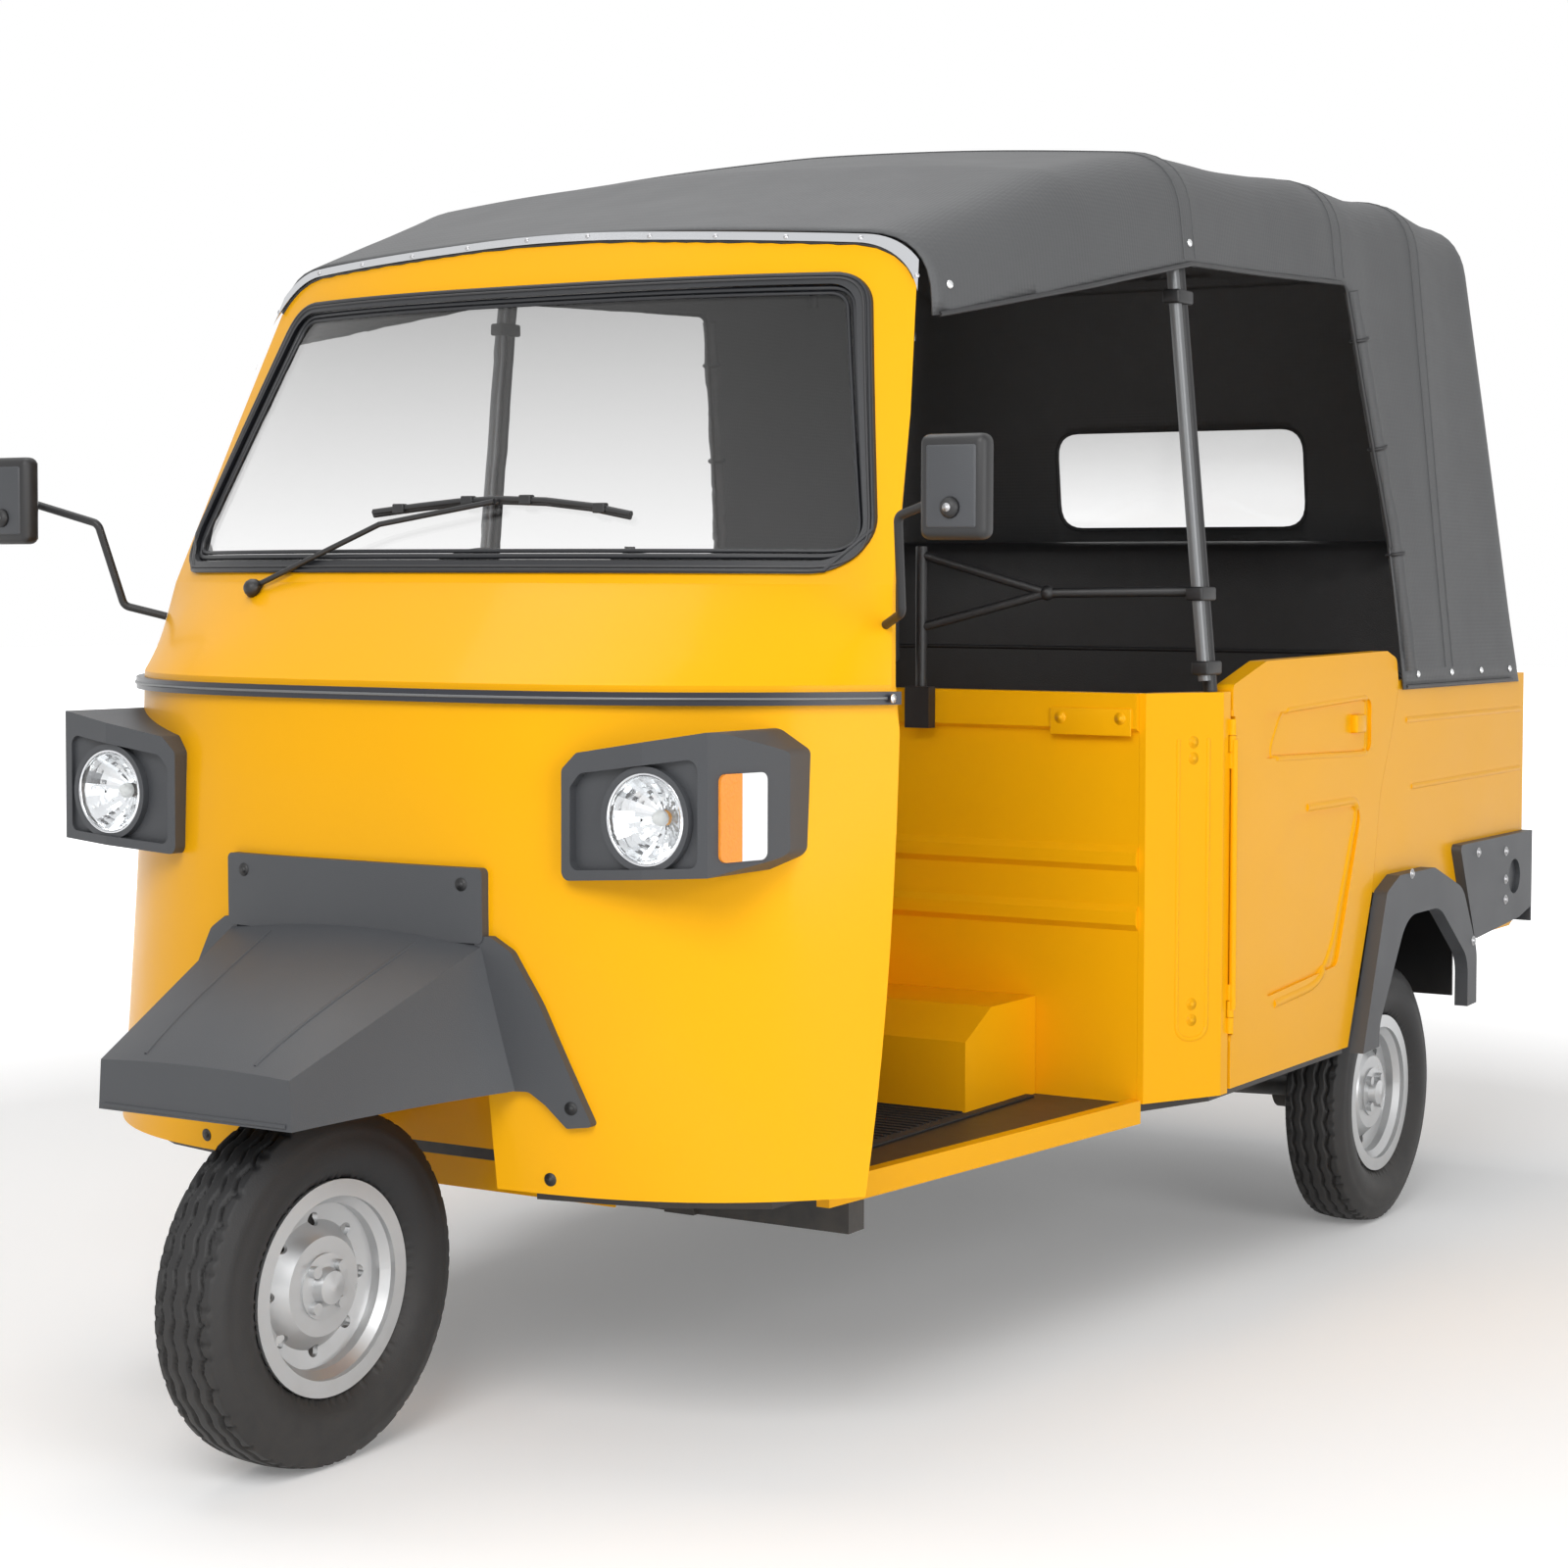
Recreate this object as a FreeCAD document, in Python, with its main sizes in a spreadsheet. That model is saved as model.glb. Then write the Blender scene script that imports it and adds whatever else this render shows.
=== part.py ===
import FreeCAD, Part
import math
import os
import re
import Sketcher

# Three-wheeled auto rickshaw, in millimetres. Every piece is drawn in the vehicle's own
# coordinates: X to the vehicle's left, Y rearwards from the front axle, Z up from the ground.
# Each piece's Placement then moves the front axle so that the origin is the middle of the
# footprint on the ground.

V = FreeCAD.Vector
DOC = FreeCAD.newDocument("auto_rickshaw")
SHEET = DOC.addObject("Spreadsheet::Sheet", "Sizes")

SIZES = (
    # Wheels and stance
    ("wheelbase", 2123, "front axle to rear axle"),
    ("tail_reach", 2722, "front axle to the rearmost edge"),
    ("half_track", 634, "centre plane to a rear wheel's centre plane"),
    ("tyre_radius", 237, "tyre outside radius"),
    ("tyre_width", 118, "tyre section width"),
    ("tread_width", 92, "flat part of the tread"),
    ("rim_radius", 143, "rim flange outside radius"),
    ("rim_width", 88, "rim width over the flanges"),
    ("bead_radius", 126, "rim bead seat radius"),
    ("rim_gauge", 5, "rim plate thickness"),
    ("disc_dish", 26, "wheel disc's place outboard of the centre plane"),
    ("hub_radius", 44, "hub radius"),
    ("hub_reach", 46, "hub dome's place outboard of the centre plane"),
    ("hub_depth", 40, "hub's reach inboard of the disc"),
    ("nut_circle", 34, "wheel nuts' circle radius"),
    ("nut_radius", 8, "wheel nut radius"),
    ("vent_radius", 9, "disc vent hole radius"),
    ("vent_circle", 88, "disc vent holes' circle radius"),
    ("stub_radius", 15, "stub axle radius"),
    ("run_gap", 0.3, "clearance between a turning face and its seat"),
    ("seat_gap", 0.3, "clearance between a soft or curved piece and its seat"),
    # Cab outline, at five heights: front on the centre line, half width and rear edge
    ("cab_wall", 22, "cab wall with its inner bracing"),
    ("cab_bottom_z", 366, "cab lower edge"),
    ("cab_bottom_front", 118, "cab's front at the lower edge"),
    ("cab_bottom_half", 664, "cab's half width at the lower edge"),
    ("cab_bottom_edge", 325, "cab's rear edge at the lower edge"),
    ("cab_knee_z", 600, "height of the knee section"),
    ("cab_knee_front", 99, "cab's front at the knee"),
    ("cab_knee_half", 669, "cab's half width at the knee"),
    ("cab_knee_edge", 365, "cab's rear edge at the knee"),
    ("cab_nose_z", 840, "height of the fullest section"),
    ("cab_nose_front", 91, "cab's front at the fullest section"),
    ("cab_nose_half", 671, "cab's half width at the fullest section"),
    ("cab_nose_edge", 388, "cab's rear edge at the fullest section"),
    ("trim_z", 1017, "height of the waist trim's middle"),
    ("trim_front", 95, "cab's front at the waist trim"),
    ("trim_half", 671, "cab's half width at the waist trim"),
    ("trim_edge", 395, "cab's rear edge at the waist trim"),
    ("shelf_z", 1034, "crease above the waist trim"),
    ("shelf_front", 100, "cab's front at the crease above the trim"),
    ("shelf_edge", 398, "cab's rear edge at the crease above the trim"),
    ("glass_low_z", 1166, "crease below the windscreen"),
    ("glass_low_front", 250, "cab's front at the crease below the windscreen"),
    ("glass_low_half", 656, "cab's half width at the crease below the windscreen"),
    ("glass_low_edge", 426, "cab's rear edge at the crease below the windscreen"),
    ("brow_z", 1612, "crease above the windscreen"),
    ("brow_front", 505, "cab's front at the crease above the windscreen"),
    ("brow_half", 577, "cab's half width at the crease above the windscreen"),
    ("brow_edge", 596, "cab's rear edge at the crease above the windscreen"),
    ("header_z", 1704, "height at which the cab's taper ends"),
    ("header_front", 560, "cab's front at the end of the taper"),
    ("header_half", 560, "cab's half width at the end of the taper"),
    ("header_edge", 631, "cab's rear edge at the end of the taper"),
    ("crown_z", 1664, "cab's top edge on the centre line"),
    ("crown_half", 583, "half width at the crown's corners"),
    ("crown_drop", 26, "crown's corners below its middle"),
    ("crown_corner", 110, "rounding of the crown's corners"),
    ("low_power", 4, "fullness of the lower corner curve"),
    ("nose_power", 3.2, "fullness of the nose's corner curve"),
    ("glass_power", 2.7, "fullness of the windscreen's curve"),
    # Windscreen
    ("glass_bottom_z", 1180, "windscreen opening's lower edge"),
    ("glass_bottom_half", 628, "half width of the opening's lower edge"),
    ("glass_top_z", 1600, "windscreen opening's upper edge"),
    ("glass_top_half", 522, "half width of the opening's upper edge"),
    ("glass_corner", 62, "corner radius of the windscreen opening"),
    ("seal_width", 17, "rubber seal's width in front view"),
    ("seal_stand", 4, "how far the seal stands proud"),
    ("glass_gauge", 6, "windscreen thickness"),
    ("glass_inset", 5, "glass face behind the cab's outer face"),
    # Waist trim
    ("trim_height", 17, "waist trim's height"),
    ("trim_stand", 7, "how far the waist trim stands proud"),
    # Front wheel arch and well
    ("arch_half", 236, "half width of the front wheel's opening"),
    ("arch_top_z", 575, "top of the front wheel's opening"),
    ("well_half", 262, "wheel well's half width"),
    ("well_rear", 330, "wheel well's rear wall"),
    ("well_front", 145, "wheel well's front edge inside the nose"),
    ("plate_gauge", 4, "pressed plate thickness"),
    # Front fender
    ("fender_gauge", 5, "fender wall"),
    ("fender_plate_half", 222, "half width of the plate on the nose"),
    ("fender_plate_top_z", 793, "plate's upper edge"),
    ("fender_plate_low_z", 700, "plate's lower edge, where the ridges start"),
    ("fender_plate_stand", 13, "how far the plate stands off the nose"),
    ("fender_flange_stand", 11, "how far the tails stand off the nose"),
    ("fender_lip_half", 160, "half width of the front lip"),
    ("fender_lip_y", -209, "front lip"),
    ("fender_lip_top_z", 552, "lip's upper edge"),
    ("fender_lip_low_z", 488, "lip's lower edge"),
    ("fender_lip_crown", 5, "rise of the top between the ridges at the lip"),
    ("fender_crown", 20, "rise of the top between the ridges"),
    ("fender_tuck", 12, "inward curve of the skirt between lip and nose"),
    ("fender_tail_half", 374, "half width over the tail tips"),
    ("fender_tail_z", 458, "tail tips"),
    ("fender_skirt_half", 268, "half width of the skirt at the nose"),
    ("fender_skirt_z", 503, "skirt's lower edge at the nose"),
    # Lamps
    ("lamp_x", 468, "lamp centre"),
    ("lamp_z", 866, "lamp height"),
    ("lamp_radius", 60, "lens radius"),
    ("lamp_face", 112, "lens face"),
    ("lamp_depth", 90, "lamp bowl's depth"),
    ("pod_inner", 338, "lamp pod's inner edge"),
    ("pod_bend", 560, "edge between a pod's front and side faces"),
    ("pod_outer", 594, "lamp pod's outer edge"),
    ("pod_low_z", 782, "lamp pod's lower edge"),
    ("pod_top_z", 980, "top of the pod's brow"),
    ("pod_front", 100, "lamp pod's front face"),
    ("pod_reach", 150, "how far a pod's side face runs back"),
    ("pod_recess", 16, "depth of the recess round the lamp"),
    ("pod_rim", 14, "rim round the recess"),
    ("bezel_wall", 8, "bezel round the lamp"),
    ("indicator_front", 30, "indicator's place behind the pod's front face"),
    ("indicator_length", 78, "indicator's length"),
    ("indicator_low_z", 814, "indicator's lower edge"),
    ("indicator_top_z", 926, "indicator's upper edge"),
    ("indicator_stand", 3, "indicator's stand off the pod"),
    ("indicator_depth", 14, "indicator's depth in the pod"),
    # Floor and frame
    ("floor_z", 366, "floor's upper face"),
    ("floor_gauge", 16, "floor thickness"),
    ("sill_front_x", 586, "sill's outer edge at its front end"),
    ("sill_front_y", 420, "sill's front end"),
    ("sill_rear_x", 672, "sill's outer edge at its rear end"),
    ("sill_width", 20, "sill's width"),
    ("sill_depth", 30, "sill's depth below the floor"),
    ("rail_x", 300, "frame rail's centre"),
    ("rail_width", 50, "frame rail's width"),
    ("rail_height", 64, "frame rail's height"),
    ("rail_front", 420, "frame rail's front end"),
    ("rail_rear", 2660, "frame rail's rear end"),
    # Steering
    ("steer_lean", 20, "steering axis, degrees back from upright"),
    ("steer_trail", 60, "axis meets the ground this far ahead of the axle"),
    ("column_radius", 22, "steering column's radius"),
    ("head_wall", 9, "steering head's wall"),
    ("head_low_z", 620, "steering head's lower end"),
    ("head_top_z", 770, "steering head's upper end"),
    ("column_top_z", 1010, "column's upper end"),
    ("column_low_z", 520, "column's lower end above the fork leg"),
    ("fork_x", -96, "fork leg beside the tyre"),
    ("fork_low_z", 232, "link pivot height"),
    ("fork_low_y", 112, "link pivot behind the axle"),
    ("damper_top_z", 456, "front damper's upper eye"),
    ("bar_half", 240, "handlebar half width"),
    ("bar_sweep", 130, "how far the handlebar's ends lie behind its middle"),
    ("bar_radius", 11, "handlebar tube radius"),
    ("grip_radius", 17, "grip radius"),
    ("grip_length", 110, "grip length"),
    # Body behind the driver
    ("bulkhead_y", 1130, "bulkhead's front face"),
    ("bulkhead_half", 663, "bulkhead's half width"),
    ("bulkhead_gauge", 20, "bulkhead's thickness"),
    ("rib_rise", 9, "bulkhead ribs' stand"),
    ("cap_rise", 12, "bulkhead's top rail's stand"),
    ("belt_z", 1002, "body's upper edge"),
    ("pillar_rear", 1290, "door pillar's rear edge"),
    ("body_half", 744, "body side's outer face"),
    ("body_wall", 30, "body side's thickness"),
    ("door_seam", 6, "gap round a door"),
    ("knuckle_radius", 7, "door hinge knuckle"),
    ("pin_radius", 4, "hinge pin"),
    ("knuckle_length", 26, "one knuckle of a hinge"),
    ("hinge_low_z", 500, "lower door hinge"),
    ("hinge_high_z", 920, "upper door hinge"),
    ("door_low_z", 372, "door's lower edge"),
    ("door_top_z", 1052, "door's upper edge"),
    ("door_rear", 2013, "door's rear edge at the belt"),
    ("side_low_z", 500, "rear quarter's lower edge"),
    ("tail_inset", 10, "body's rear face ahead of the rearmost edge"),
    ("tail_half", 584, "tailgate's half width"),
    ("tail_gauge", 26, "tailgate thickness"),
    ("gate_hinge_x", 380, "tailgate hinges' place"),
    ("tail_low_z", 566, "tailgate's lower edge"),
    ("tail_top_z", 980, "tailgate's upper edge"),
    ("wheel_y_arch", 2105, "arch opening's centre"),
    ("flare_stand", 26, "flare's stand outside the body"),
    ("flare_lap", 24, "how far the flare laps over the arch opening"),
    # Seats
    ("driver_half", 205, "driver's seat half width"),
    ("driver_front", 800, "driver's seat front edge"),
    ("driver_rear", 1110, "driver's seat rear edge"),
    ("driver_seat_z", 740, "driver's seat top"),
    ("cushion_depth", 100, "cushion thickness"),
    ("box_half", 485, "floor box half width"),
    ("box_front", 905, "floor box's front face"),
    ("box_top_z", 521, "floor box's top"),
    ("deck_z", 596, "seat deck's upper face"),
    ("deck_front", 1850, "seat deck's front edge"),
    ("housing_x", 548, "wheel housing's inner wall"),
    ("housing_rear", 2410, "wheel housing's rear wall"),
    ("bench_half", 690, "passenger bench half width"),
    ("bench_front", 1862, "passenger bench's front edge"),
    ("bench_rear", 2372, "passenger bench's rear edge"),
    ("bench_depth", 112, "passenger bench's thickness"),
    ("back_top_z", 1280, "passenger backrest's top"),
    ("back_low_y", 2380, "backrest's front face at the bench"),
    ("back_top_y", 2440, "backrest's front face at its top"),
    ("back_depth", 96, "passenger backrest's thickness"),
    # Canopy
    ("canopy_gauge", 8, "fabric with its lining and bows"),
    ("canopy_bottom_z", 986, "canopy's lower edge"),
    ("canopy_half", 754.3, "canopy's outer face at its lower edge"),
    ("canopy_front", 568, "canopy's front edge"),
    ("canopy_front_half", 596, "canopy's half width at the front edge"),
    ("canopy_front_shoulder_z", 1656, "canopy's shoulder at the front edge"),
    ("canopy_front_crown_z", 1676.6, "canopy's middle at the front edge"),
    ("canopy_rise", 950, "fullest place of the roof's front slope"),
    ("canopy_rise_half", 647, "canopy's half width at the front slope"),
    ("canopy_rise_shoulder_z", 1786, "canopy's shoulder at the front slope"),
    ("canopy_rise_crown_z", 1826, "canopy's middle at the front slope"),
    ("bow_one", 1262, "first bow"),
    ("bow_one_half", 664, "canopy's half width at the first bow"),
    ("bow_one_shoulder_z", 1846, "canopy's shoulder at the first bow"),
    ("bow_one_crown_z", 1882, "canopy's middle at the first bow"),
    ("bow_two", 1880, "second bow"),
    ("bow_two_half", 662, "canopy's half width at the second bow"),
    ("bow_two_shoulder_z", 1878, "canopy's shoulder at the second bow"),
    ("bow_two_crown_z", 1904, "canopy's middle at the second bow"),
    ("bow_three", 2262, "third bow"),
    ("bow_three_half", 660, "canopy's half width at the third bow"),
    ("bow_three_shoulder_z", 1886, "canopy's shoulder at the third bow"),
    ("bow_three_crown_z", 1906, "canopy's middle at the third bow"),
    ("canopy_top_rear", 2610, "roof's rear edge"),
    ("canopy_rear_half", 660, "canopy's half width at the roof's rear edge"),
    ("canopy_rear_shoulder_z", 1872, "canopy's shoulder at the roof's rear edge"),
    ("canopy_rear_crown_z", 1890, "canopy's middle at the roof's rear edge"),
    ("shoulder_round", 95, "rounding between roof and side"),
    ("window_half", 284, "rear window's half width"),
    ("window_low_z", 1296, "rear window's lower edge"),
    ("window_top_z", 1496, "rear window's upper edge"),
    ("window_corner", 50, "rear window's corner radius"),
    ("bow_radius", 11, "bow tube radius"),
    ("post_x", 722, "post's foot"),
    ("stringer_x", 400, "stringer tubes under the roof"),
    ("stringer_radius", 8, "stringer tube radius"),
    ("stringer_bend", 300, "bend of a stringer"),
    ("bow_bend", 88, "bend of a bow at its shoulder"),
    ("bow_crown_bend", 5000, "bend of a bow over the roof"),
    ("bow_drop", 120, "loose end of a bow below its shoulder"),
    ("back_bar_x", 285, "driver's backrest bars"),
    ("back_bar_radius", 9, "backrest bar radius"),
    # Mirrors and wiper
    ("mirror_x", 832, "mirror head's centre"),
    ("mirror_y", 262, "mirror head's place behind the axle"),
    ("mirror_z", 1288, "mirror head's height"),
    ("mirror_width", 96, "mirror head's width"),
    ("mirror_height", 132, "mirror head's height over its rim"),
    ("mirror_depth", 34, "mirror head's depth"),
    ("mirror_arm_radius", 6, "mirror arm's rod radius"),
    ("wiper_radius", 4, "wiper arm and blade"),
    ("wiper_pivot_x", 338, "wiper pivot beside the centre plane"),
    ("wiper_pivot_z", 1158, "wiper pivot's height"),
    # Power unit and rear axle
    ("engine_half", 190, "power unit's half width"),
    ("engine_front", 2150, "power unit's front face"),
    ("engine_low_z", 270, "power unit's underside"),
    ("engine_top_z", 560, "power unit's top"),
    ("shaft_radius", 14, "drive shaft radius"),
    ("arm_x", 500, "trailing arm's centre"),
    ("arm_pivot_y", 1760, "trailing arm's pivot behind the front axle"),
    ("arm_pivot_z", 300, "trailing arm's pivot height"),
)
ALIASES = {name for name, value, note in SIZES}

AXLE_SHIFT = "(tyre_radius - tail_reach) / 2"
REAR_SHIFT = AXLE_SHIFT + " + wheelbase"
DOOR_FRONT = "pillar_rear + door_seam"
HINGE_X = "body_half + 2"
HINGE_Y = "pillar_rear + door_seam / 2"
TAIL_FACE = "tail_reach - tail_inset"
GATE_HINGE_Z = "tail_low_z - door_seam / 2"
ENGINE_REAR = "rail_rear - 55"
BACK_BAR_Y = "bulkhead_y - cap_rise - back_bar_radius - seat_gap"
BACK_FACE = BACK_BAR_Y + " - back_bar_radius - seat_gap"
STEER_AT_WELL = "arch_top_z * tan(steer_lean) - steer_trail"
CURVE_STEPS = (-1, -0.95, -0.88, -0.78, -0.64, -0.45, -0.22, 0, 0.22, 0.45, 0.64, 0.78, 0.88, 0.95, 1)
FAR = 4000
NODES = []


def write_sizes():
    """Put every size in the sheet, with its name and its meaning."""
    for row, (name, value, note) in enumerate(SIZES, start=1):
        SHEET.set("A%d" % row, name)
        SHEET.set("B%d" % row, str(value))
        SHEET.set("C%d" % row, note)
        SHEET.setAlias("B%d" % row, name)
    DOC.recompute()


def sized(text):
    """Expression text in which each size is read from the sheet."""
    def cell(match):
        word = match.group()
        return "Sizes." + word if word in ALIASES else word
    return re.sub(r"[a-z][a-z_0-9]*", cell, str(text))


def number(text):
    """Present value of an expression of sizes."""
    return float(SHEET.evalExpression(sized(text)))


def tie(item, path, text):
    """Bind a property or a constraint to an expression of sizes."""
    item.setExpression(path, sized(text))


def place(item, x, y, z):
    for axis, text in (("x", x), ("y", y), ("z", z)):
        tie(item, "Placement.Base." + axis, text)


def keep(item, label):
    """Name a finished piece and list it for export."""
    item.Label = label
    NODES.append(item)
    return item


def new_body(name, x="0", y=AXLE_SHIFT, z="0"):
    body = DOC.addObject("PartDesign::Body", name)
    place(body, x, y, z)
    return body


def plane_sketch(body, plane, offset):
    """Sketch on one of the body's origin planes, moved along the row axis by offset."""
    sketch = body.newObject("Sketcher::SketchObject", body.Name + "_outline")
    role = plane + "_Plane"
    support = [item for item in body.Origin.OriginFeatures if item.Role == role][0]
    sketch.AttachmentSupport = [(support, "")]
    sketch.MapMode = "FlatFace"
    sign = "-" if plane == "XZ" else ""
    tie(sketch, "AttachmentOffset.Base.z", "%s(%s)" % (sign, offset))
    return sketch


def rounded_corner(before, corner, after, radius):
    """Tangent points and centre of the arc that rounds one corner."""
    first = (before - corner).normalize()
    second = (after - corner).normalize()
    half = first.getAngle(second) / 2
    reach = radius / math.tan(half)
    middle = (first + second).normalize()
    return corner + first * reach, corner + second * reach, corner + middle * (radius / math.sin(half))


def draw_outline(sketch, corners):
    """Closed outline whose corners are (x, y) or (x, y, radius), each an expression of sizes."""
    points = [V(number(corner[0]), number(corner[1]), 0) for corner in corners]
    count = len(points)
    ends = []
    for index, corner in enumerate(corners):
        if len(corner) == 3:
            radius = number(corner[2])
            ends.append(rounded_corner(points[index - 1], points[index], points[(index + 1) % count], radius))
        else:
            ends.append((points[index], points[index], None))
    lines = []
    for index in range(count):
        start = ends[index][1]
        finish = ends[(index + 1) % count][0]
        lines.append(sketch.addGeometry(Part.LineSegment(start, finish), False))
    for index, corner in enumerate(corners):
        join_corner(sketch, lines[index - 1], lines[index], corner, points[index], ends[index])


def join_corner(sketch, line_in, line_out, corner, point, end):
    """Constrain one corner of an outline: its place, and its rounding if it has one."""
    mark = sketch.addGeometry(Part.Point(point), True)
    for kind, text, value in (("DistanceX", corner[0], point.x), ("DistanceY", corner[1], point.y)):
        rule = sketch.addConstraint(Sketcher.Constraint(kind, -1, 1, mark, 1, value))
        tie(sketch, "Constraints[%d]" % rule, text)
    tangent_in, tangent_out, centre = end
    if centre is None:
        sketch.addConstraint(Sketcher.Constraint("Coincident", line_in, 2, mark, 1))
        sketch.addConstraint(Sketcher.Constraint("Coincident", line_out, 1, mark, 1))
        return
    start = math.atan2(tangent_in.y - centre.y, tangent_in.x - centre.x)
    finish = math.atan2(tangent_out.y - centre.y, tangent_out.x - centre.x)
    anticlockwise = (tangent_in - centre).cross(tangent_out - centre).z > 0
    radius = (tangent_in - centre).Length
    circle = Part.Circle(centre, V(0, 0, 1), radius)
    if anticlockwise:
        arc = sketch.addGeometry(Part.ArcOfCircle(circle, start, finish), False)
    else:
        arc = sketch.addGeometry(Part.ArcOfCircle(circle, finish, start), False)
    near, far = (1, 2) if anticlockwise else (2, 1)
    sketch.addConstraint(Sketcher.Constraint("Tangent", line_in, 2, arc, near))
    sketch.addConstraint(Sketcher.Constraint("Tangent", arc, far, line_out, 1))
    sketch.addConstraint(Sketcher.Constraint("PointOnObject", mark, 1, line_in))
    sketch.addConstraint(Sketcher.Constraint("PointOnObject", mark, 1, line_out))
    rule = sketch.addConstraint(Sketcher.Constraint("Radius", arc, radius))
    tie(sketch, "Constraints[%d]" % rule, corner[2])


def draw_circle(sketch, x, y, radius):
    centre = V(number(x), number(y), 0)
    circle = sketch.addGeometry(Part.Circle(centre, V(0, 0, 1), number(radius)), False)
    for kind, text, value in (("DistanceX", x, centre.x), ("DistanceY", y, centre.y)):
        rule = sketch.addConstraint(Sketcher.Constraint(kind, -1, 1, circle, 3, value))
        tie(sketch, "Constraints[%d]" % rule, text)
    rule = sketch.addConstraint(Sketcher.Constraint("Radius", circle, number(radius)))
    tie(sketch, "Constraints[%d]" % rule, radius)


def across(kind, body, plane, draw, low, high):
    """Pad or Pocket between two places along the plane's axis."""
    sketch = plane_sketch(body, plane, "((%s) + (%s)) / 2" % (low, high))
    draw(sketch)
    feature = body.newObject("PartDesign::" + kind, body.Name + "_" + kind.lower())
    feature.Profile = sketch
    feature.Midplane = True
    tie(feature, "Length", "(%s) - (%s)" % (high, low))
    return feature


def slab(body, plane, corners, low, high):
    """Add a plate of this outline from low to high along the plane's axis."""
    return across("Pad", body, plane, lambda sketch: draw_outline(sketch, corners), low, high)


def cut(body, plane, corners, low, high):
    return across("Pocket", body, plane, lambda sketch: draw_outline(sketch, corners), low, high)


def boss(body, plane, x, y, radius, low, high):
    return across("Pad", body, plane, lambda sketch: draw_circle(sketch, x, y, radius), low, high)


def drill(body, plane, x, y, radius, low, high):
    return across("Pocket", body, plane, lambda sketch: draw_circle(sketch, x, y, radius), low, high)


def turned(body, corners, groove=False):
    """Revolve an outline in the XY plane about the X axis."""
    sketch = plane_sketch(body, "XY", "0")
    draw_outline(sketch, corners)
    kind = "Groove" if groove else "Revolution"
    feature = body.newObject("PartDesign::" + kind, body.Name + "_turned")
    feature.Profile = sketch
    feature.ReferenceAxis = (sketch, ["H_Axis"])
    feature.Angle = 360
    return feature


def rectangle(x_low, x_high, y_low, y_high, radius=None):
    corners = ((x_low, y_low), (x_high, y_low), (x_high, y_high), (x_low, y_high))
    if radius is None:
        return corners
    return tuple(corner + (radius,) for corner in corners)


def both_sides(label, piece):
    """A piece and its mirror image in the centre plane, as one node."""
    image = DOC.addObject("Part::Mirroring", label + "_right")
    image.Source = piece
    image.Normal = (1, 0, 0)
    pair = DOC.addObject("Part::Compound", label)
    pair.Links = [piece, image]
    return keep(pair, label)


def shaped(label, shape, kept=True):
    """A piece whose shape is worked out with Part's own functions, in vehicle coordinates."""
    item = DOC.addObject("Part::Feature", label)
    item.Shape = shape
    place(item, "0", AXLE_SHIFT, "0")
    if kept:
        keep(item, label)
    return item


def prism(corners, plane, low, high):
    """Straight prism of a rounded outline, from low to high along the third axis."""
    wire = rounded_wire([(number(c[0]), number(c[1]), number(c[2]) if len(c) == 3 else 0) for c in corners])
    if plane == "XZ":
        wire.rotate(V(0, 0, 0), V(1, 0, 0), 90)
        start, run = V(0, low, 0), V(0, high - low, 0)
    elif plane == "YZ":
        wire.rotate(V(0, 0, 0), V(1, 1, 1), 120)
        start, run = V(low, 0, 0), V(high - low, 0, 0)
    else:
        start, run = V(0, 0, low), V(0, 0, high - low)
    wire.translate(start)
    return Part.Face(wire).extrude(run)


def rounded_wire(corners):
    """Closed flat wire in XY through (x, y, radius) corners."""
    points = [V(x, y, 0) for x, y, radius in corners]
    count = len(points)
    edges = []
    last = None
    first = None
    for index, (x, y, radius) in enumerate(corners):
        point = points[index]
        if radius > 0:
            start, finish, centre = rounded_corner(points[index - 1],
                                                   point, points[(index + 1) % count], radius)
            middle = centre + (point - centre).normalize() * radius
            arc = Part.Arc(start, middle, finish).toShape()
        else:
            start, finish, arc = point, point, None
        if last is not None:
            edges.append(Part.LineSegment(last, start).toShape())
        else:
            first = start
        if arc is not None:
            edges.append(arc)
        last = finish
    edges.append(Part.LineSegment(last, first).toShape())
    return Part.Wire(edges)


def tube_along(points, radius, bends):
    """Round bar along straight runs joined by arcs, with one radius for each bend."""
    pieces = []
    last = points[0]
    for before, corner, after, bend in zip(points, points[1:], points[2:], bends):
        first = (before - corner).normalize()
        second = (after - corner).normalize()
        half = first.getAngle(second) / 2
        reach = bend / math.tan(half)
        centre = corner + (first + second).normalize() * (bend / math.sin(half))
        start, finish = corner + first * reach, corner + second * reach
        pieces.append(rod(last, start, radius))
        ring = Part.Face(Part.Wire(Part.Circle(start, first, radius).toShape()))
        turn_axis = (start - centre).cross(finish - centre)
        pieces.append(ring.revolve(centre, turn_axis.normalize(), 180 - math.degrees(2 * half)))
        last = finish
    pieces.append(rod(last, points[-1], radius))
    return joined(pieces)


def rod(start, finish, radius):
    run = finish - start
    return Part.makeCylinder(radius, run.Length, start, run)


def joined(shapes):
    whole = shapes[0]
    for shape in shapes[1:]:
        whole = whole.fuse(shape)
    return whole


# Cab


def plan_curve(front, half, edge, power, height, inset):
    """Plan outline of the nose at one height, moved inwards by inset."""
    depth = edge - front
    points = [V((half - inset) * step, front + inset + depth * abs(step) ** power, height)
              for step in CURVE_STEPS]
    curve = Part.BSplineCurve()
    curve.interpolate(points)
    return curve.toShape()


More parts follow.
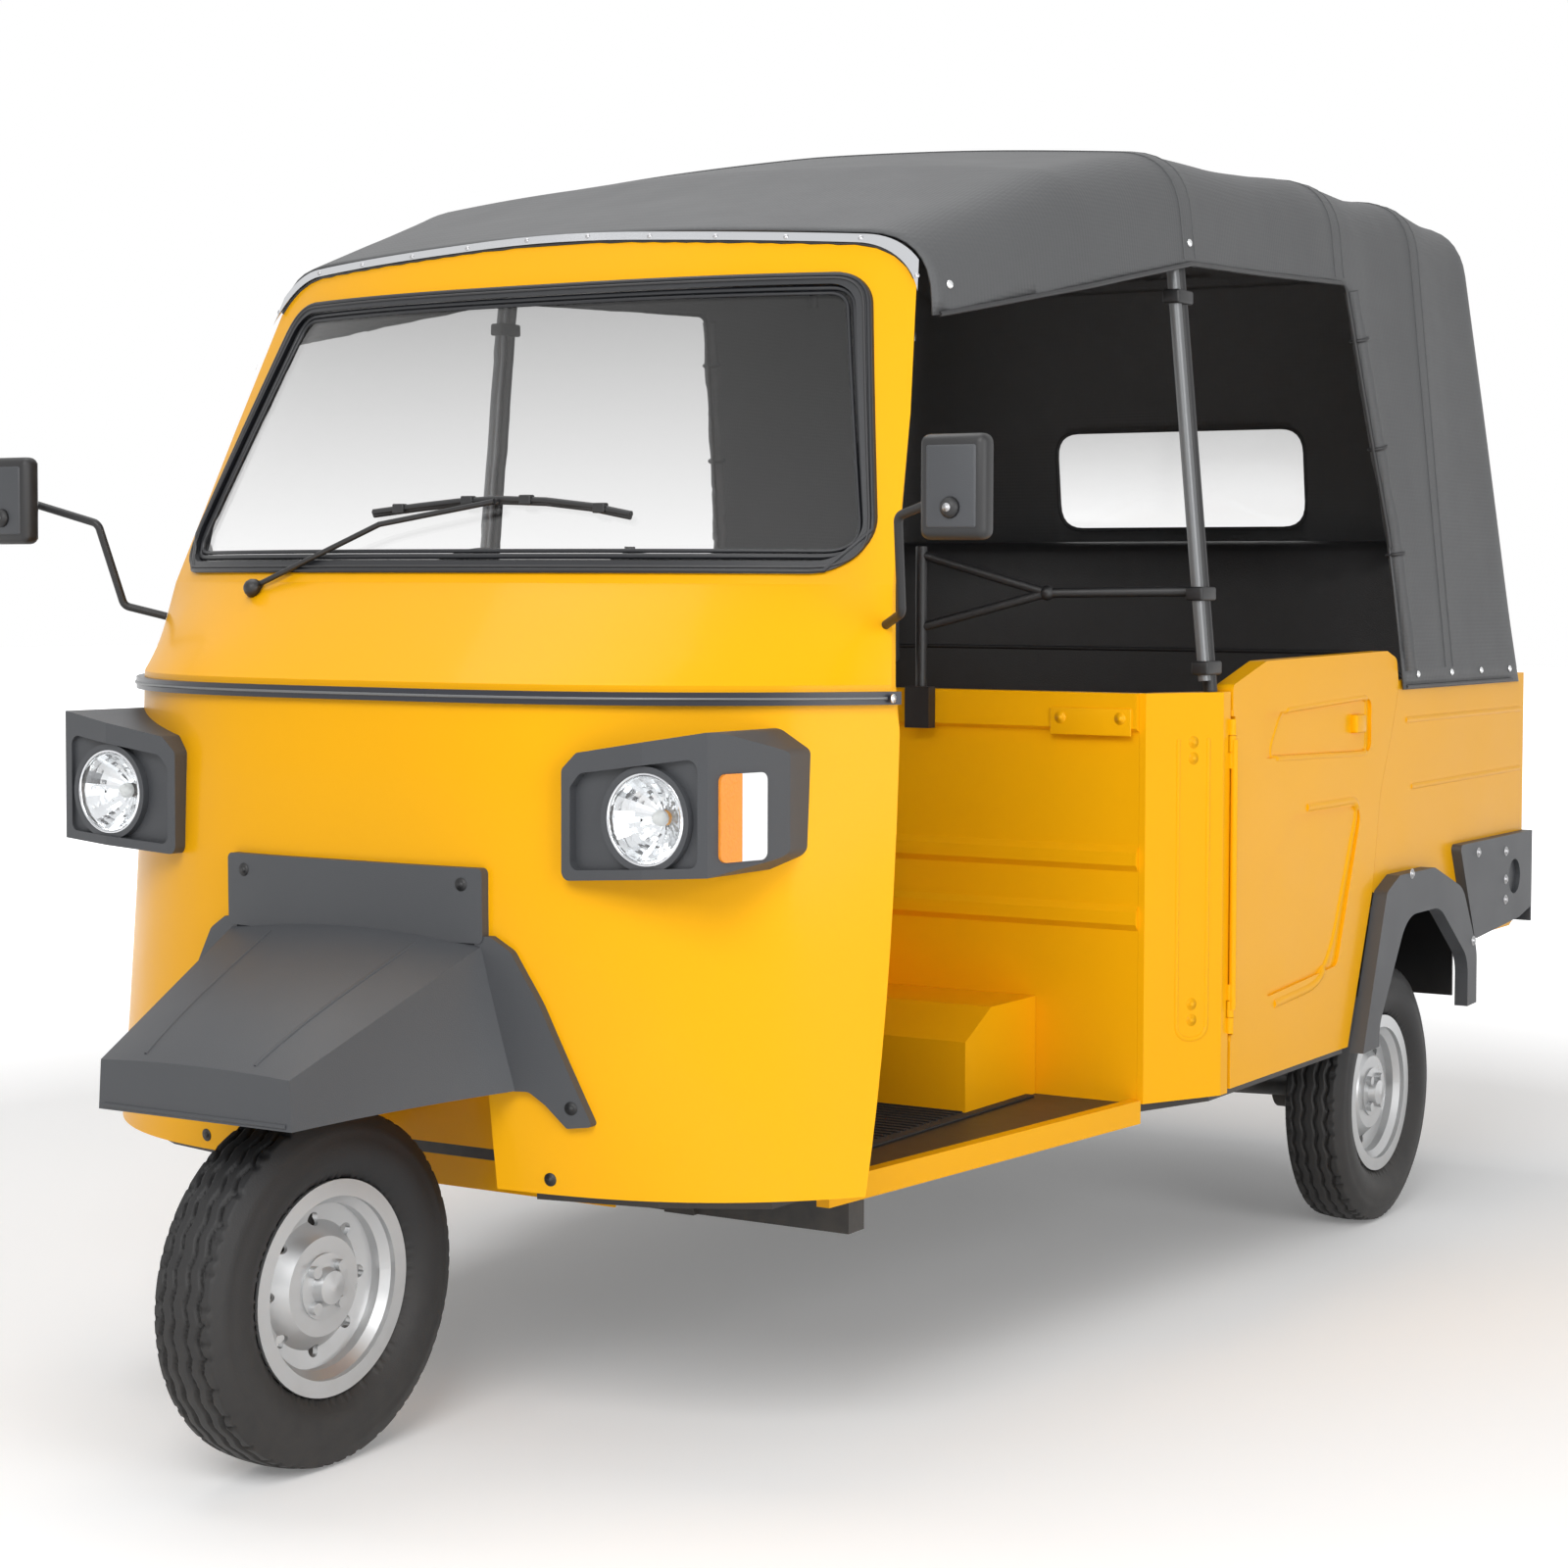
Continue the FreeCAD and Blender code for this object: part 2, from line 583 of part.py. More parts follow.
def plan_section(front, half, edge, power, height, inset, overrun):
    """Closed plan section: the nose's curve and a straight rear edge, overrun further back."""
    front, half, edge, height = number(front), number(half), number(edge), number(height)
    curve = plan_curve(front, half, edge, number(power), height, inset)
    left = V(half - inset, edge + inset, height)
    right = V(inset - half, edge + inset, height)
    if overrun > 0:
        back_left, back_right = left + V(0, overrun, 0), right + V(0, overrun, 0)
        sides = [Part.LineSegment(left, back_left), Part.LineSegment(back_left, back_right),
                 Part.LineSegment(back_right, right)]
    else:
        sides = [Part.LineSegment(left, right)]
    return Part.Wire([curve] + [side.toShape() for side in sides])


CAB_LOW = (
    ("cab_bottom_front", "cab_bottom_half", "cab_bottom_edge", "low_power", "cab_bottom_z"),
    ("cab_knee_front", "cab_knee_half", "cab_knee_edge", "(low_power + nose_power) / 2", "cab_knee_z"),
    ("cab_nose_front", "cab_nose_half", "cab_nose_edge", "nose_power", "cab_nose_z"),
    ("shelf_front", "trim_half", "shelf_edge", "nose_power", "shelf_z"),
)
CAB_HIGH = (
    ("shelf_front", "trim_half", "shelf_edge", "nose_power", "shelf_z"),
    ("glass_low_front", "glass_low_half", "glass_low_edge", "glass_power", "glass_low_z"),
    ("brow_front", "brow_half", "brow_edge", "glass_power", "brow_z"),
    ("header_front", "header_half", "header_edge", "glass_power", "header_z"),
)


def cab_solid(inset, overrun):
    """Whole nose as a solid, moved inwards by inset."""
    low = Part.makeLoft([plan_section(*row, inset, overrun) for row in CAB_LOW], True, False)
    high = Part.makeLoft([plan_section(*row, inset, overrun) for row in CAB_HIGH], True, True)
    return low.fuse(high)


def cab_skin(outer_inset, inner_inset):
    """Shell between two insets of the nose, open at the rear."""
    return cab_solid(outer_inset, 0).cut(cab_solid(inner_inset, 200))


def screen_corners(margin):
    """Windscreen outline, made smaller by margin."""
    radius = "glass_corner - %s" % margin
    low, high = "glass_bottom_z + %s" % margin, "glass_top_z - %s" % margin
    wide, narrow = "glass_bottom_half - %s" % margin, "glass_top_half - %s" % margin
    return (("-(%s)" % wide, low, radius), (wide, low, radius),
            (narrow, high, radius), ("-(%s)" % narrow, high, radius))


def arch_corners(grow):
    half, top = "arch_half + %s" % grow, "arch_top_z + %s" % grow
    return (("-(%s)" % half, "0"), (half, "0"), ("%s - 26" % half, top, "90"),
            ("26 - (%s)" % half, top, "90"))


def crown_corners(grow):
    """Front view of the cab's upper edge, made larger by grow."""
    half, low = "crown_half + %s" % grow, "crown_z - crown_drop + %s" % grow
    return (("-header_half - 240", "0"), ("header_half + 240", "0"), (half, low, "crown_corner"),
            ("0", "crown_z + 4 + %s" % grow, "2500"), ("-(%s)" % half, low, "crown_corner"))


def make_cab():
    skin = cab_skin(0, number("cab_wall")).common(prism(crown_corners("0"), "XZ", -FAR, FAR))
    skin = skin.cut(prism(screen_corners("0"), "XZ", -FAR, number("header_edge")))
    skin = skin.cut(prism(arch_corners("0"), "XZ", -FAR, number("well_front")))
    for side in (-1, 1):
        hole = rod(V(side * number("lamp_x"), -FAR, number("lamp_z")),
                   V(side * number("lamp_x"), number("lamp_face + lamp_depth + 200"), number("lamp_z")),
                   number("lamp_radius + 4"))
        skin = skin.cut(hole)
    shaped("cab_shell", skin.removeSplitter())
    seal_ring = prism(screen_corners("0"), "XZ", -FAR, number("header_edge"))
    pane = prism(screen_corners("seal_width"), "XZ", -FAR, number("header_edge"))
    seal = cab_skin(-number("seal_stand"), number("cab_wall")).common(seal_ring).cut(pane)
    shaped("windscreen_seal", seal)
    glass = cab_skin(number("glass_inset"), number("glass_inset + glass_gauge")).common(pane)
    shaped("windscreen", glass)


def make_waist_trim():
    """Dark band that runs round the nose."""
    rows = [("trim_front", "trim_half", "trim_edge", "nose_power", "trim_z - trim_height / 2"),
            ("trim_front", "trim_half", "trim_edge", "nose_power", "trim_z + trim_height / 2")]
    stand, bury = number("trim_stand"), number("cab_wall") / 2
    outer = Part.makeLoft([plan_section(*row, -stand, 0) for row in rows], True, True)
    inner = Part.makeLoft([plan_section(*row, bury, 60) for row in rows], True, True)
    band = outer.cut(inner).cut(cab_solid(0, 0))
    rear = prism((("-%d" % FAR, "trim_edge"), (FAR, "trim_edge"), (FAR, FAR), ("-%d" % FAR, FAR)),
                 "XY", 0, FAR)
    shaped("waist_trim", band.cut(rear))


def fender_section(share, crown, shrink):
    """Section of the fender between lip and nose: skirts, ridges and arched top."""
    def between(lip, nose):
        return number(lip) + (number(nose) - number(lip)) * share
    gauge = number("fender_gauge") * shrink
    y = between("fender_lip_y + fender_gauge * %d" % shrink, "cab_knee_front + cab_wall / 2")
    ridge = between("fender_lip_half", "fender_plate_half") - gauge
    ridge_z = between("fender_lip_top_z", "fender_plate_low_z") - gauge
    tuck = number("fender_tuck") * 4 * share * (1 - share)
    low = between("fender_lip_half + 4", "fender_skirt_half") - tuck - gauge
    low_z = between("fender_lip_low_z", "fender_skirt_z") - 40 * shrink
    feet = V(low, y, low_z), V(-low, y, low_z)
    ridges = V(ridge, y, ridge_z), V(-ridge, y, ridge_z)
    top = Part.Arc(ridges[0], V(0, y, ridge_z + number(crown)), ridges[1])
    edges = [Part.LineSegment(feet[0], ridges[0]), top, Part.LineSegment(ridges[1], feet[1]),
             Part.LineSegment(feet[1], feet[0])]
    return Part.Wire([edge.toShape() for edge in edges])


def make_fender():
    """Front fender: an arched hood from the lip to the nose, with its plate and tails."""
    rows = ((0, "fender_lip_crown"), (0.3, "fender_crown"), (0.65, "fender_crown"), (1, "fender_crown"))
    outer = Part.makeLoft([fender_section(share, crown, 0) for share, crown in rows], True, False)
    inner = Part.makeLoft([fender_section(share, crown, 1) for share, crown in rows], True, False)
    hood = outer.cut(inner)
    plate = prism(rectangle("-fender_plate_half", "fender_plate_half", "fender_plate_low_z - 6",
                            "fender_plate_top_z", "8"), "XZ", -FAR, number("cab_knee_edge"))
    plate = plate.common(cab_solid(-number("fender_plate_stand"), 0))
    tail = prism(fender_tail(), "XZ", -FAR, number("cab_knee_edge"))
    tail = tail.common(cab_solid(-number("fender_flange_stand"), 0))
    whole = joined([hood, plate, tail, tail.mirror(V(0, 0, 0), V(1, 0, 0))])
    shaped("front_fender", whole.cut(cab_solid(0, 0)))


def fender_tail():
    """Outline of the tail that follows the nose down to its tip."""
    return (("fender_plate_half - 16", "fender_plate_low_z + 4"),
            ("fender_plate_half + 10", "fender_plate_low_z + 4"),
            ("fender_plate_half + 40", "fender_plate_low_z - 14", "20"),
            ("fender_plate_half + 80", "fender_plate_low_z - 80", "200"),
            ("fender_tail_half", "fender_tail_z + 4", "5"),
            ("fender_tail_half - 36", "fender_tail_z", "5"),
            ("fender_skirt_half + 40", "fender_skirt_z - 16"),
            ("fender_skirt_half + 16", "fender_skirt_z", "16"),
            ("fender_skirt_half - 28", "fender_skirt_z - 2"))


def pod_block(shift):
    """Space in front of the nose out to a pod's faces, moved outwards by shift."""
    front, inner, bend = number("pod_front") - shift, number("pod_inner") - 20, number("pod_bend") + shift
    outer, reach = number("pod_outer") + shift, number("pod_front + pod_reach")
    corners = [V(inner, front + 4, 0), V(number("lamp_x"), front, 0), V(bend, front + 12, 0),
               V(outer, reach, 0),
               V(outer, 2 * reach, 0), V(inner, 2 * reach, 0), V(inner, front + 4, 0)]
    return Part.Face(Part.makePolygon(corners)).extrude(V(0, 0, FAR))


def make_lamps():
    """Lamp pods on the nose's corners, with their brows, the round headlamps and the indicators."""
    outline = (("pod_inner", "pod_low_z", "12"), ("pod_bend", "pod_low_z + 14"),
               ("pod_outer", "pod_low_z + 34", "16"), ("pod_outer", "pod_top_z - 30", "14"),
               ("pod_bend + 4", "pod_top_z", "14"), ("pod_inner + 24", "pod_top_z - 32", "12"),
               ("pod_inner", "pod_top_z - 54", "10"))
    recess = (("pod_inner + pod_rim", "pod_low_z + pod_rim", "12"),
              ("pod_bend - pod_rim", "pod_low_z + pod_rim + 12", "12"),
              ("pod_bend - pod_rim", "pod_top_z - 34", "14"),
              ("pod_inner + pod_rim + 16", "pod_top_z - 58", "12"),
              ("pod_inner + pod_rim", "pod_top_z - 76", "10"))
    lamp_x, lamp_z, front = number("lamp_x"), number("lamp_z"), number("pod_front")
    floor = front + number("pod_recess")
    pod = pod_block(0).common(prism(outline, "XZ", 0, 400)).cut(prism(recess, "XZ", 0, floor))
    bezel = rod(V(lamp_x, front + 5, lamp_z), V(lamp_x, floor + 2, lamp_z),
                number("lamp_radius + bezel_wall"))
    well = rod(V(lamp_x, 0, lamp_z), V(lamp_x, 400, lamp_z), number("lamp_radius + seat_gap"))
    lens = prism(rectangle("pod_front + indicator_front", "pod_front + indicator_front + indicator_length",
                           "indicator_low_z", "indicator_top_z", "10"), "YZ", number("pod_bend - 60"), FAR)
    lens = lens.common(pod_block(number("indicator_stand"))).cut(pod_block(-number("indicator_depth")))
    pod = pod.fuse(bezel).cut(cab_solid(0, 200)).cut(well).cut(lens)
    both_sides("lamp_pods", shaped("lamp_pod", pod, False))
    both_sides("indicators", shaped("indicator", lens, False))
    body = new_body("headlamp", "lamp_x", AXLE_SHIFT + " + lamp_face", "lamp_z")
    body.Placement.Rotation = FreeCAD.Rotation(V(0, 0, 1), 90)
    turned(body, (("-8", "0"), ("-6", "lamp_radius * 0.5", "40"), ("0", "lamp_radius"),
                  ("24", "lamp_radius"), ("lamp_depth", "lamp_radius * 0.5", "20"), ("lamp_depth", "0")))
    both_sides("head_lamps", body)


# Wheels


def make_tyre(label, x, y):
    body = new_body(label, x, y, "tyre_radius")
    half = (("rim_width / 2 - rim_gauge", "bead_radius"), ("rim_width / 2 - rim_gauge", "rim_radius"),
            ("tyre_width / 2", "(rim_radius + tyre_radius) / 2 - 10"),
            ("tyre_width / 2 - 4", "tyre_radius - 19"),
            ("tread_width / 2", "tyre_radius"))
    turned(body, half + tuple(("-(%s)" % x, radius) for x, radius in reversed(half)))
    keep(body, label)


def make_rim(label, x, y, outward):
    """Pressed steel rim with its disc, hub dome, vents and nuts."""
    body = new_body(label, x, y, "tyre_radius")
    body.Placement.Rotation = FreeCAD.Rotation(V(0, 0, 1), 0 if outward > 0 else 180)
    turned(body, (("-rim_width / 2", "bead_radius - 16"), ("rim_width / 2 - 18", "bead_radius - 16"),
                  ("rim_width / 2 - 8", "bead_radius - rim_gauge"),
                  ("rim_width / 2", "bead_radius - rim_gauge"),
                  ("rim_width / 2", "rim_radius"), ("rim_width / 2 - rim_gauge", "rim_radius"),
                  ("rim_width / 2 - rim_gauge", "bead_radius"), ("rim_gauge - rim_width / 2", "bead_radius"),
                  ("rim_gauge - rim_width / 2", "rim_radius"), ("-rim_width / 2", "rim_radius")))
    turned(body, (("disc_dish - 14", "bead_radius - 15"), ("disc_dish - 20", "bead_radius - 40"),
                  ("disc_dish", "hub_radius + 22"), ("disc_dish", "hub_radius - 6"),
                  ("disc_dish - rim_gauge - 2", "hub_radius - 6"),
                  ("disc_dish - rim_gauge - 2", "hub_radius + 24"),
                  ("disc_dish - 28", "bead_radius - 38"), ("disc_dish - 22", "bead_radius - 15")))
    turned(body, (("disc_dish - hub_depth", "stub_radius + run_gap"),
                  ("disc_dish + 4", "stub_radius + run_gap"),
                  ("disc_dish + 4", "0"), ("hub_reach", "0"), ("hub_reach - 4", "hub_radius * 0.5"),
                  ("disc_dish + 4", "hub_radius * 0.6"), ("disc_dish + 3", "hub_radius"),
                  ("disc_dish - hub_depth", "hub_radius")))
    across("Pocket", body, "YZ", lambda sketch: vent_ring(sketch), "-rim_width", "rim_width")
    across("Pad", body, "YZ", lambda sketch: nut_ring(sketch), "disc_dish", "disc_dish + 12")
    keep(body, label)


def vent_ring(sketch):
    for turn in range(8):
        draw_circle(sketch, "vent_circle * cos(%d)" % (turn * 45), "vent_circle * sin(%d)" % (turn * 45),
                    "vent_radius")


def nut_ring(sketch):
    for turn in range(4):
        draw_circle(sketch, "nut_circle * cos(%d)" % (turn * 90 + 45),
                    "nut_circle * sin(%d)" % (turn * 90 + 45),
                    "nut_radius")


# Floor, frame and bulkhead


def make_floor():
    """Floor pan, open over the front wheel, and the sills along its edges."""
    low, top = "floor_z - floor_gauge", "floor_z"
    edge, rear_half = "(sill_width + 1)", "body_half - body_wall - 2"
    side = (("well_half - plate_gauge", "cab_bottom_front + 37"),
            ("cab_bottom_half - 234", "cab_bottom_front + 72"),
            ("cab_bottom_half - 104", "cab_bottom_front + 144"),
            ("sill_front_x - %s" % edge, "sill_front_y - 60"),
            ("sill_rear_x - %s" % edge, "bulkhead_y - 4"),
            (rear_half, "pillar_rear"), (rear_half, "deck_front - 1"))
    other = tuple(("-(%s)" % x, y) for x, y in reversed(side))
    body = new_body("floor_pan")
    slab(body, "XY",
         side + other + (("plate_gauge - well_half", "well_rear"), ("well_half - plate_gauge", "well_rear")),
         low, top)
    keep(body, "floor_pan")
    sill = new_body("sill")
    slab(sill, "XY", (("sill_front_x - sill_width", "sill_front_y - 60"),
                      ("sill_front_x", "sill_front_y - 60"),
                      ("sill_rear_x", "bulkhead_y - 4"), ("sill_rear_x - sill_width", "bulkhead_y - 4")),
         "floor_z - sill_depth", "floor_z + 6")
    both_sides("sills", sill)


def make_frame():
    """Two long rails and the cross members under the floor."""
    low, top = "floor_z - floor_gauge - rail_height", "floor_z - floor_gauge"
    body = new_body("chassis_frame")
    half, outrigger = "rail_width / 2", "sill_front_x - sill_width + 7"
    slab(body, "XY", rectangle("-(%s)" % outrigger, outrigger, "rail_front + 10", "rail_front + 50"),
         low, top)
    for place_y in ("bulkhead_y + 60", "deck_front - 60", "rail_rear - 30"):
        slab(body, "XY", rectangle("-rail_x", "rail_x", "%s - 25" % place_y, "%s + 25" % place_y), low, top)
    for rail in ("-rail_x", "rail_x"):
        slab(body, "XY",
             rectangle("%s - %s" % (rail, half), "%s + %s" % (rail, half), "rail_front", "rail_rear"),
             low, top)
    keep(body, "chassis_frame")


def make_well():
    """Wheel well inside the cab: roof plate, rear wall and side walls, standing on the floor."""
    body = new_body("wheel_well")
    under, face = "arch_top_z - plate_gauge", "well_rear + plate_gauge"
    slab(body, "YZ", (("well_front", under), ("well_rear - 60", under), ("well_rear", "arch_top_z - 64"),
                      ("well_rear", "floor_z"), (face, "floor_z"), (face, "arch_top_z - 62"),
                      ("well_rear - 58", "arch_top_z"), ("well_front", "arch_top_z")),
         "-well_half", "well_half")
    for low, high in (("well_half - plate_gauge", "well_half"), ("-well_half", "plate_gauge - well_half")):
        slab(body, "YZ", (("well_front + 2", "floor_z"), (face, "floor_z"), (face, "arch_top_z - 62"),
                          ("well_rear - 58", "arch_top_z"), ("well_front", "arch_top_z")), low, high)
    slab(body, "YZ", rectangle("cab_knee_front + 4", "well_front + 10", under, "arch_top_z - seat_gap"),
         "-100", "100")
    drill(body, "XY", "0", STEER_AT_WELL, "column_radius + 14", "arch_top_z - 20", "arch_top_z + 20")
    keep(body, "wheel_well")


def make_bulkhead():
    """Ribbed bulkhead behind the driver."""
    body = new_body("bulkhead")
    front = "bulkhead_y"
    rear = "bulkhead_y + bulkhead_gauge"
    slab(body, "YZ", ((front, "floor_z"), (front, "634"), ("bulkhead_y - rib_rise", "644"),
                      ("bulkhead_y - rib_rise", "664"),
                      (front, "674"), (front, "726"), ("bulkhead_y - rib_rise", "736"),
                      ("bulkhead_y - rib_rise", "756"),
                      (front, "766"), (front, "belt_z - 60"), ("bulkhead_y - cap_rise", "belt_z - 54"),
                      ("bulkhead_y - cap_rise", "belt_z"), (rear, "belt_z"), (rear, "floor_z")),
         "-bulkhead_half", "bulkhead_half")
    keep(body, "bulkhead")
    pillar = new_body("door_pillar")
    slab(pillar, "XY", (("bulkhead_half + seat_gap", "bulkhead_y"), ("sill_rear_x + 2", "bulkhead_y"),
                        ("body_half", "pillar_rear - 26", "8"), ("body_half", "pillar_rear"),
                        ("body_half - body_wall", "pillar_rear"),
                        ("bulkhead_half + seat_gap", "bulkhead_y + 52")), "floor_z", "belt_z")
    for height in ("hinge_low_z", "hinge_high_z"):
        low, high = "%s - knuckle_length / 2" % height, "%s + knuckle_length / 2" % height
        cut(pillar, "XY", rectangle("body_half - 8", "body_half + 10", "pillar_rear - 7", "pillar_rear + 1"),
            "%s - 1" % low, "%s + 1" % high)
        for start, end in (("%s - knuckle_length" % low, "%s - 1" % low),
                           ("%s + 1" % high, "%s + knuckle_length" % high)):
            boss(pillar, "XY", HINGE_X, HINGE_Y, "knuckle_radius", start, end)
        boss(pillar, "XY", HINGE_X, HINGE_Y, "pin_radius", "%s - 8" % low, "%s + 8" % high)
    both_sides("door_pillars", pillar)


def make_floor_box():
    """Box on the floor that carries the driver's seat."""
    body = new_body("seat_box")
    slab(body, "YZ", (("box_front", "floor_z"), ("box_front", "box_top_z - 44"),
                      ("box_front + 80", "box_top_z"),
                      ("bulkhead_y - 1", "box_top_z"), ("bulkhead_y - 1", "floor_z")),
         "-box_half", "box_half")
    slab(body, "YZ", rectangle("driver_front + 60", "driver_rear", "box_top_z - 20",
                               "driver_seat_z - cushion_depth - seat_gap"),
         "25 - driver_half", "driver_half - 25")
    keep(body, "seat_box")


# Seats


def make_cushion(label, half, corners):
    body = new_body(label)
    slab(body, "YZ", corners, "-(%s)" % half, half)
    keep(body, label)


def make_seats():
    low = "driver_seat_z - cushion_depth"
    make_cushion("driver_seat", "driver_half",
                 (("driver_front", low, "20"), ("driver_rear", low, "10"),
                  ("driver_rear", "driver_seat_z", "30"),
                  ("driver_front", "driver_seat_z - 8", "40")))
    make_cushion("driver_backrest", "driver_half + 62",
                 ((BACK_FACE + " - 46", "belt_z + 36", "14"), (BACK_FACE, "belt_z + 36", "8"),
                  (BACK_FACE, "belt_z + 226", "8"), (BACK_FACE + " - 40", "belt_z + 226", "18")))
    deck = "deck_z + seat_gap"
    make_cushion("passenger_seat", "bench_half",
                 (("bench_front", deck, "20"), ("bench_rear", deck, "10"),
                  ("bench_rear", "deck_z + bench_depth", "20"),
                  ("bench_front", "deck_z + bench_depth - 6", "46")))
    make_cushion("passenger_backrest", "bench_half - 10",
                 (("back_low_y", deck, "20"), ("back_low_y + back_depth", deck, "10"),
                  ("back_top_y + back_depth - 20", "back_top_z", "16"), ("back_top_y", "back_top_z", "36")))


# Body sides, doors and tail


def door_rear_points(shift):
    """Line between a door and the rear quarter, from the belt down to the arch."""
    return [("door_rear + 6 + %s" % shift, "belt_z - 8"), ("door_rear - 21 + %s" % shift, "belt_z - 78"),
            ("door_rear - 79 + %s" % shift, "belt_z - 198"), ("door_rear - 112 + %s" % shift, "belt_z - 370")]


def arch_opening(grow):
    """Rounded arch over a rear wheel, as an outline in the YZ plane."""
    return (("wheel_y_arch - 250 - %s" % grow, "0"), ("wheel_y_arch + 250 + %s" % grow, "0"),
            ("wheel_y_arch + 250 + %s" % grow, "470", "60"),
            ("wheel_y_arch + 96 + %s" % grow, "605 + %s" % grow, "90"),
            ("wheel_y_arch - 120 - %s" % grow, "605 + %s" % grow, "90"),
            ("wheel_y_arch - 250 - %s" % grow, "400", "60"))


def make_body_side():
    rear = TAIL_FACE
    seam = door_rear_points("door_seam / 2")
    body = new_body("body_side")
    slab(body, "YZ", [(seam[0][0], "belt_z")] + [point for point in seam] +
         [("wheel_y_arch - 130", "600"), ("wheel_y_arch + 150", "600"), ("wheel_y_arch + 262", "side_low_z"),
          ("tail_reach - 80", "side_low_z"), (rear, "side_low_z + 30"), (rear, "belt_z")],
         "body_half - body_wall", "body_half")
    slab(body, "XZ",
         rectangle("tail_half + door_seam", "body_half - body_wall + 1", "side_low_z", "belt_z - 20"),
         "%s - tail_gauge" % TAIL_FACE, TAIL_FACE)
    cut(body, "YZ", arch_opening("12"), "body_half - body_wall - 10", "body_half + 10")
    both_sides("body_sides", body)


def make_flare():
    body = new_body("wheel_flare")
    outer = (("wheel_y_arch - 302", "360"), ("wheel_y_arch - 196", "632", "20"),
             ("wheel_y_arch - 134", "657", "20"),
             ("wheel_y_arch + 42", "657", "40"), ("wheel_y_arch + 196", "606", "70"),
             ("wheel_y_arch + 276", "480", "60"), ("wheel_y_arch + 276", "380"))
    slab(body, "YZ", outer, "body_half + seat_gap", "body_half + flare_stand")
    cut(body, "YZ", arch_opening("-flare_lap"), "body_half - 40", "body_half + 60")
    both_sides("wheel_flares", body)


def make_bumper():
    """Moulded corner bumper with its round lamp recess."""
    body = new_body("corner_bumper")
    side = (("tail_reach - 424", "686", "10"), ("tail_reach - 336", "500", "20"), ("tail_reach - 80", "518"),
            ("tail_reach - 4", "534"), ("tail_reach - 4", "686"))
    slab(body, "YZ", side, "body_half + seat_gap", "body_half + 20")
    slab(body, "XZ", rectangle("body_half - 150", "body_half + 20", "side_low_z + 4", "686"),
         TAIL_FACE, "tail_reach - 4")
    drill(body, "YZ", "tail_reach - 110", "602", "34", "body_half + 10", "body_half + 40")
    both_sides("corner_bumpers", body)


def make_tail():
    lamp = new_body("tail_lamp")
    boss(lamp, "XZ", "body_half - 70", "602", "40", "tail_reach - 4", "tail_reach")
    both_sides("tail_lamps", lamp)
    beam = new_body("rear_beam")
    slab(beam, "YZ", rectangle("tail_reach - 92", "tail_reach - 32", "side_low_z", "tail_low_z - 12"),
         "-(tail_half + door_seam)", "tail_half + door_seam")
    slab(beam, "XY", rectangle("-22", "22", "tail_reach - 40", "tail_reach", "14"),
         "side_low_z + 20", "side_low_z + 30")
    drill(beam, "XY", "0", "tail_reach - 16", "8", "side_low_z", "side_low_z + 60")
    for x in ("-90", "90"):
        drill(beam, "XZ", x, "side_low_z + 40", "4", "tail_reach - 110", "tail_reach + 20")
    for x in ("-gate_hinge_x", "gate_hinge_x"):
        for low, high in (("%s - 36" % x, "%s - 13" % x), ("%s + 13" % x, "%s + 36" % x)):
            slab(beam, "YZ", rectangle("tail_reach - 40", "tail_reach - 4", "tail_low_z - 30",
                                       "%s + 8" % GATE_HINGE_Z, "8"), low, high)
        boss(beam, "YZ", "tail_reach - 12", GATE_HINGE_Z, "pin_radius", "%s - 20" % x, "%s + 20" % x)
    keep(beam, "rear_beam")
    gate = new_body("tailgate")
    slab(gate, "XZ", rectangle("-tail_half", "tail_half", "tail_low_z", "tail_top_z"),
         "%s - tail_gauge" % TAIL_FACE, TAIL_FACE)
    for x in ("-gate_hinge_x", "gate_hinge_x"):
        cut(gate, "XZ", rectangle("%s - 37" % x, "%s + 37" % x, "tail_low_z - 10", "tail_low_z + 12"),
            "%s - tail_gauge - 4" % TAIL_FACE, "tail_reach")
        slab(gate, "YZ",
             rectangle("tail_reach - 20", "tail_reach - 4", "tail_low_z - 10", "tail_low_z + 16", "7"),
             "%s - 12" % x, "%s + 12" % x)
        drill(gate, "YZ", "tail_reach - 12", GATE_HINGE_Z,
              "pin_radius + run_gap", "%s - 20" % x, "%s + 20" % x)
    keep(gate, "tailgate")


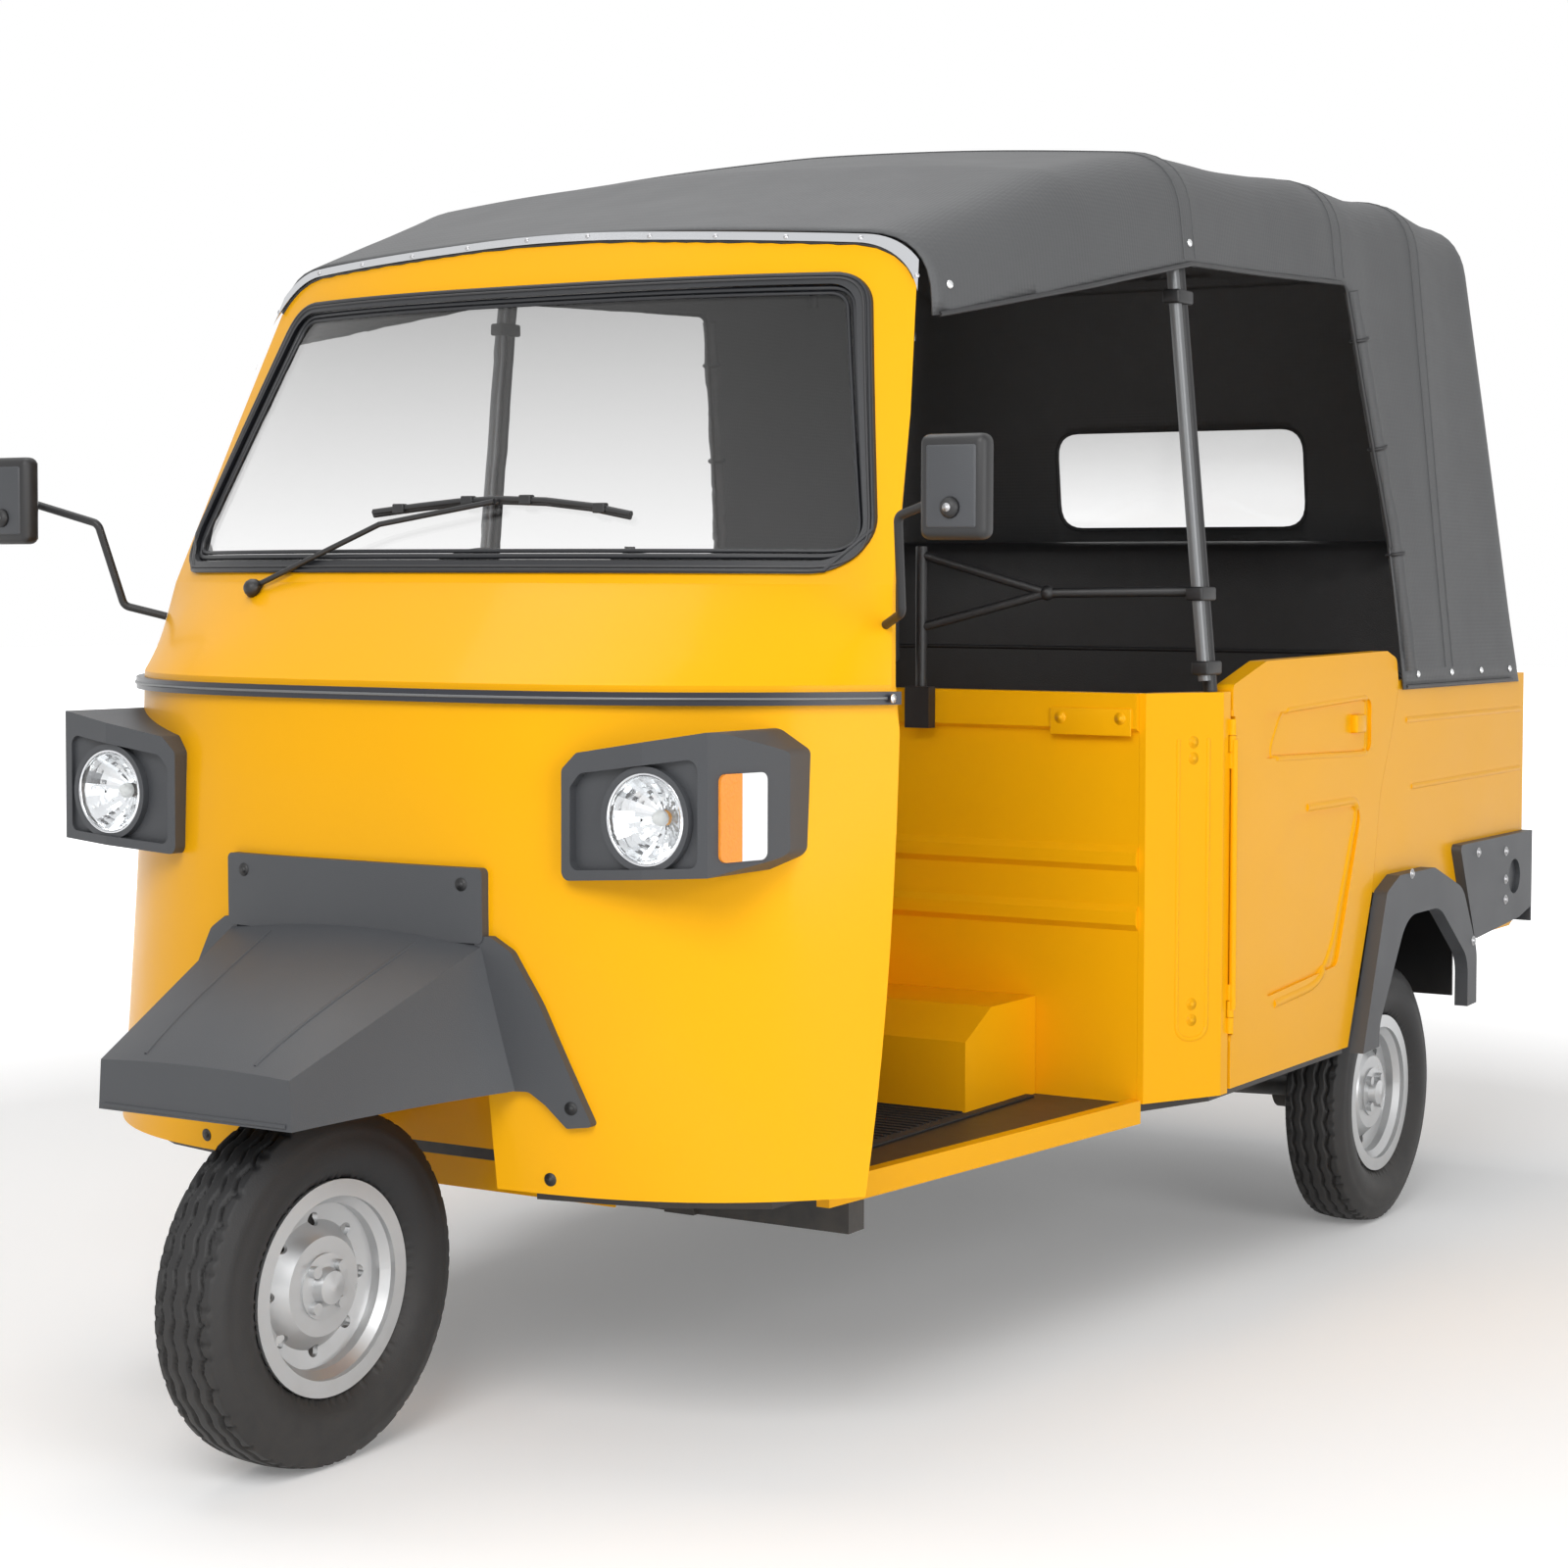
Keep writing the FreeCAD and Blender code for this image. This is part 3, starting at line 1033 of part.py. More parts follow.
def make_doors():
    for label, sign in (("door_left", 1), ("door_right", -1)):
        body = new_body(label)
        inner, outer = "body_half - body_wall + 2", "body_half + 2"
        low, high = (inner, outer) if sign > 0 else ("-(%s)" % outer, "-(%s)" % inner)
        seam = door_rear_points("-door_seam / 2")
        corners = [(DOOR_FRONT, "door_low_z"), (DOOR_FRONT, "belt_z + 10", "10"),
                   (DOOR_FRONT + " + 130", "door_top_z - 4", "30"),
                   ("door_rear - 54", "door_top_z + 4", "16"),
                   ("door_rear - 8", "door_top_z - 10", "16")]
        corners += seam + [("door_rear - 222", "door_low_z")]
        slab(body, "YZ", corners, low, high)
        face = "(%s) - 5" % outer if sign > 0 else "-(%s) - 5" % outer
        face_end = "(%s) + 5" % outer if sign > 0 else "5 - (%s)" % outer
        cut(body, "YZ", ((DOOR_FRONT + " + 122", "890", "16"), ("door_rear - 128", "882", "16"),
                         ("door_rear - 128", "974", "16"), (DOOR_FRONT + " + 122", "962", "16")),
            face, face_end)
        cut(body, "YZ", ((DOOR_FRONT + " + 130", "500", "24"), ("door_rear - 274", "520", "24"),
                         ("door_rear - 165", "790", "24"), (DOOR_FRONT + " + 240", "790", "24"),
                         (DOOR_FRONT + " + 130", "700", "24")), face, face_end)
        for height in ("hinge_low_z", "hinge_high_z"):
            add_door_knuckle(body, height, sign)
        keep(body, label)


def add_door_knuckle(body, height, sign):
    """Notch the door's edge for the pillar's knuckles and add the door's own between them."""
    low, high = "%s - knuckle_length / 2" % height, "%s + knuckle_length / 2" % height
    x_low, x_high = ("body_half - 9", "body_half + 10") if sign > 0 else ("-body_half - 10", "9 - body_half")
    cut(body, "XY", rectangle(x_low, x_high, "pillar_rear", DOOR_FRONT + " + 8"),
        "%s - knuckle_length - 4" % low, "%s + knuckle_length + 4" % high)
    x = HINGE_X if sign > 0 else "-(%s)" % HINGE_X
    boss(body, "XY", x, HINGE_Y, "knuckle_radius", low, high)
    slab(body, "XY", rectangle("%s - 3" % x, "%s + 3" % x, HINGE_Y, DOOR_FRONT + " + 12"), low, high)
    drill(body, "XY", x, HINGE_Y, "pin_radius + run_gap", "%s - 40" % low, "%s + 40" % high)


# Canopy


def bow_wire(y, half, shoulder, crown, low_half, low_z, inset):
    """Section across the canopy: side, rounded shoulder, arched roof and back down."""
    half, shoulder, crown = half - inset, shoulder - inset, crown - inset
    low_half = low_half - inset
    corner = V(half, y, shoulder)
    foot = V(low_half, y, low_z)
    top = V(0, y, crown)
    left = V(-half, y, shoulder)
    arch = Part.Arc(corner, top, left)
    length = number("shoulder_round")
    side_point = corner + (foot - corner).normalize() * length
    start = arch.parameter(corner)
    arch_point = arch.value(start + (arch.LastParameter - arch.FirstParameter) * length / arch.length())
    other_arch = V(-arch_point.x, y, arch_point.z)
    other_side = V(-side_point.x, y, side_point.z)
    rounding = Part.BezierCurve()
    rounding.setPoles([side_point, corner, arch_point])
    rounding_back = Part.BezierCurve()
    rounding_back.setPoles([other_arch, left, other_side])
    other_foot = V(-foot.x, y, foot.z)
    roof = Part.Arc(arch_point, top, other_arch)
    return [Part.LineSegment(foot, side_point).toShape(), rounding.toShape(), roof.toShape(),
            rounding_back.toShape(), Part.LineSegment(other_side, other_foot).toShape()], foot, other_foot


CANOPY_ROWS = (
    ("canopy_front", "canopy_front_half", "canopy_front_shoulder_z", "canopy_front_crown_z"),
    ("canopy_rise", "canopy_rise_half", "canopy_rise_shoulder_z", "canopy_rise_crown_z"),
    ("bow_one", "bow_one_half", "bow_one_shoulder_z", "bow_one_crown_z"),
    ("bow_two", "bow_two_half", "bow_two_shoulder_z", "bow_two_crown_z"),
    ("bow_three", "bow_three_half", "bow_three_shoulder_z", "bow_three_crown_z"),
    ("canopy_top_rear", "canopy_rear_half", "canopy_rear_shoulder_z", "canopy_rear_crown_z"),
    ("tail_reach + 200", "canopy_rear_half", "canopy_rear_shoulder_z - 30", "canopy_rear_crown_z - 30"),
)
BOW_ROWS = CANOPY_ROWS[2:5]


def canopy_solid(inset, front_shift):
    wires = []
    low_z = number("canopy_bottom_z") - inset
    for row in CANOPY_ROWS:
        y, half, shoulder, crown = [number(text) for text in row]
        reach = (number("canopy_half") - half) / (shoulder - number("canopy_bottom_z"))
        low_half = half + reach * (shoulder - low_z)
        if row is CANOPY_ROWS[0]:
            y = y + front_shift
            low_half = half + 60
        edges, foot, other = bow_wire(y, half, shoulder, crown, low_half, low_z, inset)
        edges.append(Part.LineSegment(other, foot).toShape())
        wires.append(Part.Wire(edges))
    return Part.makeLoft(wires, True, True)


def rear_slice(inset):
    """Leaning rear wall, as the side view of what lies in front of it."""
    top_y, low_y = number("canopy_top_rear") - inset, number("tail_reach") - inset
    low, top = number("canopy_bottom_z") - 50, number("canopy_rear_crown_z") + 60
    lean = (low_y - top_y) / (number("canopy_rear_shoulder_z") - number("canopy_bottom_z"))
    foot_y = low_y + lean * 50
    head_y = top_y - lean * (top - number("canopy_rear_shoulder_z"))
    corners = (("-1000", str(low)), (str(foot_y), str(low)), (str(head_y), str(top)), ("-1000", str(top)))
    return prism(corners, "YZ", -FAR, FAR)


def make_canopy():
    gauge = number("canopy_gauge")
    outer = canopy_solid(0, 0).common(rear_slice(0))
    inner = canopy_solid(gauge, -30).common(rear_slice(gauge))
    skin = outer.cut(inner)
    opening = (("-100", "0"), ("canopy_front - 20", "1528"), ("canopy_front + 20", "1536"),
               ("bow_one", "1672"),
               ("bow_two + 26", "1702", "30"), ("door_rear", "1264"),
               ("door_rear + 18", "canopy_bottom_z - 40"), ("1000", "0"))
    skin = skin.cut(prism(opening, "YZ", -FAR, FAR))
    window = rectangle("-window_half", "window_half", "window_low_z", "window_top_z", "window_corner")
    skin = skin.cut(prism(window, "XZ", number("bow_three"), FAR))
    shaped("canopy", skin)


def make_canopy_frame():
    """Posts, bows under the roof and the driver's backrest frame, as one welded tube set."""
    gap, belt = number("canopy_gauge + seat_gap + bow_radius * 1.06"), number("belt_z")
    pieces = []
    for row in BOW_ROWS:
        y, half, shoulder, crown = [number(text) for text in row]
        corner, top = V(half - gap, y, shoulder - gap), V(0, y, crown - gap)
        foot = V(number("post_x"), y, belt)
        if row is not BOW_ROWS[0]:
            foot = corner + (foot - corner).normalize() * number("bow_drop")
        points = [foot, corner, top, V(-corner.x, y, corner.z), V(-foot.x, y, foot.z)]
        bends = [number("bow_bend"), number("bow_crown_bend"), number("bow_bend")]
        pieces.append(tube_along(points, number("bow_radius"), bends))
    below = prism(rectangle("-%d" % FAR, str(FAR), "0", "belt_z + seat_gap"), "XZ", -FAR, FAR)
    pieces[0] = pieces[0].cut(below)
    for side in (-1, 1):
        places = [stringer_point(row, side, gap) for row in BOW_ROWS]
        pieces.append(tube_along(places, number("stringer_radius"), [number("stringer_bend")]))
        pieces += backrest_bars(side)
    shaped("canopy_frame", joined(pieces))


def stringer_point(row, side, gap):
    """Where a stringer tube meets a bow."""
    y, half, shoulder, crown = [number(text) for text in row]
    across_x = number("stringer_x")
    return V(side * across_x, y, crown - gap - (crown - shoulder) * (across_x / half) ** 2)


def backrest_bars(side):
    """Forked bar from a post to the driver's backrest, and its bracket on the bulkhead."""
    bar_y, bar_x, radius = number(BACK_BAR_Y), number("back_bar_x"), number("back_bar_radius")
    belt = number("belt_z")
    high, low = V(side * bar_x, bar_y, belt + 214), V(side * bar_x, bar_y, belt + 98)
    fork = V(side * (bar_x + 194), bar_y + 62, belt + 154)
    post = V(side * (number("post_x") - 15), number("bow_one"), belt + 158)
    upright = rod(V(side * bar_x, bar_y, belt - 50), high + V(0, 0, radius + 4), radius)
    bracket = Part.makeBox(44, radius + 12, 66, V(side * bar_x - 22, bar_y - 14, belt - 62))
    weld = Part.makeSphere(radius + 3, fork)
    stays = [rod(high, fork, radius - 1.5), rod(low, fork, radius - 1.5), weld, rod(fork, post, radius - 1)]
    return [upright] + stays + [bracket]


def make_header_rail():
    """Bright rail along the canopy's front edge."""
    band = cab_skin(-5, 8).common(prism(crown_corners("12"), "XZ", -FAR, FAR))
    band = band.cut(prism(crown_corners("0"), "XZ", -FAR, FAR))
    shaped("header_rail", band.cut(prism(rectangle("-%d" % FAR, str(FAR), "0", "1500"), "XZ", -FAR, FAR)))


# Mirrors and wiper


def make_mirrors():
    radius = number("mirror_arm_radius")
    head = V(number("mirror_x"), number("mirror_y"), number("mirror_z"))
    foot = V(number("trim_half") - 24, number("trim_edge") + 4, 1113)
    back = head.y + number("mirror_depth") / 2
    points = [foot, foot + V(48, -40, 16), V(foot.x + 64, head.y + 60, head.z - 34),
              V(head.x, back + 14, head.z)]
    stem = rod(V(head.x, back, head.z), V(head.x, back + 24, head.z), 12)
    arm = tube_along(points, radius, [14, 14]).fuse(stem)
    both_sides("mirror_arms", shaped("mirror_arm", arm.cut(cab_solid(0, 0)), False))
    body = new_body("mirror_head")
    slab(body, "XZ", rectangle("mirror_x - mirror_width / 2", "mirror_x + mirror_width / 2",
                               "mirror_z - mirror_height / 2", "mirror_z + mirror_height / 2", "22"),
         "mirror_y - mirror_depth / 2", "mirror_y + mirror_depth / 2")
    both_sides("mirror_heads", body)


def screen_point(x, height, stand):
    """Point on the cab's face beside the windscreen, moved forwards by stand."""
    share = (height - number("glass_low_z")) / number("brow_z - glass_low_z")
    front, half, edge = [number(low) + (number(high) - number(low)) * share for low, high in
                         (("glass_low_front", "brow_front"), ("glass_low_half", "brow_half"),
                          ("glass_low_edge", "brow_edge"))]
    return V(x, front + (edge - front) * abs(x / half) ** number("glass_power") - stand, height)


def make_wiper():
    """Wiper with its pivot below the screen and its blade across the glass."""
    radius = number("wiper_radius")
    slope = number("(brow_front - glass_low_front) / (brow_z - glass_low_z)")
    on_glass = radius * math.hypot(1, slope) + number("3 * seat_gap - glass_inset")
    pivot = screen_point(-number("wiper_pivot_x"), number("wiper_pivot_z"), 0)
    places = [(-150, 1262), (-70, 1270), (0, 1276), (70, 1279), (150, 1276), (225, 1268), (290, 1256)]
    blade = [screen_point(x, height, on_glass) for x, height in places]
    elbow, tip = screen_point(-120, 1248, 16), screen_point(70, 1279, 12)
    pieces = [rod(pivot + V(0, -20, -4), pivot + V(0, 20, 2), 11), rod(pivot + V(0, -15, 0), elbow, radius),
              rod(elbow, tip, radius), rod(tip, screen_point(70, 1279, on_glass), radius)]
    pieces += [rod(start, finish, radius) for start, finish in zip(blade, blade[1:])]
    shaped("wiper", joined(pieces).cut(cab_solid(0, 0).cut(prism(screen_corners("0"), "XZ", -FAR, FAR))))


# Steering and front suspension


def steer_point(height):
    """Point of the steering axis at a height."""
    return V(0, height * math.tan(math.radians(number("steer_lean"))) - number("steer_trail"), height)


def make_steering():
    low, top = number("column_low_z"), number("column_top_z")
    radius = number("column_radius")
    column = tube_along([steer_point(top), steer_point(low),
                         V(number("fork_x"), steer_point(low).y + 6, low - 24),
                         V(number("fork_x"), number("fork_low_y"), number("fork_low_z"))],
                        radius - 2, [34, 34])
    sleeve = rod(steer_point(number("head_low_z") - 30), steer_point(number("head_top_z") + 20), radius)
    pivot = rod(V(number("fork_x") - 26, number("fork_low_y"), number("fork_low_z")),
                V(number("fork_x") + 20, number("fork_low_y"), number("fork_low_z")), 22)
    shaped("steering_column", joined([column, sleeve, pivot]))
    head_low, head_top = steer_point(number("head_low_z")), steer_point(number("head_top_z"))
    head = rod(head_low, head_top, radius + number("head_wall"))
    gusset = prism((("well_rear + plate_gauge", "floor_z"), ("well_rear + plate_gauge", "arch_top_z + 10"),
                    (str(head_low.y + 18), str(head_low.z + 6)), (str(head_top.y + 18), str(head_top.z - 10)),
                    (str(head_top.y + 60), str(head_top.z - 10)), ("well_rear + 150", "floor_z")),
                   "YZ", -20, 20)
    bore = rod(steer_point(400), steer_point(1100), radius + number("run_gap"))
    shaped("steering_head", joined([head, gusset]).cut(bore))


def make_handlebar():
    """Swept-back handlebar with its grips and switch housings."""
    top_z, half, sweep = number("column_top_z"), number("bar_half"), number("bar_sweep")
    centre = steer_point(top_z + 30)
    knee, end = V(half - 94, sweep - 92, -6), V(half, sweep, 0)
    points = [centre + V(-end.x, end.y, end.z), centre + V(-knee.x, knee.y, knee.z), centre + V(-64, 0, 0),
              centre + V(64, 0, 0), centre + knee, centre + end]
    pieces = [tube_along(points, number("bar_radius"), [40] * 4),
              rod(steer_point(top_z + number("seat_gap")), steer_point(top_z + 44),
                  number("column_radius") + 4)]
    for tip, inner in ((points[0], points[1]), (points[5], points[4])):
        run = (inner - tip).normalize()
        grip_end = tip + run * number("grip_length")
        pieces.append(rod(tip, grip_end, number("grip_radius")))
        pieces.append(rod(grip_end, grip_end + run * 34, number("grip_radius") + 8))
    shaped("handlebar", joined(pieces))


def fork_point(height):
    """Point of the fork leg's axis at a height below its bend."""
    top = steer_point(number("column_low_z")) + V(number("fork_x"), 6, -24)
    low = V(number("fork_x"), number("fork_low_y"), number("fork_low_z"))
    return low + (top - low) * ((height - low.z) / (top.z - low.z))


def make_front_suspension():
    """Leading link with the stub axle, and the spring and damper beside it."""
    leg, axle_z, stub = number("fork_x"), number("tyre_radius"), number("stub_radius")
    link_x, hub_x = leg - 38, number("disc_dish - hub_depth") - 2
    pivot = V(leg, number("fork_low_y"), number("fork_low_z"))
    link = rounded_link(link_x, pivot, V(leg, 0, axle_z), 26, stub + 13, 11)
    axle = [rod(V(leg - 44, 0, axle_z), V(number("disc_dish") - 2, 0, axle_z), stub),
            rod(V(link_x, 0, axle_z), V(hub_x, 0, axle_z), stub + 13)]
    top = fork_point(number("damper_top_z"))
    low, high = V(leg - 52, 34, axle_z + 6), V(leg - 52, top.y, top.z)
    run = high - low
    damper = [rod(low, high, 9), rod(low + run * 0.2, low + run * 0.86, 25),
              rod(low + V(-8, 0, 0), low + V(22, 0, 0), 9),
              rod(high + V(-8, 0, 0), top - V(number("column_radius - 2 + seat_gap"), 0, 0), 9)]
    shaped("front_suspension", joined([link] + axle + damper))


def rounded_link(x, start, finish, start_radius, finish_radius, gauge):
    """Flat link between two round ends, gauge thick, at one place across the vehicle."""
    ends = [rod(V(x, start.y, start.z), V(x + gauge, start.y, start.z), start_radius),
            rod(V(x, finish.y, finish.z), V(x + gauge, finish.y, finish.z), finish_radius)]
    run = (finish - start)
    run.x = 0
    run.normalize()
    side = V(0, -run.z, run.y)
    low = [V(x, start.y, start.z) + side * start_radius, V(x, finish.y, finish.z) + side * finish_radius,
           V(x, finish.y, finish.z) - side * finish_radius, V(x, start.y, start.z) - side * start_radius]
    web = Part.Face(Part.makePolygon(low + low[:1])).extrude(V(gauge, 0, 0))
    return joined(ends + [web])


# Power unit and rear axle


def make_power_unit():
    body = new_body("engine_block")
    slab(body, "YZ", (("engine_front", "engine_low_z + 60"), ("engine_front + 70", "engine_low_z"),
                      (ENGINE_REAR + " - 60", "engine_low_z"), (ENGINE_REAR, "engine_low_z + 80"),
                      (ENGINE_REAR, "engine_top_z"), ("engine_front", "engine_top_z")),
         "-engine_half", "engine_half")
    keep(body, "engine_block")
    shaft = new_body("half_shaft", "0", REAR_SHIFT, "tyre_radius")
    turned(shaft, (("half_track + disc_dish - 2", "0"), ("half_track + disc_dish - 2", "stub_radius"),
                   ("arm_x - 30", "stub_radius"), ("arm_x - 30", "shaft_radius"),
                   ("engine_half + 60", "shaft_radius"),
                   ("engine_half + 60", "34"), ("engine_half", "34"), ("engine_half", "0")))
    both_sides("half_shafts", shaft)
    pivot = V(number("arm_x"), number("arm_pivot_y"), number("arm_pivot_z"))
    hub = V(number("arm_x"), number("wheelbase"), number("tyre_radius"))
    carrier = rod(hub + V(-22, 0, 0), hub + V(22, 0, 0), number("stub_radius + 28"))
    arm = rod(pivot, hub, 22)
    tube = rod(V(number("rail_x + rail_width / 2"), pivot.y, pivot.z), pivot + V(26, 0, 0), 20)
    damper_foot = hub + V(-2, -90, 10)
    damper_top = V(number("arm_x") - 2, number("wheelbase") - 90, number("deck_z - 10 - seat_gap"))
    run = damper_top - damper_foot
    damper = rod(damper_foot, damper_top, 10)
    spring = rod(damper_foot + run * 0.2, damper_foot + run * 0.92, 30)
    bore = rod(hub + V(-60, 0, 0), hub + V(60, 0, 0), number("stub_radius + run_gap"))
    whole = joined([carrier, arm, tube, damper, spring]).cut(bore)
    both_sides("rear_suspension", shaped("rear_arm", whole, False))


def make_deck():
    """Seat deck with its riser and the inner walls of the wheel housings."""
    body = new_body("seat_deck")
    half = "body_half - body_wall - 2"
    slab(body, "YZ", (("deck_front", "floor_z - 4"), ("deck_front + 8", "floor_z - 4"),
                      ("deck_front + 8", "deck_z - 10"),
                      ("tail_reach - 66", "deck_z - 10"), ("tail_reach - 66", "deck_z"),
                      ("deck_front", "deck_z")),
         "-(%s)" % half, half)
    for low, high in (("housing_x - 6", "housing_x"), ("-housing_x", "6 - housing_x")):
        slab(body, "YZ", rectangle("deck_front + 4", "housing_rear", "floor_z + 20", "deck_z - 5"), low, high)
    for sign in ("", "-"):
        inner, outer = ("housing_x - 3", half) if sign == "" else ("-(%s)" % half, "3 - housing_x")
        slab(body, "XZ", rectangle(inner, outer, "floor_z + 20", "deck_z - 5"),
             "housing_rear - 6", "housing_rear")
    keep(body, "seat_deck")


def make_dashboard():
    """Shelf behind the windscreen with a round instrument."""
    outer = Part.makeLoft([plan_section("glass_low_front", "glass_low_half", "glass_low_edge",
                                        "glass_power", height,
                                        number("cab_wall") + 1, 0) for height in ("1128", "1140")],
                          True, True)
    back = prism((("-1000", "395"), ("1000", "395"), ("1000", "1000"), ("-1000", "1000")), "XY", 0, FAR)
    pod = Part.makeCylinder(52, 60, V(0, 345, 1138), V(0, -0.5, 1))
    shaped("dashboard", joined([outer.cut(back), pod]).cut(cab_skin(-20, number("cab_wall"))))


def save_parts():
    """Check every object, then write each piece to its own file."""
    DOC.recompute()
    for item in DOC.Objects:
        if "Invalid" in item.State or "Error" in item.State:
            raise RuntimeError("failed object: " + item.Label)
    for item in NODES:
        if item.Shape.isNull() or not item.Shape.isValid():
            raise RuntimeError("bad shape: " + item.Label)
    os.makedirs("parts", exist_ok=True)
    for item in NODES:
        item.Shape.exportStep("parts/" + item.Label + ".step")


write_sizes()
make_cab()
make_waist_trim()
make_fender()
make_lamps()
make_floor()
make_frame()
make_well()
make_bulkhead()
make_floor_box()
make_seats()
make_body_side()
make_flare()
make_bumper()
make_tail()
make_doors()
make_deck()
make_canopy()
make_canopy_frame()
make_header_rail()
make_mirrors()
make_wiper()
make_dashboard()
make_steering()
make_handlebar()
make_front_suspension()
make_power_unit()
for name, x, y, outward in (("front", "0", AXLE_SHIFT, 1), ("rear_left", "half_track", REAR_SHIFT, 1),
                            ("rear_right", "-half_track", REAR_SHIFT, -1)):
    make_tyre("tyre_" + name, x, y)
    make_rim("rim_" + name, x, y, outward)
save_parts()
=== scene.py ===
import math

import bmesh
import bpy
from mathutils import Matrix, Vector, noise
from mathutils.bvhtree import BVHTree


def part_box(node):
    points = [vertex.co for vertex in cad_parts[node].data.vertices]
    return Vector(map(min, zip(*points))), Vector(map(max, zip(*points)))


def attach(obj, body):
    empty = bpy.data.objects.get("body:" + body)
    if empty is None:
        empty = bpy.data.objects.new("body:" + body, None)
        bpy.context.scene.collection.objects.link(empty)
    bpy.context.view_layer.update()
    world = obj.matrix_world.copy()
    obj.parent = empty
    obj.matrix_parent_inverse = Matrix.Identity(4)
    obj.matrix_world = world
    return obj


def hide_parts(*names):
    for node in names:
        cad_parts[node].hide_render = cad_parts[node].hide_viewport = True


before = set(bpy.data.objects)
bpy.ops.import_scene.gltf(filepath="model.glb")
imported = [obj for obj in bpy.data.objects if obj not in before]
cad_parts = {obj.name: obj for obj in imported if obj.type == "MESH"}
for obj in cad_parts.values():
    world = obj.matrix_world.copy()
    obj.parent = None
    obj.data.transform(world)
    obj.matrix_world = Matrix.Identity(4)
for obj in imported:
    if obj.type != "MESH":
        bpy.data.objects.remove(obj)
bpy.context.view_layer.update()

# Looks of a three-wheeled auto rickshaw, in metres: X to its left, Y to its rear, Z up.
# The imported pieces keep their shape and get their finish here, and the soft and fine
# pieces are modelled around them.

bl_info = {
    "name": "Auto Rickshaw",
    "version": (1, 0, 0),
    "blender": (4, 5, 0),
    "location": "3D View > Sidebar > Rickshaw",
    "description": "Builds the hood, seats, tyres, lamps and finishes of an auto rickshaw",
    "category": "Add Mesh",
}

FRONT_AXLE = sum(corner.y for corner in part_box("rim_front")) / 2
REAR_AXLE = sum(corner.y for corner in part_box("rim_rear_left")) / 2
AXLE_Z = sum(corner.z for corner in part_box("rim_front")) / 2
BODY_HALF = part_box("body_sides")[1].x


# Settings


class RickshawSizes(bpy.types.PropertyGroup):
    """Sizes that the pieces share"""
    hood_gauge: bpy.props.FloatProperty(
        name="Hood fabric", description="Thickness of the hood's coated fabric",
        default=0.003, unit="LENGTH")
    hood_sag: bpy.props.FloatProperty(
        name="Hood sag", description="Dip of the fabric between two bows", default=0.009, unit="LENGTH")
    tread_depth: bpy.props.FloatProperty(
        name="Tread depth", description="Depth of the grooves in the tyres",
        default=0.0075, unit="LENGTH")
    rivet_radius: bpy.props.FloatProperty(
        name="Rivet radius", description="Radius of the rivets on the bright rail",
        default=0.004, unit="LENGTH")
    stud_radius: bpy.props.FloatProperty(
        name="Stud radius", description="Radius of the studs that hold the hood",
        default=0.007, unit="LENGTH")
    cushion_pressure: bpy.props.FloatProperty(
        name="Cushion pressure", description="How far the stuffing swells a seat cover", default=4.0)


class RickshawColours(bpy.types.PropertyGroup):
    """Colours of the finishes"""
    body: bpy.props.FloatVectorProperty(
        name="Body paint", description="Colour of the painted panels", subtype="COLOR",
        default=(0.930, 0.440, 0.003))
    moulding: bpy.props.FloatVectorProperty(
        name="Mouldings", description="Colour of the fender, flares, bumpers and lamp pods",
        subtype="COLOR", default=(0.055, 0.058, 0.064))
    hood: bpy.props.FloatVectorProperty(
        name="Hood", description="Colour of the hood's outer face", subtype="COLOR",
        default=(0.080, 0.082, 0.085))
    lining: bpy.props.FloatVectorProperty(
        name="Hood lining", description="Colour of the hood's inner face", subtype="COLOR",
        default=(0.012, 0.012, 0.013))
    seat: bpy.props.FloatVectorProperty(
        name="Seat cover", description="Colour of the seat covers", subtype="COLOR",
        default=(0.030, 0.030, 0.032))
    wheel: bpy.props.FloatVectorProperty(
        name="Wheel paint", description="Colour of the rims", subtype="COLOR",
        default=(0.560, 0.570, 0.580))
    rubber: bpy.props.FloatVectorProperty(
        name="Rubber", description="Colour of the tyres and seals", subtype="COLOR",
        default=(0.013, 0.013, 0.014))


def sizes():
    return bpy.context.scene.rickshaw_sizes


def colours():
    return bpy.context.scene.rickshaw_colours


# Shader groups


def node_group(name, inputs, outputs):
    """Empty shader group with float or colour sockets."""
    group = bpy.data.node_groups.new(name, "ShaderNodeTree")
    for label, kind, default in inputs:
        socket = group.interface.new_socket(name=label, in_out="INPUT", socket_type=kind)
        socket.default_value = default
    for label, kind in outputs:
        group.interface.new_socket(name=label, in_out="OUTPUT", socket_type=kind)
    start = group.nodes.new("NodeGroupInput")
    end = group.nodes.new("NodeGroupOutput")
    return group, start, end


def math_node(tree, operation, first, second=None, clamp=False):
    """Result of one operation on numbers or sockets."""
    node = tree.nodes.new("ShaderNodeMath")
    node.operation = operation
    node.use_clamp = clamp
    for index, value in enumerate((first, second)):
        if value is None:
            continue
        if isinstance(value, (int, float)):
            node.inputs[index].default_value = value
        else:
            tree.links.new(value, node.inputs[index])
    return node.outputs[0]


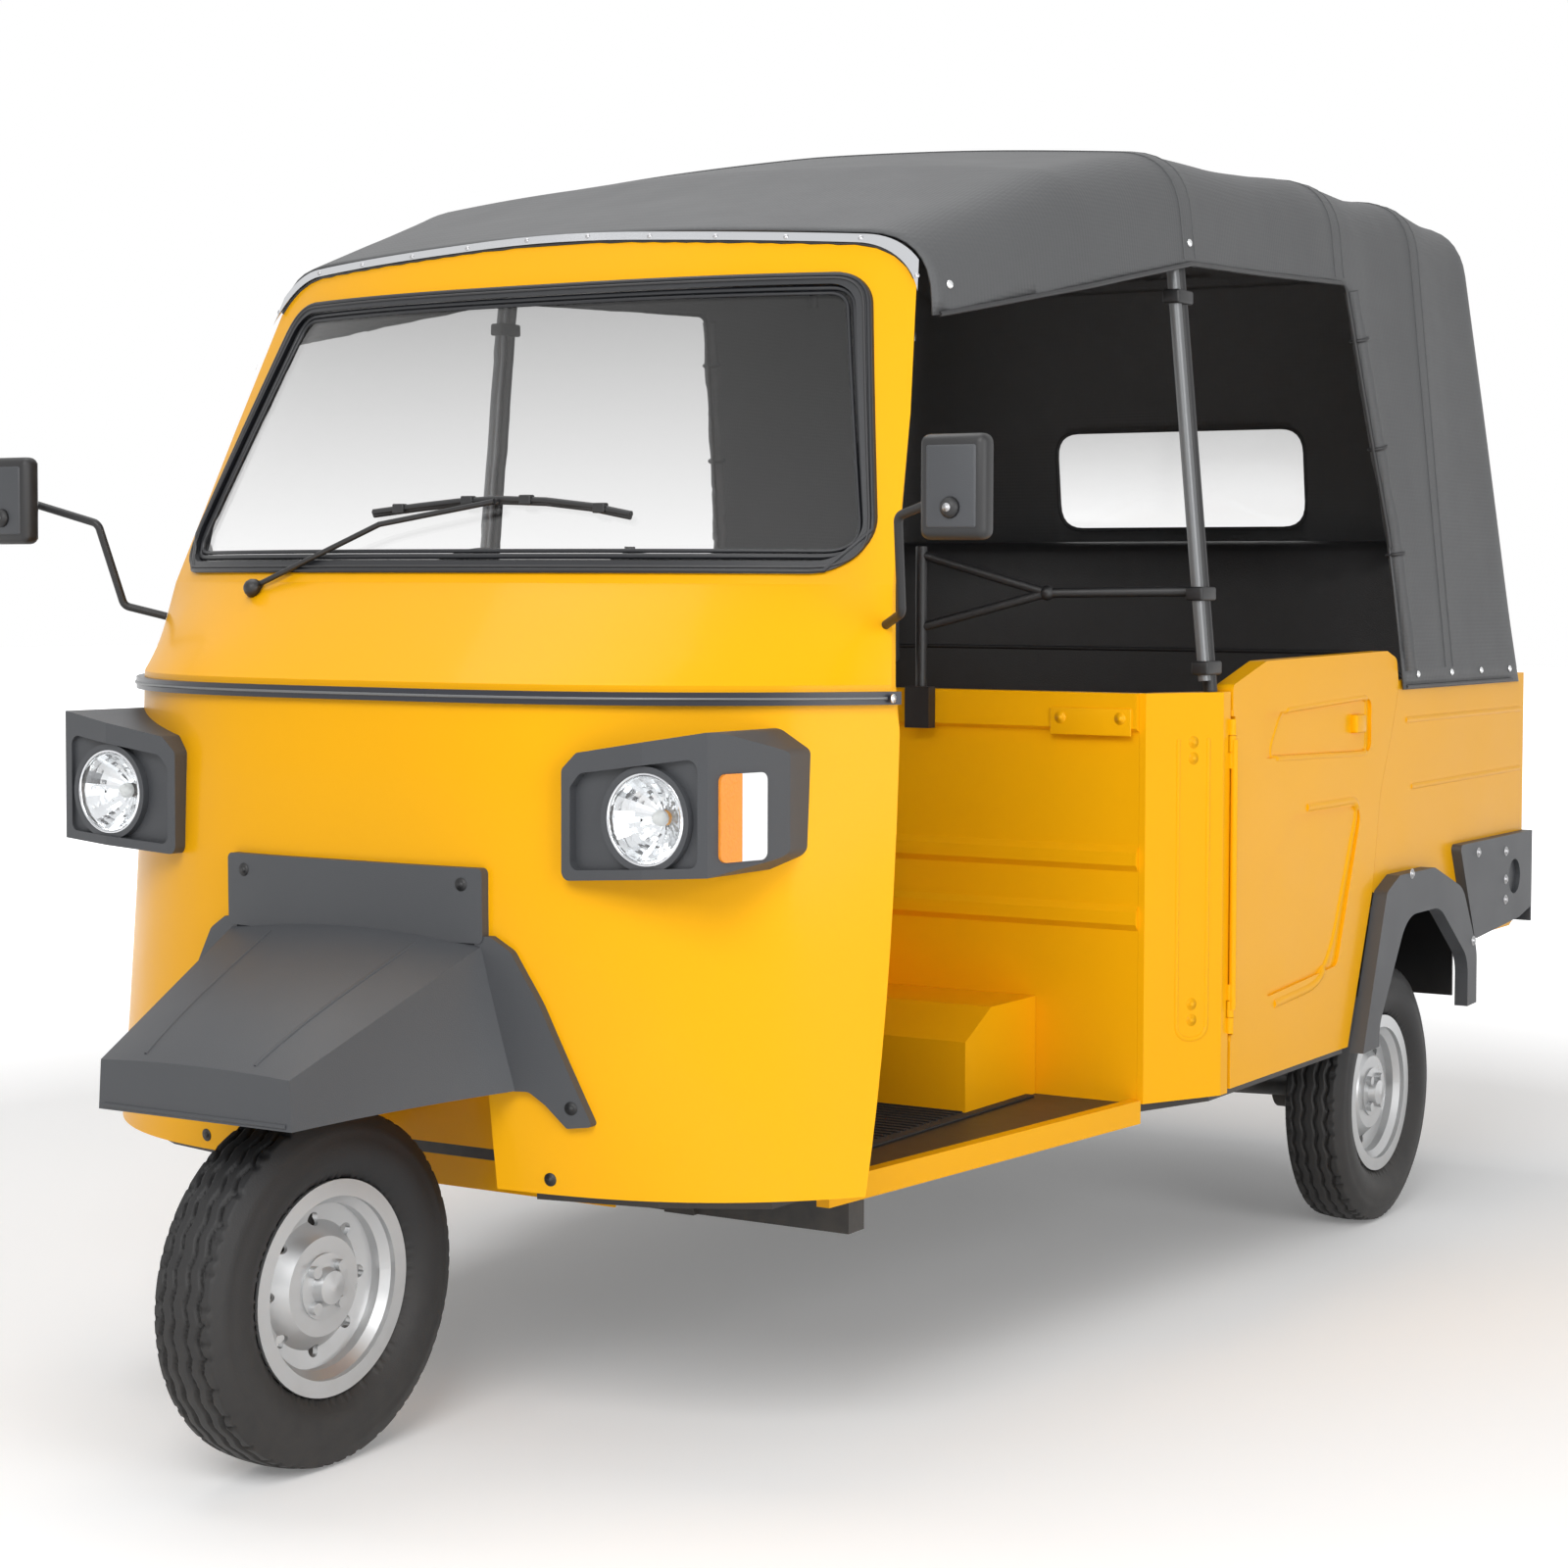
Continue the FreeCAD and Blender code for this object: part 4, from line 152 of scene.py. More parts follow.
def noise_node(group, scale, detail, stretch=None):
    """Noise in object coordinates; scale is a number or a socket."""
    nodes, links = group.nodes, group.links
    place = nodes.new("ShaderNodeTexCoord").outputs["Object"]
    if stretch is not None:
        mapping = nodes.new("ShaderNodeMapping")
        mapping.inputs["Scale"].default_value = stretch
        links.new(place, mapping.inputs["Vector"])
        place = mapping.outputs[0]
    texture = nodes.new("ShaderNodeTexNoise")
    texture.inputs["Detail"].default_value = detail
    links.new(place, texture.inputs["Vector"])
    if isinstance(scale, (int, float)):
        texture.inputs["Scale"].default_value = scale
    else:
        links.new(scale, texture.inputs["Scale"])
    return texture.outputs["Fac"]


def object_place(group):
    """Sockets X, Y and Z of the place in object coordinates."""
    split = group.nodes.new("ShaderNodeSeparateXYZ")
    group.links.new(group.nodes.new("ShaderNodeTexCoord").outputs["Object"], split.inputs[0])
    return split.outputs


def mixed(group, factor, first, second):
    """Mix of two colour sockets."""
    mix = group.nodes.new("ShaderNodeMix")
    mix.data_type = "RGBA"
    for socket, label in ((factor, "Factor"), (first, "A"), (second, "B")):
        group.links.new(socket, mix.inputs[label])
    return mix.outputs["Result"]


def make_dust_group():
    """Dust and splash low on the vehicle: mixes a colour towards dust and gives its mask."""
    group, start, end = node_group(
        "Road dust",
        [("Color", "NodeSocketColor", (1, 1, 1, 1)), ("Dust", "NodeSocketColor", (0.30, 0.25, 0.19, 1)),
         ("Top", "NodeSocketFloat", 0.5), ("Amount", "NodeSocketFloat", 0.3)],
        [("Color", "NodeSocketColor"), ("Mask", "NodeSocketFloat")])
    links = group.links
    place = object_place(group)
    height = math_node(group, "DIVIDE", place["Z"], start.outputs["Top"])
    low = math_node(group, "SUBTRACT", 1.0, height, True)
    speckle = noise_node(group, 38.0, 6.0)
    mask = math_node(group, "MULTIPLY", low, speckle)
    mask = math_node(group, "MULTIPLY", mask, start.outputs["Amount"], True)
    links.new(mixed(group, mask, start.outputs["Color"], start.outputs["Dust"]), end.inputs["Color"])
    links.new(mask, end.inputs["Mask"])
    return group


def make_grain_group():
    """Fine moulded grain: a height and a slight change of roughness."""
    group, start, end = node_group(
        "Moulded grain",
        [("Scale", "NodeSocketFloat", 600.0), ("Roughness", "NodeSocketFloat", 0.5),
         ("Spread", "NodeSocketFloat", 0.15)],
        [("Height", "NodeSocketFloat"), ("Roughness", "NodeSocketFloat")])
    links = group.links
    fine = noise_node(group, start.outputs["Scale"], 3.0)
    broad = noise_node(group, 9.0, 4.0)
    change = math_node(group, "SUBTRACT", broad, 0.5)
    change = math_node(group, "MULTIPLY", change, start.outputs["Spread"])
    total = math_node(group, "ADD", change, start.outputs["Roughness"], True)
    links.new(fine, end.inputs["Height"])
    links.new(total, end.inputs["Roughness"])
    return group


def make_shade_group():
    """Slight broad variation of a colour, as uneven fading."""
    group, start, end = node_group(
        "Uneven shade",
        [("Color", "NodeSocketColor", (1, 1, 1, 1)), ("Scale", "NodeSocketFloat", 3.0),
         ("Amount", "NodeSocketFloat", 0.1)],
        [("Color", "NodeSocketColor")])
    nodes, links = group.nodes, group.links
    patches = noise_node(group, start.outputs["Scale"], 5.0)
    change = math_node(group, "SUBTRACT", patches, 0.5)
    change = math_node(group, "MULTIPLY", change, start.outputs["Amount"])
    change = math_node(group, "ADD", change, 1.0)
    tone_shift = nodes.new("ShaderNodeVectorMath")
    tone_shift.operation = "SCALE"
    links.new(start.outputs["Color"], tone_shift.inputs[0])
    links.new(change, tone_shift.inputs["Scale"])
    links.new(tone_shift.outputs[0], end.inputs["Color"])
    return group


def make_weave_group():
    """Woven backing under a coated fabric, as a height, from waves across X, Y and Z."""
    group, start, end = node_group(
        "Coated weave", [("Pitch", "NodeSocketFloat", 900.0)], [("Height", "NodeSocketFloat")])
    links = group.links
    place = object_place(group)
    total = None
    for axis in "XYZ":
        phase = math_node(group, "MULTIPLY", place[axis], start.outputs["Pitch"])
        wave = math_node(group, "SINE", phase)
        total = wave if total is None else math_node(group, "ADD", total, wave)
    creases = noise_node(group, 5.0, 4.0, (1.0, 2.2, 0.7))
    scaled = math_node(group, "MULTIPLY", total, 0.06)
    height = math_node(group, "ADD", scaled, creases)
    links.new(height, end.inputs["Height"])
    return group


def make_top_darkening_group():
    """Colour that darkens from a lower height to an upper one; on the windscreen this is a painted
    reflection.
    """
    group, start, end = node_group(
        "Top darkening",
        [("Clear", "NodeSocketColor", (1, 1, 1, 1)), ("Tint", "NodeSocketColor", (0.3, 0.3, 0.3, 1)),
         ("Low", "NodeSocketFloat", 1.2), ("Top", "NodeSocketFloat", 1.6)],
        [("Color", "NodeSocketColor")])
    links = group.links
    place = object_place(group)
    rise = math_node(group, "SUBTRACT", place["Z"], start.outputs["Low"])
    reach = math_node(group, "SUBTRACT", start.outputs["Top"], start.outputs["Low"])
    share = math_node(group, "DIVIDE", rise, reach, True)
    links.new(mixed(group, share, start.outputs["Clear"], start.outputs["Tint"]), end.inputs["Color"])
    return group


GROUPS = {}


def use_group(material, name):
    """Node of a shared shader group in a material."""
    node = material.node_tree.nodes.new("ShaderNodeGroup")
    node.node_tree = GROUPS[name]
    return node


# Materials

MATERIALS = {}
GLASS_IOR = 1.45


def new_material(name, colour, roughness, metallic=0.0):
    """Plain material and its shader."""
    material = bpy.data.materials.new(name)
    material.use_nodes = True
    shader = material.node_tree.nodes["Principled BSDF"]
    shader.inputs["Base Color"].default_value = (*colour, 1.0)
    shader.inputs["Roughness"].default_value = roughness
    shader.inputs["Metallic"].default_value = metallic
    MATERIALS[name] = material
    return material, shader


def add_bump(material, shader, height, distance, strength=1.0):
    """Bump the shader by a height."""
    bump = material.node_tree.nodes.new("ShaderNodeBump")
    bump.inputs["Distance"].default_value = distance
    bump.inputs["Strength"].default_value = strength
    material.node_tree.links.new(height, bump.inputs["Height"])
    material.node_tree.links.new(bump.outputs["Normal"], shader.inputs["Normal"])


def finish(name, colour, roughness, metallic=0.0, shade=0.08, shade_scale=3.0, grain=600.0,
           grain_depth=0.0001, spread=0.12, dust=0.0, dust_top=0.5, weave=False):
    """Material with uneven shade, grain and dust from the shared groups."""
    material, shader = new_material(name, colour, roughness, metallic)
    links = material.node_tree.links
    tone_shift = use_group(material, "shade")
    tone_shift.inputs["Color"].default_value = (*colour, 1.0)
    tone_shift.inputs["Scale"].default_value = shade_scale
    tone_shift.inputs["Amount"].default_value = shade
    colour_socket = tone_shift.outputs["Color"]
    if dust > 0:
        dirt = use_group(material, "dust")
        dirt.inputs["Top"].default_value = dust_top
        dirt.inputs["Amount"].default_value = dust
        links.new(colour_socket, dirt.inputs["Color"])
        colour_socket = dirt.outputs["Color"]
    links.new(colour_socket, shader.inputs["Base Color"])
    texture = use_group(material, "grain")
    texture.inputs["Scale"].default_value = grain
    texture.inputs["Roughness"].default_value = roughness
    texture.inputs["Spread"].default_value = spread
    links.new(texture.outputs["Roughness"], shader.inputs["Roughness"])
    height = texture.outputs["Height"]
    if weave:
        height = use_group(material, "weave").outputs["Height"]
    add_bump(material, shader, height, grain_depth)
    return material, shader


def make_materials():
    """Shader groups and all the finishes."""
    GROUPS["dust"] = make_dust_group()
    GROUPS["grain"] = make_grain_group()
    GROUPS["shade"] = make_shade_group()
    GROUPS["weave"] = make_weave_group()
    GROUPS["tone_shift"] = make_top_darkening_group()
    palette = colours()
    _, shader = finish("Body paint", palette.body, 0.36, shade=0.05, grain=220.0, grain_depth=0.00006,
                       dust=0.06, dust_top=0.55)
    shader.inputs["Coat Weight"].default_value = 0.10
    shader.inputs["Specular IOR Level"].default_value = 0.10
    shader.inputs["Coat Roughness"].default_value = 0.10
    finish("Chassis paint", (0.012, 0.012, 0.013), 0.48, shade=0.3, grain=300.0, dust=0.5, dust_top=0.45)
    finish("Moulding", palette.moulding, 0.50, shade=0.12, grain=700.0, grain_depth=0.0003, dust=0.2)
    finish("Black moulding", (0.014, 0.014, 0.015), 0.46, shade=0.2, grain=800.0, grain_depth=0.0002)
    finish("Navy trim", (0.006, 0.008, 0.017), 0.30, shade=0.1, grain=500.0, grain_depth=0.00005)
    finish("Hood fabric", palette.hood, 0.58, shade=0.16, shade_scale=2.2, grain_depth=0.0016, weave=True)
    finish("Hood lining", palette.lining, 0.85, shade=0.2, grain_depth=0.0010, weave=True)
    finish("Seat cover", palette.seat, 0.44, shade=0.15, grain=420.0, grain_depth=0.0006)
    finish("Piping", (0.030, 0.030, 0.032), 0.5, grain=500.0)
    finish("Tyre rubber", palette.rubber, 0.60, shade=0.30, grain=420.0, grain_depth=0.0003, dust=0.10,
           dust_top=0.4)
    finish("Seal rubber", (0.010, 0.011, 0.014), 0.42, shade=0.1, grain=400.0)
    finish("Wheel paint", palette.wheel, 0.30, metallic=0.65, shade=0.10, grain=260.0,
           grain_depth=0.00004, dust=0.35, dust_top=0.4)
    finish("Bright steel", (0.74, 0.75, 0.76), 0.22, metallic=1.0, shade=0.08, grain=240.0,
           grain_depth=0.00002)
    finish("Chrome", (0.60, 0.61, 0.63), 0.14, metallic=1.0, shade=0.04, grain=200.0, grain_depth=0.00001)
    finish("Machined steel", (0.42, 0.42, 0.43), 0.36, metallic=0.9, shade=0.2, dust=0.4, dust_top=0.4)
    finish("Cast alloy", (0.34, 0.35, 0.36), 0.55, metallic=0.7, shade=0.3, grain=160.0,
           grain_depth=0.0008, dust=0.4, dust_top=0.6)
    finish("Floor mat", (0.013, 0.013, 0.014), 0.72, shade=0.3, grain=260.0, grain_depth=0.0006)
    finish("Mirror", (0.80, 0.83, 0.86), 0.03, metallic=1.0, shade=0.02, grain_depth=0.0)
    finish("Lamp bowl", (0.82, 0.83, 0.84), 0.10, metallic=1.0, shade=0.05, grain=90.0,
           grain_depth=0.0002)
    finish("Amber lens", (0.90, 0.30, 0.03), 0.12, shade=0.1, grain=180.0, grain_depth=0.0012)
    finish("Red lens", (0.42, 0.01, 0.012), 0.12, shade=0.1, grain=180.0, grain_depth=0.0012)
    finish("White lens", (0.86, 0.87, 0.88), 0.12, shade=0.06, grain=180.0, grain_depth=0.0012)
    finish("Thread", (0.10, 0.10, 0.10), 0.7, shade=0.2)
    finish("Grey paint", (0.16, 0.165, 0.17), 0.35, metallic=0.4, shade=0.1, grain=300.0)
    finish("Dial", (0.82, 0.83, 0.80), 0.4, shade=0.04)
    # The windscreen's glass turns grey towards its top edge: a painted reflection.
    make_glass("Screen glass", (0.93, 0.97, 0.96), 0.01, 1.16, 1.62, 0.40)
    make_glass("Lens glass", (0.97, 0.98, 0.99), 0.04)
    make_glass("Clear sheet", (0.88, 0.90, 0.90), 0.10, 1.28, 1.50, 0.55)


def make_glass(name, colour, roughness, low=0.0, top=0.0, dark=None):
    """Clear material whose colour may darken towards the top between two heights; on the windscreen this
    darkening is a painted reflection.
    """
    material, shader = new_material(name, colour, roughness)
    links = material.node_tree.links
    shader.inputs["Transmission Weight"].default_value = 1.0
    shader.inputs["IOR"].default_value = GLASS_IOR
    grain = use_group(material, "grain")
    grain.inputs["Scale"].default_value = 30.0
    grain.inputs["Roughness"].default_value = roughness
    grain.inputs["Spread"].default_value = 0.01
    links.new(grain.outputs["Roughness"], shader.inputs["Roughness"])
    if dark is not None:
        fade = use_group(material, "tone_shift")
        fade.inputs["Tint"].default_value = (dark, dark, dark, 1)
        fade.inputs["Low"].default_value = low
        fade.inputs["Top"].default_value = top
        links.new(fade.outputs["Color"], shader.inputs["Base Color"])


# Mesh helpers


def add_piece(name, mesh, material, body, smooth=True):
    """Object for a finished mesh that rides on a body."""
    piece = bpy.data.objects.new(name, mesh)
    bpy.context.scene.collection.objects.link(piece)
    indices = [face.material_index for face in mesh.polygons]
    mesh.materials.clear()
    several = isinstance(material, tuple)
    for item in material if several else (material,):
        mesh.materials.append(MATERIALS[item])
    for face, index in zip(mesh.polygons, indices):
        face.use_smooth = smooth
        face.material_index = index if several else 0
    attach(piece, body)
    return piece


def mesh_from(vertices, faces, name="mesh"):
    mesh = bpy.data.meshes.new(name)
    mesh.from_pydata([tuple(v) for v in vertices], [], faces)
    mesh.update()
    return mesh


def clean(mesh, distance=0.0001):
    """Merge doubles and turn every face outwards."""
    shape = bmesh.new()
    shape.from_mesh(mesh)
    bmesh.ops.remove_doubles(shape, verts=shape.verts, dist=distance)
    bmesh.ops.recalc_face_normals(shape, faces=shape.faces)
    shape.to_mesh(mesh)
    shape.free()
    mesh.update()
    return mesh


def settle(piece):
    """Turn the modifiers' result into the piece's own mesh."""
    bpy.context.view_layer.update()
    graph = bpy.context.evaluated_depsgraph_get()
    result = bpy.data.meshes.new_from_object(piece.evaluated_get(graph))
    piece.modifiers.clear()
    piece.data = result
    return piece


def scratch(mesh):
    """Object that only carries modifiers while a mesh is made."""
    carrier = bpy.data.objects.new("scratch", mesh)
    bpy.context.scene.collection.objects.link(carrier)
    return carrier


def worked(mesh, *modifiers):
    """Mesh with modifiers applied, each given as (kind, {setting: value})."""
    carrier = scratch(mesh)
    for kind, settings in modifiers:
        modifier = carrier.modifiers.new(kind, kind)
        for key, value in settings.items():
            setattr(modifier, key, value)
    settle(carrier)
    result = carrier.data
    bpy.data.objects.remove(carrier)
    return result


def joined(meshes):
    """One mesh made of several."""
    shape = bmesh.new()
    for mesh in meshes:
        shape.from_mesh(mesh)
    result = bpy.data.meshes.new("joined")
    shape.to_mesh(result)
    shape.free()
    return result


def circle(centre, across, other, radius, steps):
    """Points of a circle round a centre, in the plane of two directions."""
    turns = [step / steps * math.tau for step in range(steps)]
    return [centre + (across * math.cos(turn) + other * math.sin(turn)) * radius for turn in turns]


def tube(points, radius, closed=False, sides=10, order=None, swell=None):
    """Round tube mesh along a line of points; swell multiplies the radius at each point."""
    curve = bpy.data.curves.new("line", "CURVE")
    curve.dimensions = "3D"
    curve.bevel_depth = radius
    curve.bevel_resolution = max(1, sides // 4 - 1)
    curve.use_fill_caps = not closed
    spline = curve.splines.new("POLY" if order is None else "NURBS")
    spline.points.add(len(points) - 1)
    for place, point in zip(spline.points, points):
        place.co = (*point, 1.0)
    for place, factor in zip(spline.points, swell or ()):
        place.radius = factor
    spline.use_cyclic_u = closed
    if order is not None:
        spline.use_endpoint_u = not closed
        spline.order_u = order
    carrier = bpy.data.objects.new("line", curve)
    bpy.context.scene.collection.objects.link(carrier)
    bpy.context.view_layer.update()
    mesh = bpy.data.meshes.new_from_object(carrier.evaluated_get(bpy.context.evaluated_depsgraph_get()))
    bpy.data.objects.remove(carrier)
    return mesh


def block(low, high, round_by=0.0, segments=3):
    """Box between two corners with rounded edges."""
    shape = bmesh.new()
    bmesh.ops.create_cube(shape, size=1.0)
    middle = (Vector(low) + Vector(high)) / 2
    size = Vector(high) - Vector(low)
    bmesh.ops.transform(shape, matrix=Matrix.Translation(middle) @ Matrix.Diagonal((*size, 1.0)),
                        verts=shape.verts)
    if round_by > 0:
        bmesh.ops.bevel(shape, geom=shape.edges[:], offset=round_by, segments=segments, affect="EDGES",
                        profile=0.5)
    mesh = bpy.data.meshes.new("block")
    shape.to_mesh(mesh)
    shape.free()
    return mesh


def dome(centre, axis, radius, height, sides=14, rings=4):
    """Low round head standing on a surface, such as a rivet's."""
    axis = Vector(axis).normalized()
    turn = axis.to_track_quat("Z", "Y").to_matrix().to_4x4()
    vertices, faces = [], []
    for ring in range(rings):
        lift = math.sin(ring / rings * math.pi / 2) * height
        width = math.cos(ring / rings * math.pi / 2) * radius
        for side in range(sides):
            angle = side / sides * math.tau
            vertices.append(Vector((math.cos(angle) * width, math.sin(angle) * width, lift)))
    vertices.append(Vector((0, 0, height)))
    top = len(vertices) - 1
    for ring in range(rings - 1):
        for side in range(sides):
            after = (side + 1) % sides
            faces.append((ring * sides + side, ring * sides + after, (ring + 1) * sides + after,
                          (ring + 1) * sides + side))
    for side in range(sides):
        faces.append(((rings - 1) * sides + side, (rings - 1) * sides + (side + 1) % sides, top))
    faces.append(tuple(reversed(range(sides))))
    place = Matrix.Translation(Vector(centre)) @ turn
    return mesh_from([place @ v for v in vertices], faces)


# Plain pieces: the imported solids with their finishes

FINISHES = {
    "Body paint": ("cab_shell", "bulkhead", "door_pillars", "door_left", "door_right", "body_sides",
                   "tailgate", "seat_box", "seat_deck", "sills", "wheel_well"),
    "Chassis paint": ("chassis_frame", "canopy_frame", "floor_pan", "steering_head", "steering_column",
                      "front_suspension", "rear_suspension", "rear_beam", "mirror_arms"),
    "Moulding": ("front_fender", "lamp_pods", "corner_bumpers", "wheel_flares"),
    "Black moulding": ("handlebar", "dashboard", "mirror_heads", "wiper"),
    "Navy trim": ("waist_trim",),
    "Seal rubber": ("windscreen_seal",),
    "Wheel paint": ("rim_front", "rim_rear_left", "rim_rear_right"),
    "Chrome": ("header_rail",),
    "Machined steel": ("half_shafts",),
    "Cast alloy": ("engine_block",),
    "Screen glass": ("windscreen",),
    "Lens glass": ("head_lamps",),
    "Red lens": ("tail_lamps",),
    "Amber lens": ("indicators",),
    "Hood fabric": ("canopy",),
    "Seat cover": ("driver_seat", "driver_backrest", "passenger_seat", "passenger_backrest"),
    "Tyre rubber": ("tyre_front", "tyre_rear_left", "tyre_rear_right"),
}

ARCH_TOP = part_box("wheel_flares")[1].z + 0.02
TAIL_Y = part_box("body_sides")[1].y


class RICKSHAW_OT_finishes(bpy.types.Operator):
    """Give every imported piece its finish"""
    bl_idname = "rickshaw.finishes"
    bl_label = "Finishes"

    def execute(self, context):
        make_materials()
        make_trees()
        for name, nodes in FINISHES.items():
            for node in nodes:
                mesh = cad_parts[node].data
                mesh.materials.clear()
                mesh.materials.append(MATERIALS[name])
        for node in ("body_sides", "seat_deck", "tailgate", "bulkhead"):
            self.darken(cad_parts[node].data)
        return {"FINISHED"}

    def darken(self, mesh):
        """Black underside paint on the faces inside the rear quarters, below the deck."""
        mesh.materials.append(MATERIALS["Chassis paint"])
        for face in mesh.polygons:
            inside = face.center.y > REAR_AXLE - 0.40 and abs(face.center.x) < BODY_HALF - 0.004
            outward = face.normal.y > 0.5 and face.center.y > TAIL_Y - 0.05
            if inside and not outward and face.center.z < ARCH_TOP and face.normal.z < 0.5:
                face.material_index = 1


# Tyres

TYRE_ROWS = 300
TREAD_WAVES = 34
RIB_EDGES = (-0.031, -0.0115, 0.0115, 0.031)


def tyre_profile():
    """Half of the tyre's section as (across, radius), from the bead to the tread's middle."""
    outer = (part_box("tyre_front")[1].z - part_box("tyre_front")[0].z) / 2
    wide = (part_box("tyre_front")[1].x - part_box("tyre_front")[0].x) / 2
    bead = outer * 0.61
    side = [(0.0385, bead), (0.0420, bead + 0.004), (0.0475, bead + 0.010), (0.0490, bead + 0.0125),
            (0.0530, bead + 0.018), (wide - 0.0015, bead + 0.030), (wide, bead + 0.042),
            (wide - 0.0006, bead + 0.052), (wide - 0.003, bead + 0.062), (wide - 0.0026, bead + 0.0645),
            (wide - 0.006, bead + 0.072), (wide - 0.0105, outer - 0.0105), (wide - 0.0125, outer - 0.007)]
    tread = []
    for step in range(24):
        x = 0.0450 * (1 - step / 24)
        tread.append((x, outer - 0.0042 * (x / 0.045) ** 2))
    return side + tread + [(0.0, outer)]


def groove_at(x, angle, depth):
    """Depth of the tread pattern: zigzag grooves round the tyre and short sipes at the shoulder."""
    wave = abs((angle * TREAD_WAVES / math.pi) % 2 - 1) - 0.5
    cut = 0.0
    for edge in RIB_EDGES:
        gap = abs(x - edge - wave * 0.0055)
        cut = max(cut, 1.0 - max(0.0, gap - 0.0021) / 0.0013)
    if abs(x) > 0.034:
        phase = (angle * TREAD_WAVES / math.pi) % 1.0
        if phase < 0.16:
            cut = max(cut, 0.6)
    return depth * min(1.0, max(0.0, cut))


def tyre_mesh(x, y):
    """Tyre whose axle runs along X through (x, y)."""
    half = tyre_profile()
    profile = [(-a, r) for a, r in half] + [(a, r) for a, r in reversed(half[:-1])]
    depth = sizes().tread_depth
    vertices, faces = [], []
    for row in range(TYRE_ROWS):
        angle = row / TYRE_ROWS * math.tau
        for across, radius in profile:
            reach = radius - (groove_at(across, angle, depth) if abs(across) <= 0.0452 else 0.0)
            vertices.append((x + across, y + math.cos(angle) * reach, AXLE_Z + math.sin(angle) * reach))
    count = len(profile)
    for row in range(TYRE_ROWS):
        after = (row + 1) % TYRE_ROWS
        for column in range(count - 1):
            faces.append((row * count + column, row * count + column + 1, after * count + column + 1,
                          after * count + column))
    for row in range(TYRE_ROWS):
        after = (row + 1) % TYRE_ROWS
        faces.append((row * count + count - 1, row * count, after * count, after * count + count - 1))
    return clean(mesh_from(vertices, faces))


class RICKSHAW_OT_tyres(bpy.types.Operator):
    """Tyres with ribbed tread and shouldered sidewalls"""
    bl_idname = "rickshaw.tyres"
    bl_label = "Tyres"

    def execute(self, context):
        for node, body in (("tyre_front", "front_wheel"), ("tyre_rear_left", "rear_wheel_left"),
                           ("tyre_rear_right", "rear_wheel_right")):
            low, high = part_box(node)
            mesh = tyre_mesh((low.x + high.x) / 2, (low.y + high.y) / 2)
            piece = add_piece(node + "_treaded", mesh, "Tyre rubber", body)
            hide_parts(node)
        return {"FINISHED"}


# Hood

# Sections of the hood: place behind the front axle, half width at the shoulder, height of the
# shoulder and of the crown. The fabric runs straight from one to the next.
HOOD_ROWS = (
    (0.568, 0.596, 1.656, 1.6766),
    (0.950, 0.647, 1.786, 1.826),
    (1.262, 0.664, 1.846, 1.882),
    (1.880, 0.662, 1.878, 1.904),
    (2.262, 0.660, 1.886, 1.906),
    (2.610, 0.660, 1.872, 1.890),
)
HOOD_LOW, HOOD_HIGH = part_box("canopy")
BOW_PLACES = (1.262, 1.880, 2.262)
SHOULDER_REACH = 0.095
HOOD_CORNER = 0.085
FRONT_SWEEP = 0.036
RIPPLE_START, RIPPLE_REACH = 0.985, 0.12
REAR_STEPS = 34
SIDE_STEPS, SHOULDER_STEPS, ROOF_STEPS, ROW_STEPS = 22, 8, 16, 86
WINDOW_HALF, WINDOW_LOW, WINDOW_TOP, WINDOW_CORNER = 0.284, 1.296, 1.496, 0.05
# Side entry's outline behind the front axle and above the ground, with each corner's rounding
ENTRY = ((-0.10, 0.0, 0.0), (0.548, 1.528, 0.0), (0.588, 1.536, 0.012), (1.262, 1.672, 0.0),
         (1.906, 1.702, 0.03), (2.013, 1.264, 0.25), (2.031, 0.90, 0.0), (1.0, 0.0, 0.0))

ROLL_LINE = ((1.925, 1.690), (2.028, 1.270), (2.052, 1.02))
HEM_Z = 0.9905
HEM_PITCH = 0.03
SEAM_SHIFT = 0.019
PIPING_RADIUS = 0.0042
HEM_RADIUS = 0.0035
ROLL_RADIUS = 0.014
STRAP_RADIUS = 0.0155
STUD_HEIGHT = 0.005
REAR_STUDS = (-0.45, -0.15, 0.15, 0.45)
REAR_STUD_Z = 1.012
STUD_PLACES = ((0.640, 1.585), (1.262, 1.705), (2.10, 1.012), (2.27, 1.012), (2.44, 1.012), (2.60, 1.012))


def hood_row(y):
    """Half width, shoulder height and crown height at a place behind the front axle."""
    for before, after in zip(HOOD_ROWS, HOOD_ROWS[1:]):
        if y <= after[0] or after is HOOD_ROWS[-1]:
            share = (y - before[0]) / (after[0] - before[0])
            return [first + (second - first) * share for first, second in zip(before[1:], after[1:])]


def hood_section(y):
    """Right half of the section at y, from the lower edge to the crown, as (x, z)."""
    half, shoulder, crown = hood_row(y)
    low_z, low_half = HOOD_LOW.z, HOOD_HIGH.x
    if y < HOOD_ROWS[1][0]:
        share = (y - HOOD_ROWS[0][0]) / (HOOD_ROWS[1][0] - HOOD_ROWS[0][0])
        low_half = half + 0.02 + (low_half - half - 0.02) * max(0.0, share)
    corner, foot = Vector((half, shoulder)), Vector((low_half, low_z))
    side_end = corner + (foot - corner).normalized() * SHOULDER_REACH
    arch_x = half - SHOULDER_REACH
    arch = Vector((arch_x, crown - (crown - shoulder) * (arch_x / half) ** 2))
    points = [foot.lerp(side_end, step / SIDE_STEPS) for step in range(SIDE_STEPS)]
    for step in range(SHOULDER_STEPS):
        t = step / SHOULDER_STEPS
        points.append(side_end * (1 - t) ** 2 + corner * 2 * t * (1 - t) + arch * t ** 2)
    for step in range(ROOF_STEPS + 1):
        x = arch_x * (1 - step / ROOF_STEPS)
        points.append(Vector((x, crown - (crown - shoulder) * (x / half) ** 2)))
    return points


